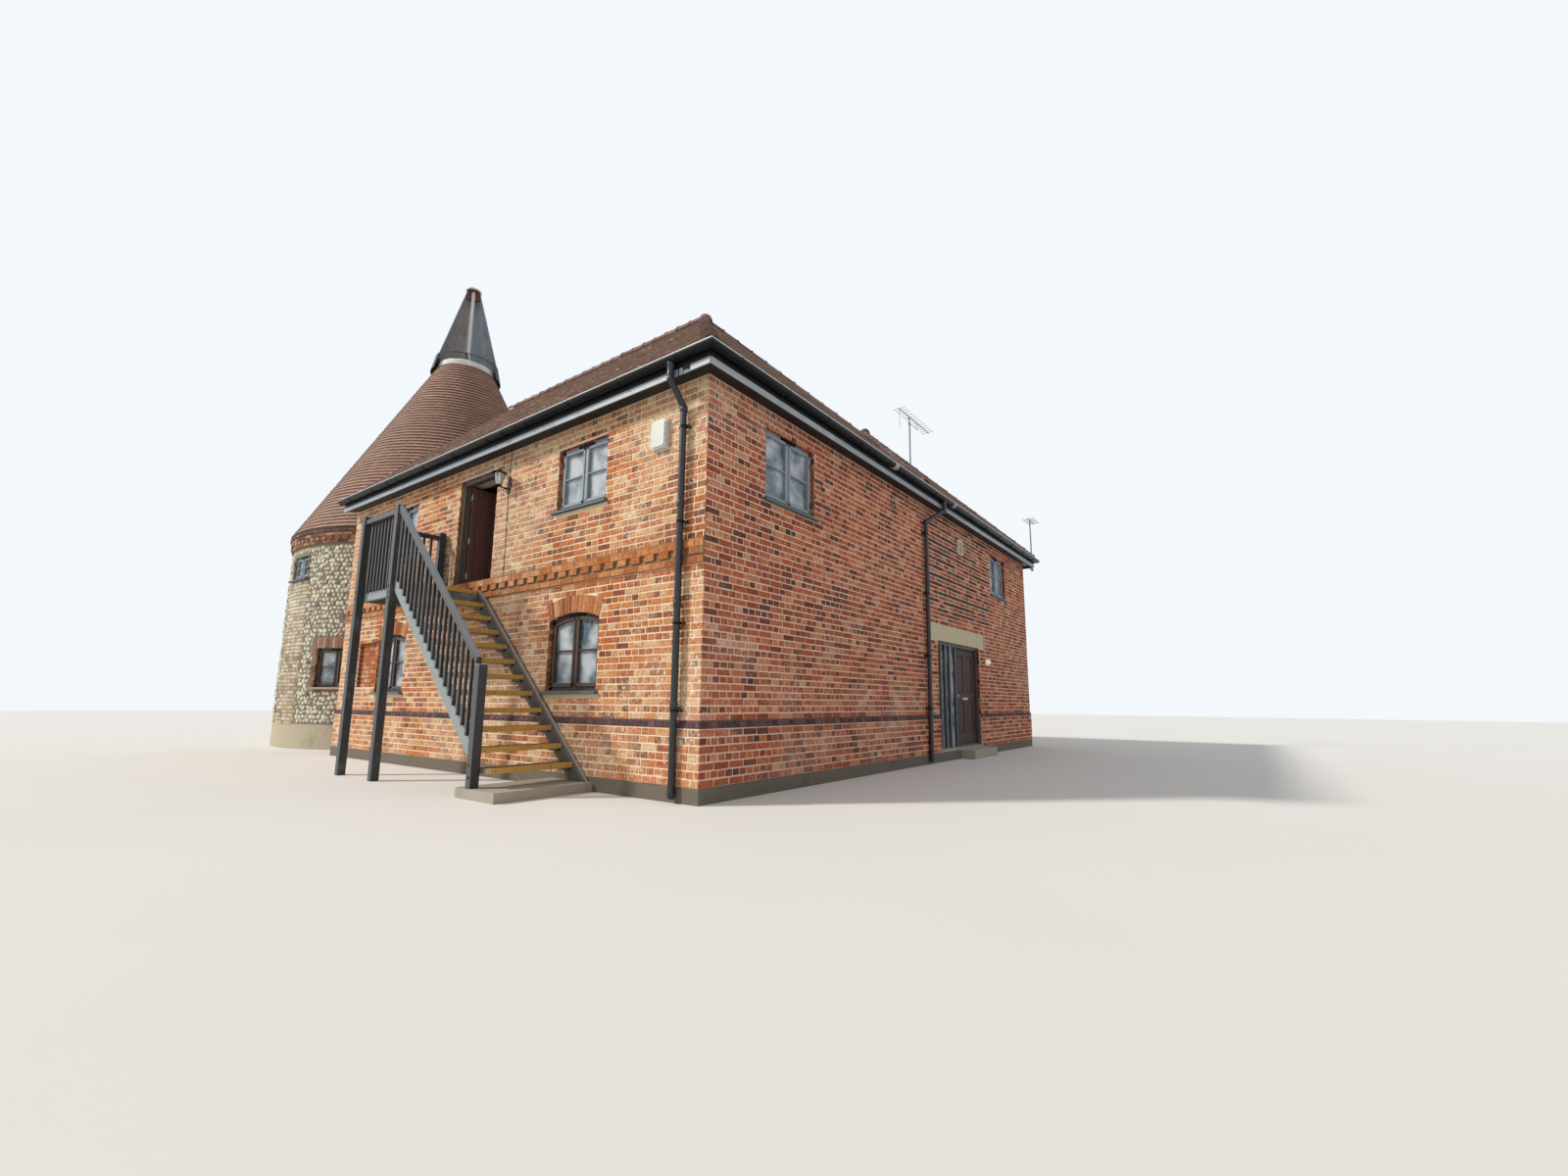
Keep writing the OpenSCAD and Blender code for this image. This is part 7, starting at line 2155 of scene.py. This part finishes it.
def hangGlobe():
    g = globe
    ball, plate = Bench(), Bench()
    centre, r, back = (g["x"], g["y"], g["z"]), g["plate"], house["halfLength"] - g["x"]
    profile = [(max(x, 0.0006), y) for x, y in ringAt(g["radius"], np.linspace(-math.pi / 2, math.pi / 2, 15))]
    ball.lathe(profile, centre, axis=(1, 0, 0), sides=28)
    plate.lathe([(0.001, back), (r, back), (r, back + 0.012), (r - 0.006, back + 0.02), (0.03, back + 0.022),
                 (0.03, -0.05), (0.001, -0.05)], centre, axis=(1, 0, 0), sides=28)
    ball.piece("door_lamp_globe", lampGlow, slot="window_glass", smooth=60, replaces="wall_lights")
    plate.piece("door_lamp_plate", blackIron, slot="black_metal", smooth=40, replaces="wall_lights")


boxes = dict(alarm=(3.63, 3.88, 3.75, 4.09), tray=0.03, corner=0.03, cover=0.058, front=0.07,
             vent=(1.27, 1.48, 3.86, 4.15), border=0.025, ventDeep=0.048, blades=8, bladePitch=0.0285)
ventBlade = [(0.0, 0.045), (0.004, 0.047), (0.026, 0.014), (0.022, 0.012)]


def fixBoxes():
    alarm, vent, dots = Bench(), Bench(), Bench()
    # Alarm box: a back tray and a shallow cover in two steps with cut corners
    u0, u1, v0, v1 = boxes["alarm"]
    place = onFace("S")
    alarm.slab((u0, v0, 0.0), (u1, v1, boxes["tray"]), 0.004, place)
    edge, cover = boxes["corner"], boxes["cover"]
    outline = [(u0 + 0.006, v0 + edge), (u0 + edge, v0 + 0.006), (u1 - edge, v0 + 0.006), (u1 - 0.006, v0 + edge),
               (u1 - 0.006, v1 - edge), (u1 - edge, v1 - 0.006), (u0 + edge, v1 - 0.006), (u0 + 0.006, v1 - edge)]
    alarm.prism(outline, 0.028, cover, place)
    x, y = (u0 + u1) / 2, (v0 + v1) / 2
    alarm.prism([(x + (u - x) * 0.86, y + (v - y) * 0.9) for u, v in outline], cover - 0.001, boxes["front"], place)
    for u in (u0 + 0.02, u1 - 0.02):
        addBolt(dots, place(u, v0 + 0.15, cover - 0.001), (0, -1, 0), 0.005)
    # Vent over the side door: a frame with slanting blades
    place = onFace("E")
    (a, b, c, d), edge = boxes["vent"], boxes["border"]
    for left, right, foot, top in ((a, b, c, c + edge), (a, b, d - edge, d), (a, a + edge, c + 0.02, d - 0.02),
                                   (b - edge, b, c + 0.02, d - 0.02)):
        vent.slab((left, foot, 0.0), (right, top, boxes["ventDeep"]), 0.003, place)
    vent.slab((a + 0.01, c + 0.01, 0.0), (b - 0.01, d - 0.01, 0.012), 0.002, place)
    for k in range(boxes["blades"]):
        low = c + 0.032 + k * boxes["bladePitch"]
        vent.prism([(low + v, w) for v, w in ventBlade], a + 0.022, b - 0.022, place, swap=[2, 0, 1])
    alarm.piece("alarm_box", boxPlastic, slot="box_plastic", smooth=30, replaces="wall_boxes")
    vent.piece("vent_box", ventPlastic, slot="box_plastic", smooth=30, replaces="wall_boxes")
    dots.piece("alarm_box_details", gutterPlastic, slot="gutter_plastic", smooth=40)


aerial = dict(x=2.28, y=4.0, z=8.32, boom=(3.383, 5.233), boomEnd=0.05, rods=13, rodHalf=0.15, tip=0.006,
              tipRadius=0.0074, clamps=(8.14, 8.29), clampHalf=0.026, clampHigh=0.022, feeder=0.0038,
              second=((4.552, 6.15, 4.375), (4.608, 6.22, 4.405)))
# The way off the mast to the east and north, and the level
aerialFeed = [(0.02, 0.0, 8.12), (0.021, -0.002, 7.9), (0.019, 0.002, 7.4), (0.02, 0.0, 6.9), (0.02, 0.0, 6.7)]


def dressAerials():
    # The aerials keep their solids; clamps, end caps and a feeder cable are new
    clamps, ends, cable = Bench(), Bench(), Bench()
    (x, y, z), tipLong = (aerial[k] for k in "xyz"), aerial["tip"]
    (first, last), inset = aerial["boom"], aerial["boomEnd"]
    for rod in np.linspace(first + inset, last - inset, aerial["rods"]):
        clamps.slab((x - 0.014, rod - 0.011, z - 0.012), (x + 0.014, rod + 0.011, z + 0.012), 0.003)
        for s in (-1, 1):
            tip = x + s * (aerial["rodHalf"] - tipLong)
            way = (tip - 2 * tipLong, tip, tip + tipLong * s + 0.002)
            ends.tube([(along, rod, z) for along in way], aerial["tipRadius"], 8)
    half, high = aerial["clampHalf"], aerial["clampHigh"]
    for z in aerial["clamps"]:
        clamps.slab((x - half, y - 0.03, z - high), (x + half, y + half, z + high), 0.004)
        for s in (-1, 1):
            addBolt(clamps, (x + s * 0.016, y - 0.03, z), (0, -1, 0), 0.005)
    clamps.slab(*aerial["second"], 0.003)
    cable.tube([(x + east, y + north, level) for east, north, level in aerialFeed], aerial["feeder"], 6)
    dress(aerialMetal, "roof_aerials")
    clamps.piece("aerial_clamps", aerialMetal, slot="black_metal", smooth=40)
    ends.piece("aerial_end_caps", gutterPlastic, slot="gutter_plastic", smooth=50)
    cable.piece("aerial_feeder", cableBlack, slot="gutter_plastic", smooth=60)


# Cables by their way along the wall, level and, on the end wall, way out; the tail and hook are measured from the coil
cables = dict(lanternFeeds=([(0.712, 4.45), (0.708, 4.3), (0.703, 4.18), (0.7, 4.075)],
                            [(0.7, 3.82), (0.706, 3.6), (0.716, 3.2), (0.72, 2.9), (0.722, 2.6)]),
              feed=0.004, feedOff=0.0105, feedClips=(3.55, 3.2, 2.85, 2.62), pipe=0.008,
              conduit=[(2.6, 2.5, 0.012), (2.605, 2.3, 0.012), (2.63, 2.1, 0.012), (2.655, 1.99, 0.014),
                       (2.66, 1.885, 0.02)],
              conduitClips=((2.602, 2.4), (2.615, 2.2)), coil=(-1.51, 4.12), thin=0.0036,
              coilTurns=((0.0, 0.055), (0.006, 0.061), (0.011, 0.05)),
              tail=[(0.05, 0.02, 0.026), (0.06, 0.1, 0.02), (0.065, 0.2, 0.012), (0.066, 0.33, 0.01)],
              hook=((-0.07, 0.075, 0.004, 0.012), (0.046, 0.056, 0.01, 0.042), (0.05, 0.075, 0.036, 0.043)))


def runCables():
    # Cables fixed to the walls: by the lantern, at the side door lamp and by the east gutter's coil bracket
    dark, pale, clips = Bench(), Bench(), Bench()
    south, east = onFace("S"), onFace("E")
    for path in cables["lanternFeeds"]:
        dark.tube([south(u, v, cables["feedOff"]) for u, v in path], cables["feed"], 8)
    for v in cables["feedClips"]:
        u = 0.7 + (3.82 - v) * 0.018  # the lower feed leans a little to the east
        clips.slab((u - 0.008, v - 0.004, 0.005), (u + 0.008, v + 0.004, 0.016), 0.001, south)
    pale.tube([east(*spot) for spot in cables["conduit"]], cables["pipe"], 8)
    for u, v in cables["conduitClips"]:
        clips.slab((u - 0.013, v - 0.006, 0.004), (u + 0.013, v + 0.006, 0.022), 0.002, east)
    u, v = cables["coil"]
    for shift, size in cables["coilTurns"]:
        turns = np.linspace(0, 2 * math.pi, 33)
        coil = [(u + size * math.sin(t), v - size * math.cos(t), 0.02 + shift + 0.003 * math.sin(2 * t)) for t in turns]
        dark.tube([east(*spot) for spot in coil], cables["thin"], 6)
    dark.tube([east(u + a, v + b, w) for a, b, w in cables["tail"]], cables["thin"], 6)
    for foot, top, low, high in cables["hook"]:
        clips.slab((u - 0.012, v + foot, low), (u + 0.012, v + top, high), 0.003, east)
    dark.piece("wall_cables", cableBlack, slot="gutter_plastic", smooth=60)
    pale.piece("door_lamp_conduit", boxPlastic, slot="box_plastic", smooth=60)
    clips.piece("cable_clips", paleSteel, slot="black_metal", smooth=35)


hangLantern()
hangGlobe()
fixBoxes()
dressAerials()
runCables()
print("lights, boxes and aerials fixed")


# Floor, light and finish

stage = dict(floorHalf=60, floorZ=-0.002, floorColour="#e9e7e3", floorOther="#e4e2dd", sun=2.75, sunTurn=(54, 0, -46),
             sunSoft=5, sunColour=(1.0, 0.957, 0.885), sky=0.52, skyColour=(0.93, 0.96, 1.0, 1),
             seenColour=(0.9, 0.94, 0.985, 1))


def setStage():
    s, z = stage["floorHalf"], stage["floorZ"]
    material, tree, shader = newFinish("stage_floor", 0.95)
    soft = noise(tree, objectPlace(tree), 0.4)
    tint = blend(tree, soft, paint(stage["floorColour"]), paint(stage["floorOther"]))
    tree.links.new(tint, shader.inputs["Base Color"])
    mesh = bpy.data.meshes.new("stage_floor")
    mesh.from_pydata([(x, y, z) for x, y in oblong(-s, s, -s, s)], [], [[0, 1, 2, 3]])
    mesh.materials.append(material)
    floor = bpy.data.objects.new("stage_floor", mesh)
    bpy.context.scene.collection.objects.link(floor)
    floor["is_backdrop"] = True

    sun = bpy.data.lights.new("sun", "SUN")
    sun.energy = stage["sun"]
    sun.angle = math.radians(stage["sunSoft"])
    sun.color = stage["sunColour"]
    lamp = bpy.data.objects.new("sun", sun)
    lamp.rotation_euler = [math.radians(a) for a in stage["sunTurn"]]
    bpy.context.scene.collection.objects.link(lamp)

    world = bpy.data.worlds.new("world")
    bpy.context.scene.world = world
    world.use_nodes = True
    tree = world.node_tree
    back = tree.nodes["Background"]
    rays = put(tree, "LightPath").outputs
    seen = plus(tree, plus(tree, rays["Is Camera Ray"], rays["Is Glossy Ray"]), rays["Is Transmission Ray"], clamp=True)
    tree.links.new(blend(tree, seen, stage["skyColour"], stage["seenColour"]), back.inputs["Color"])
    strength = plus(tree, times(tree, seen, 1.0 - stage["sky"]), stage["sky"])
    tree.links.new(strength, back.inputs["Strength"])


setStage()
bpy.context.scene.view_settings.view_transform = "Standard"
print("stage set")

shownBox = [list(corner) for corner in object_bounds()]
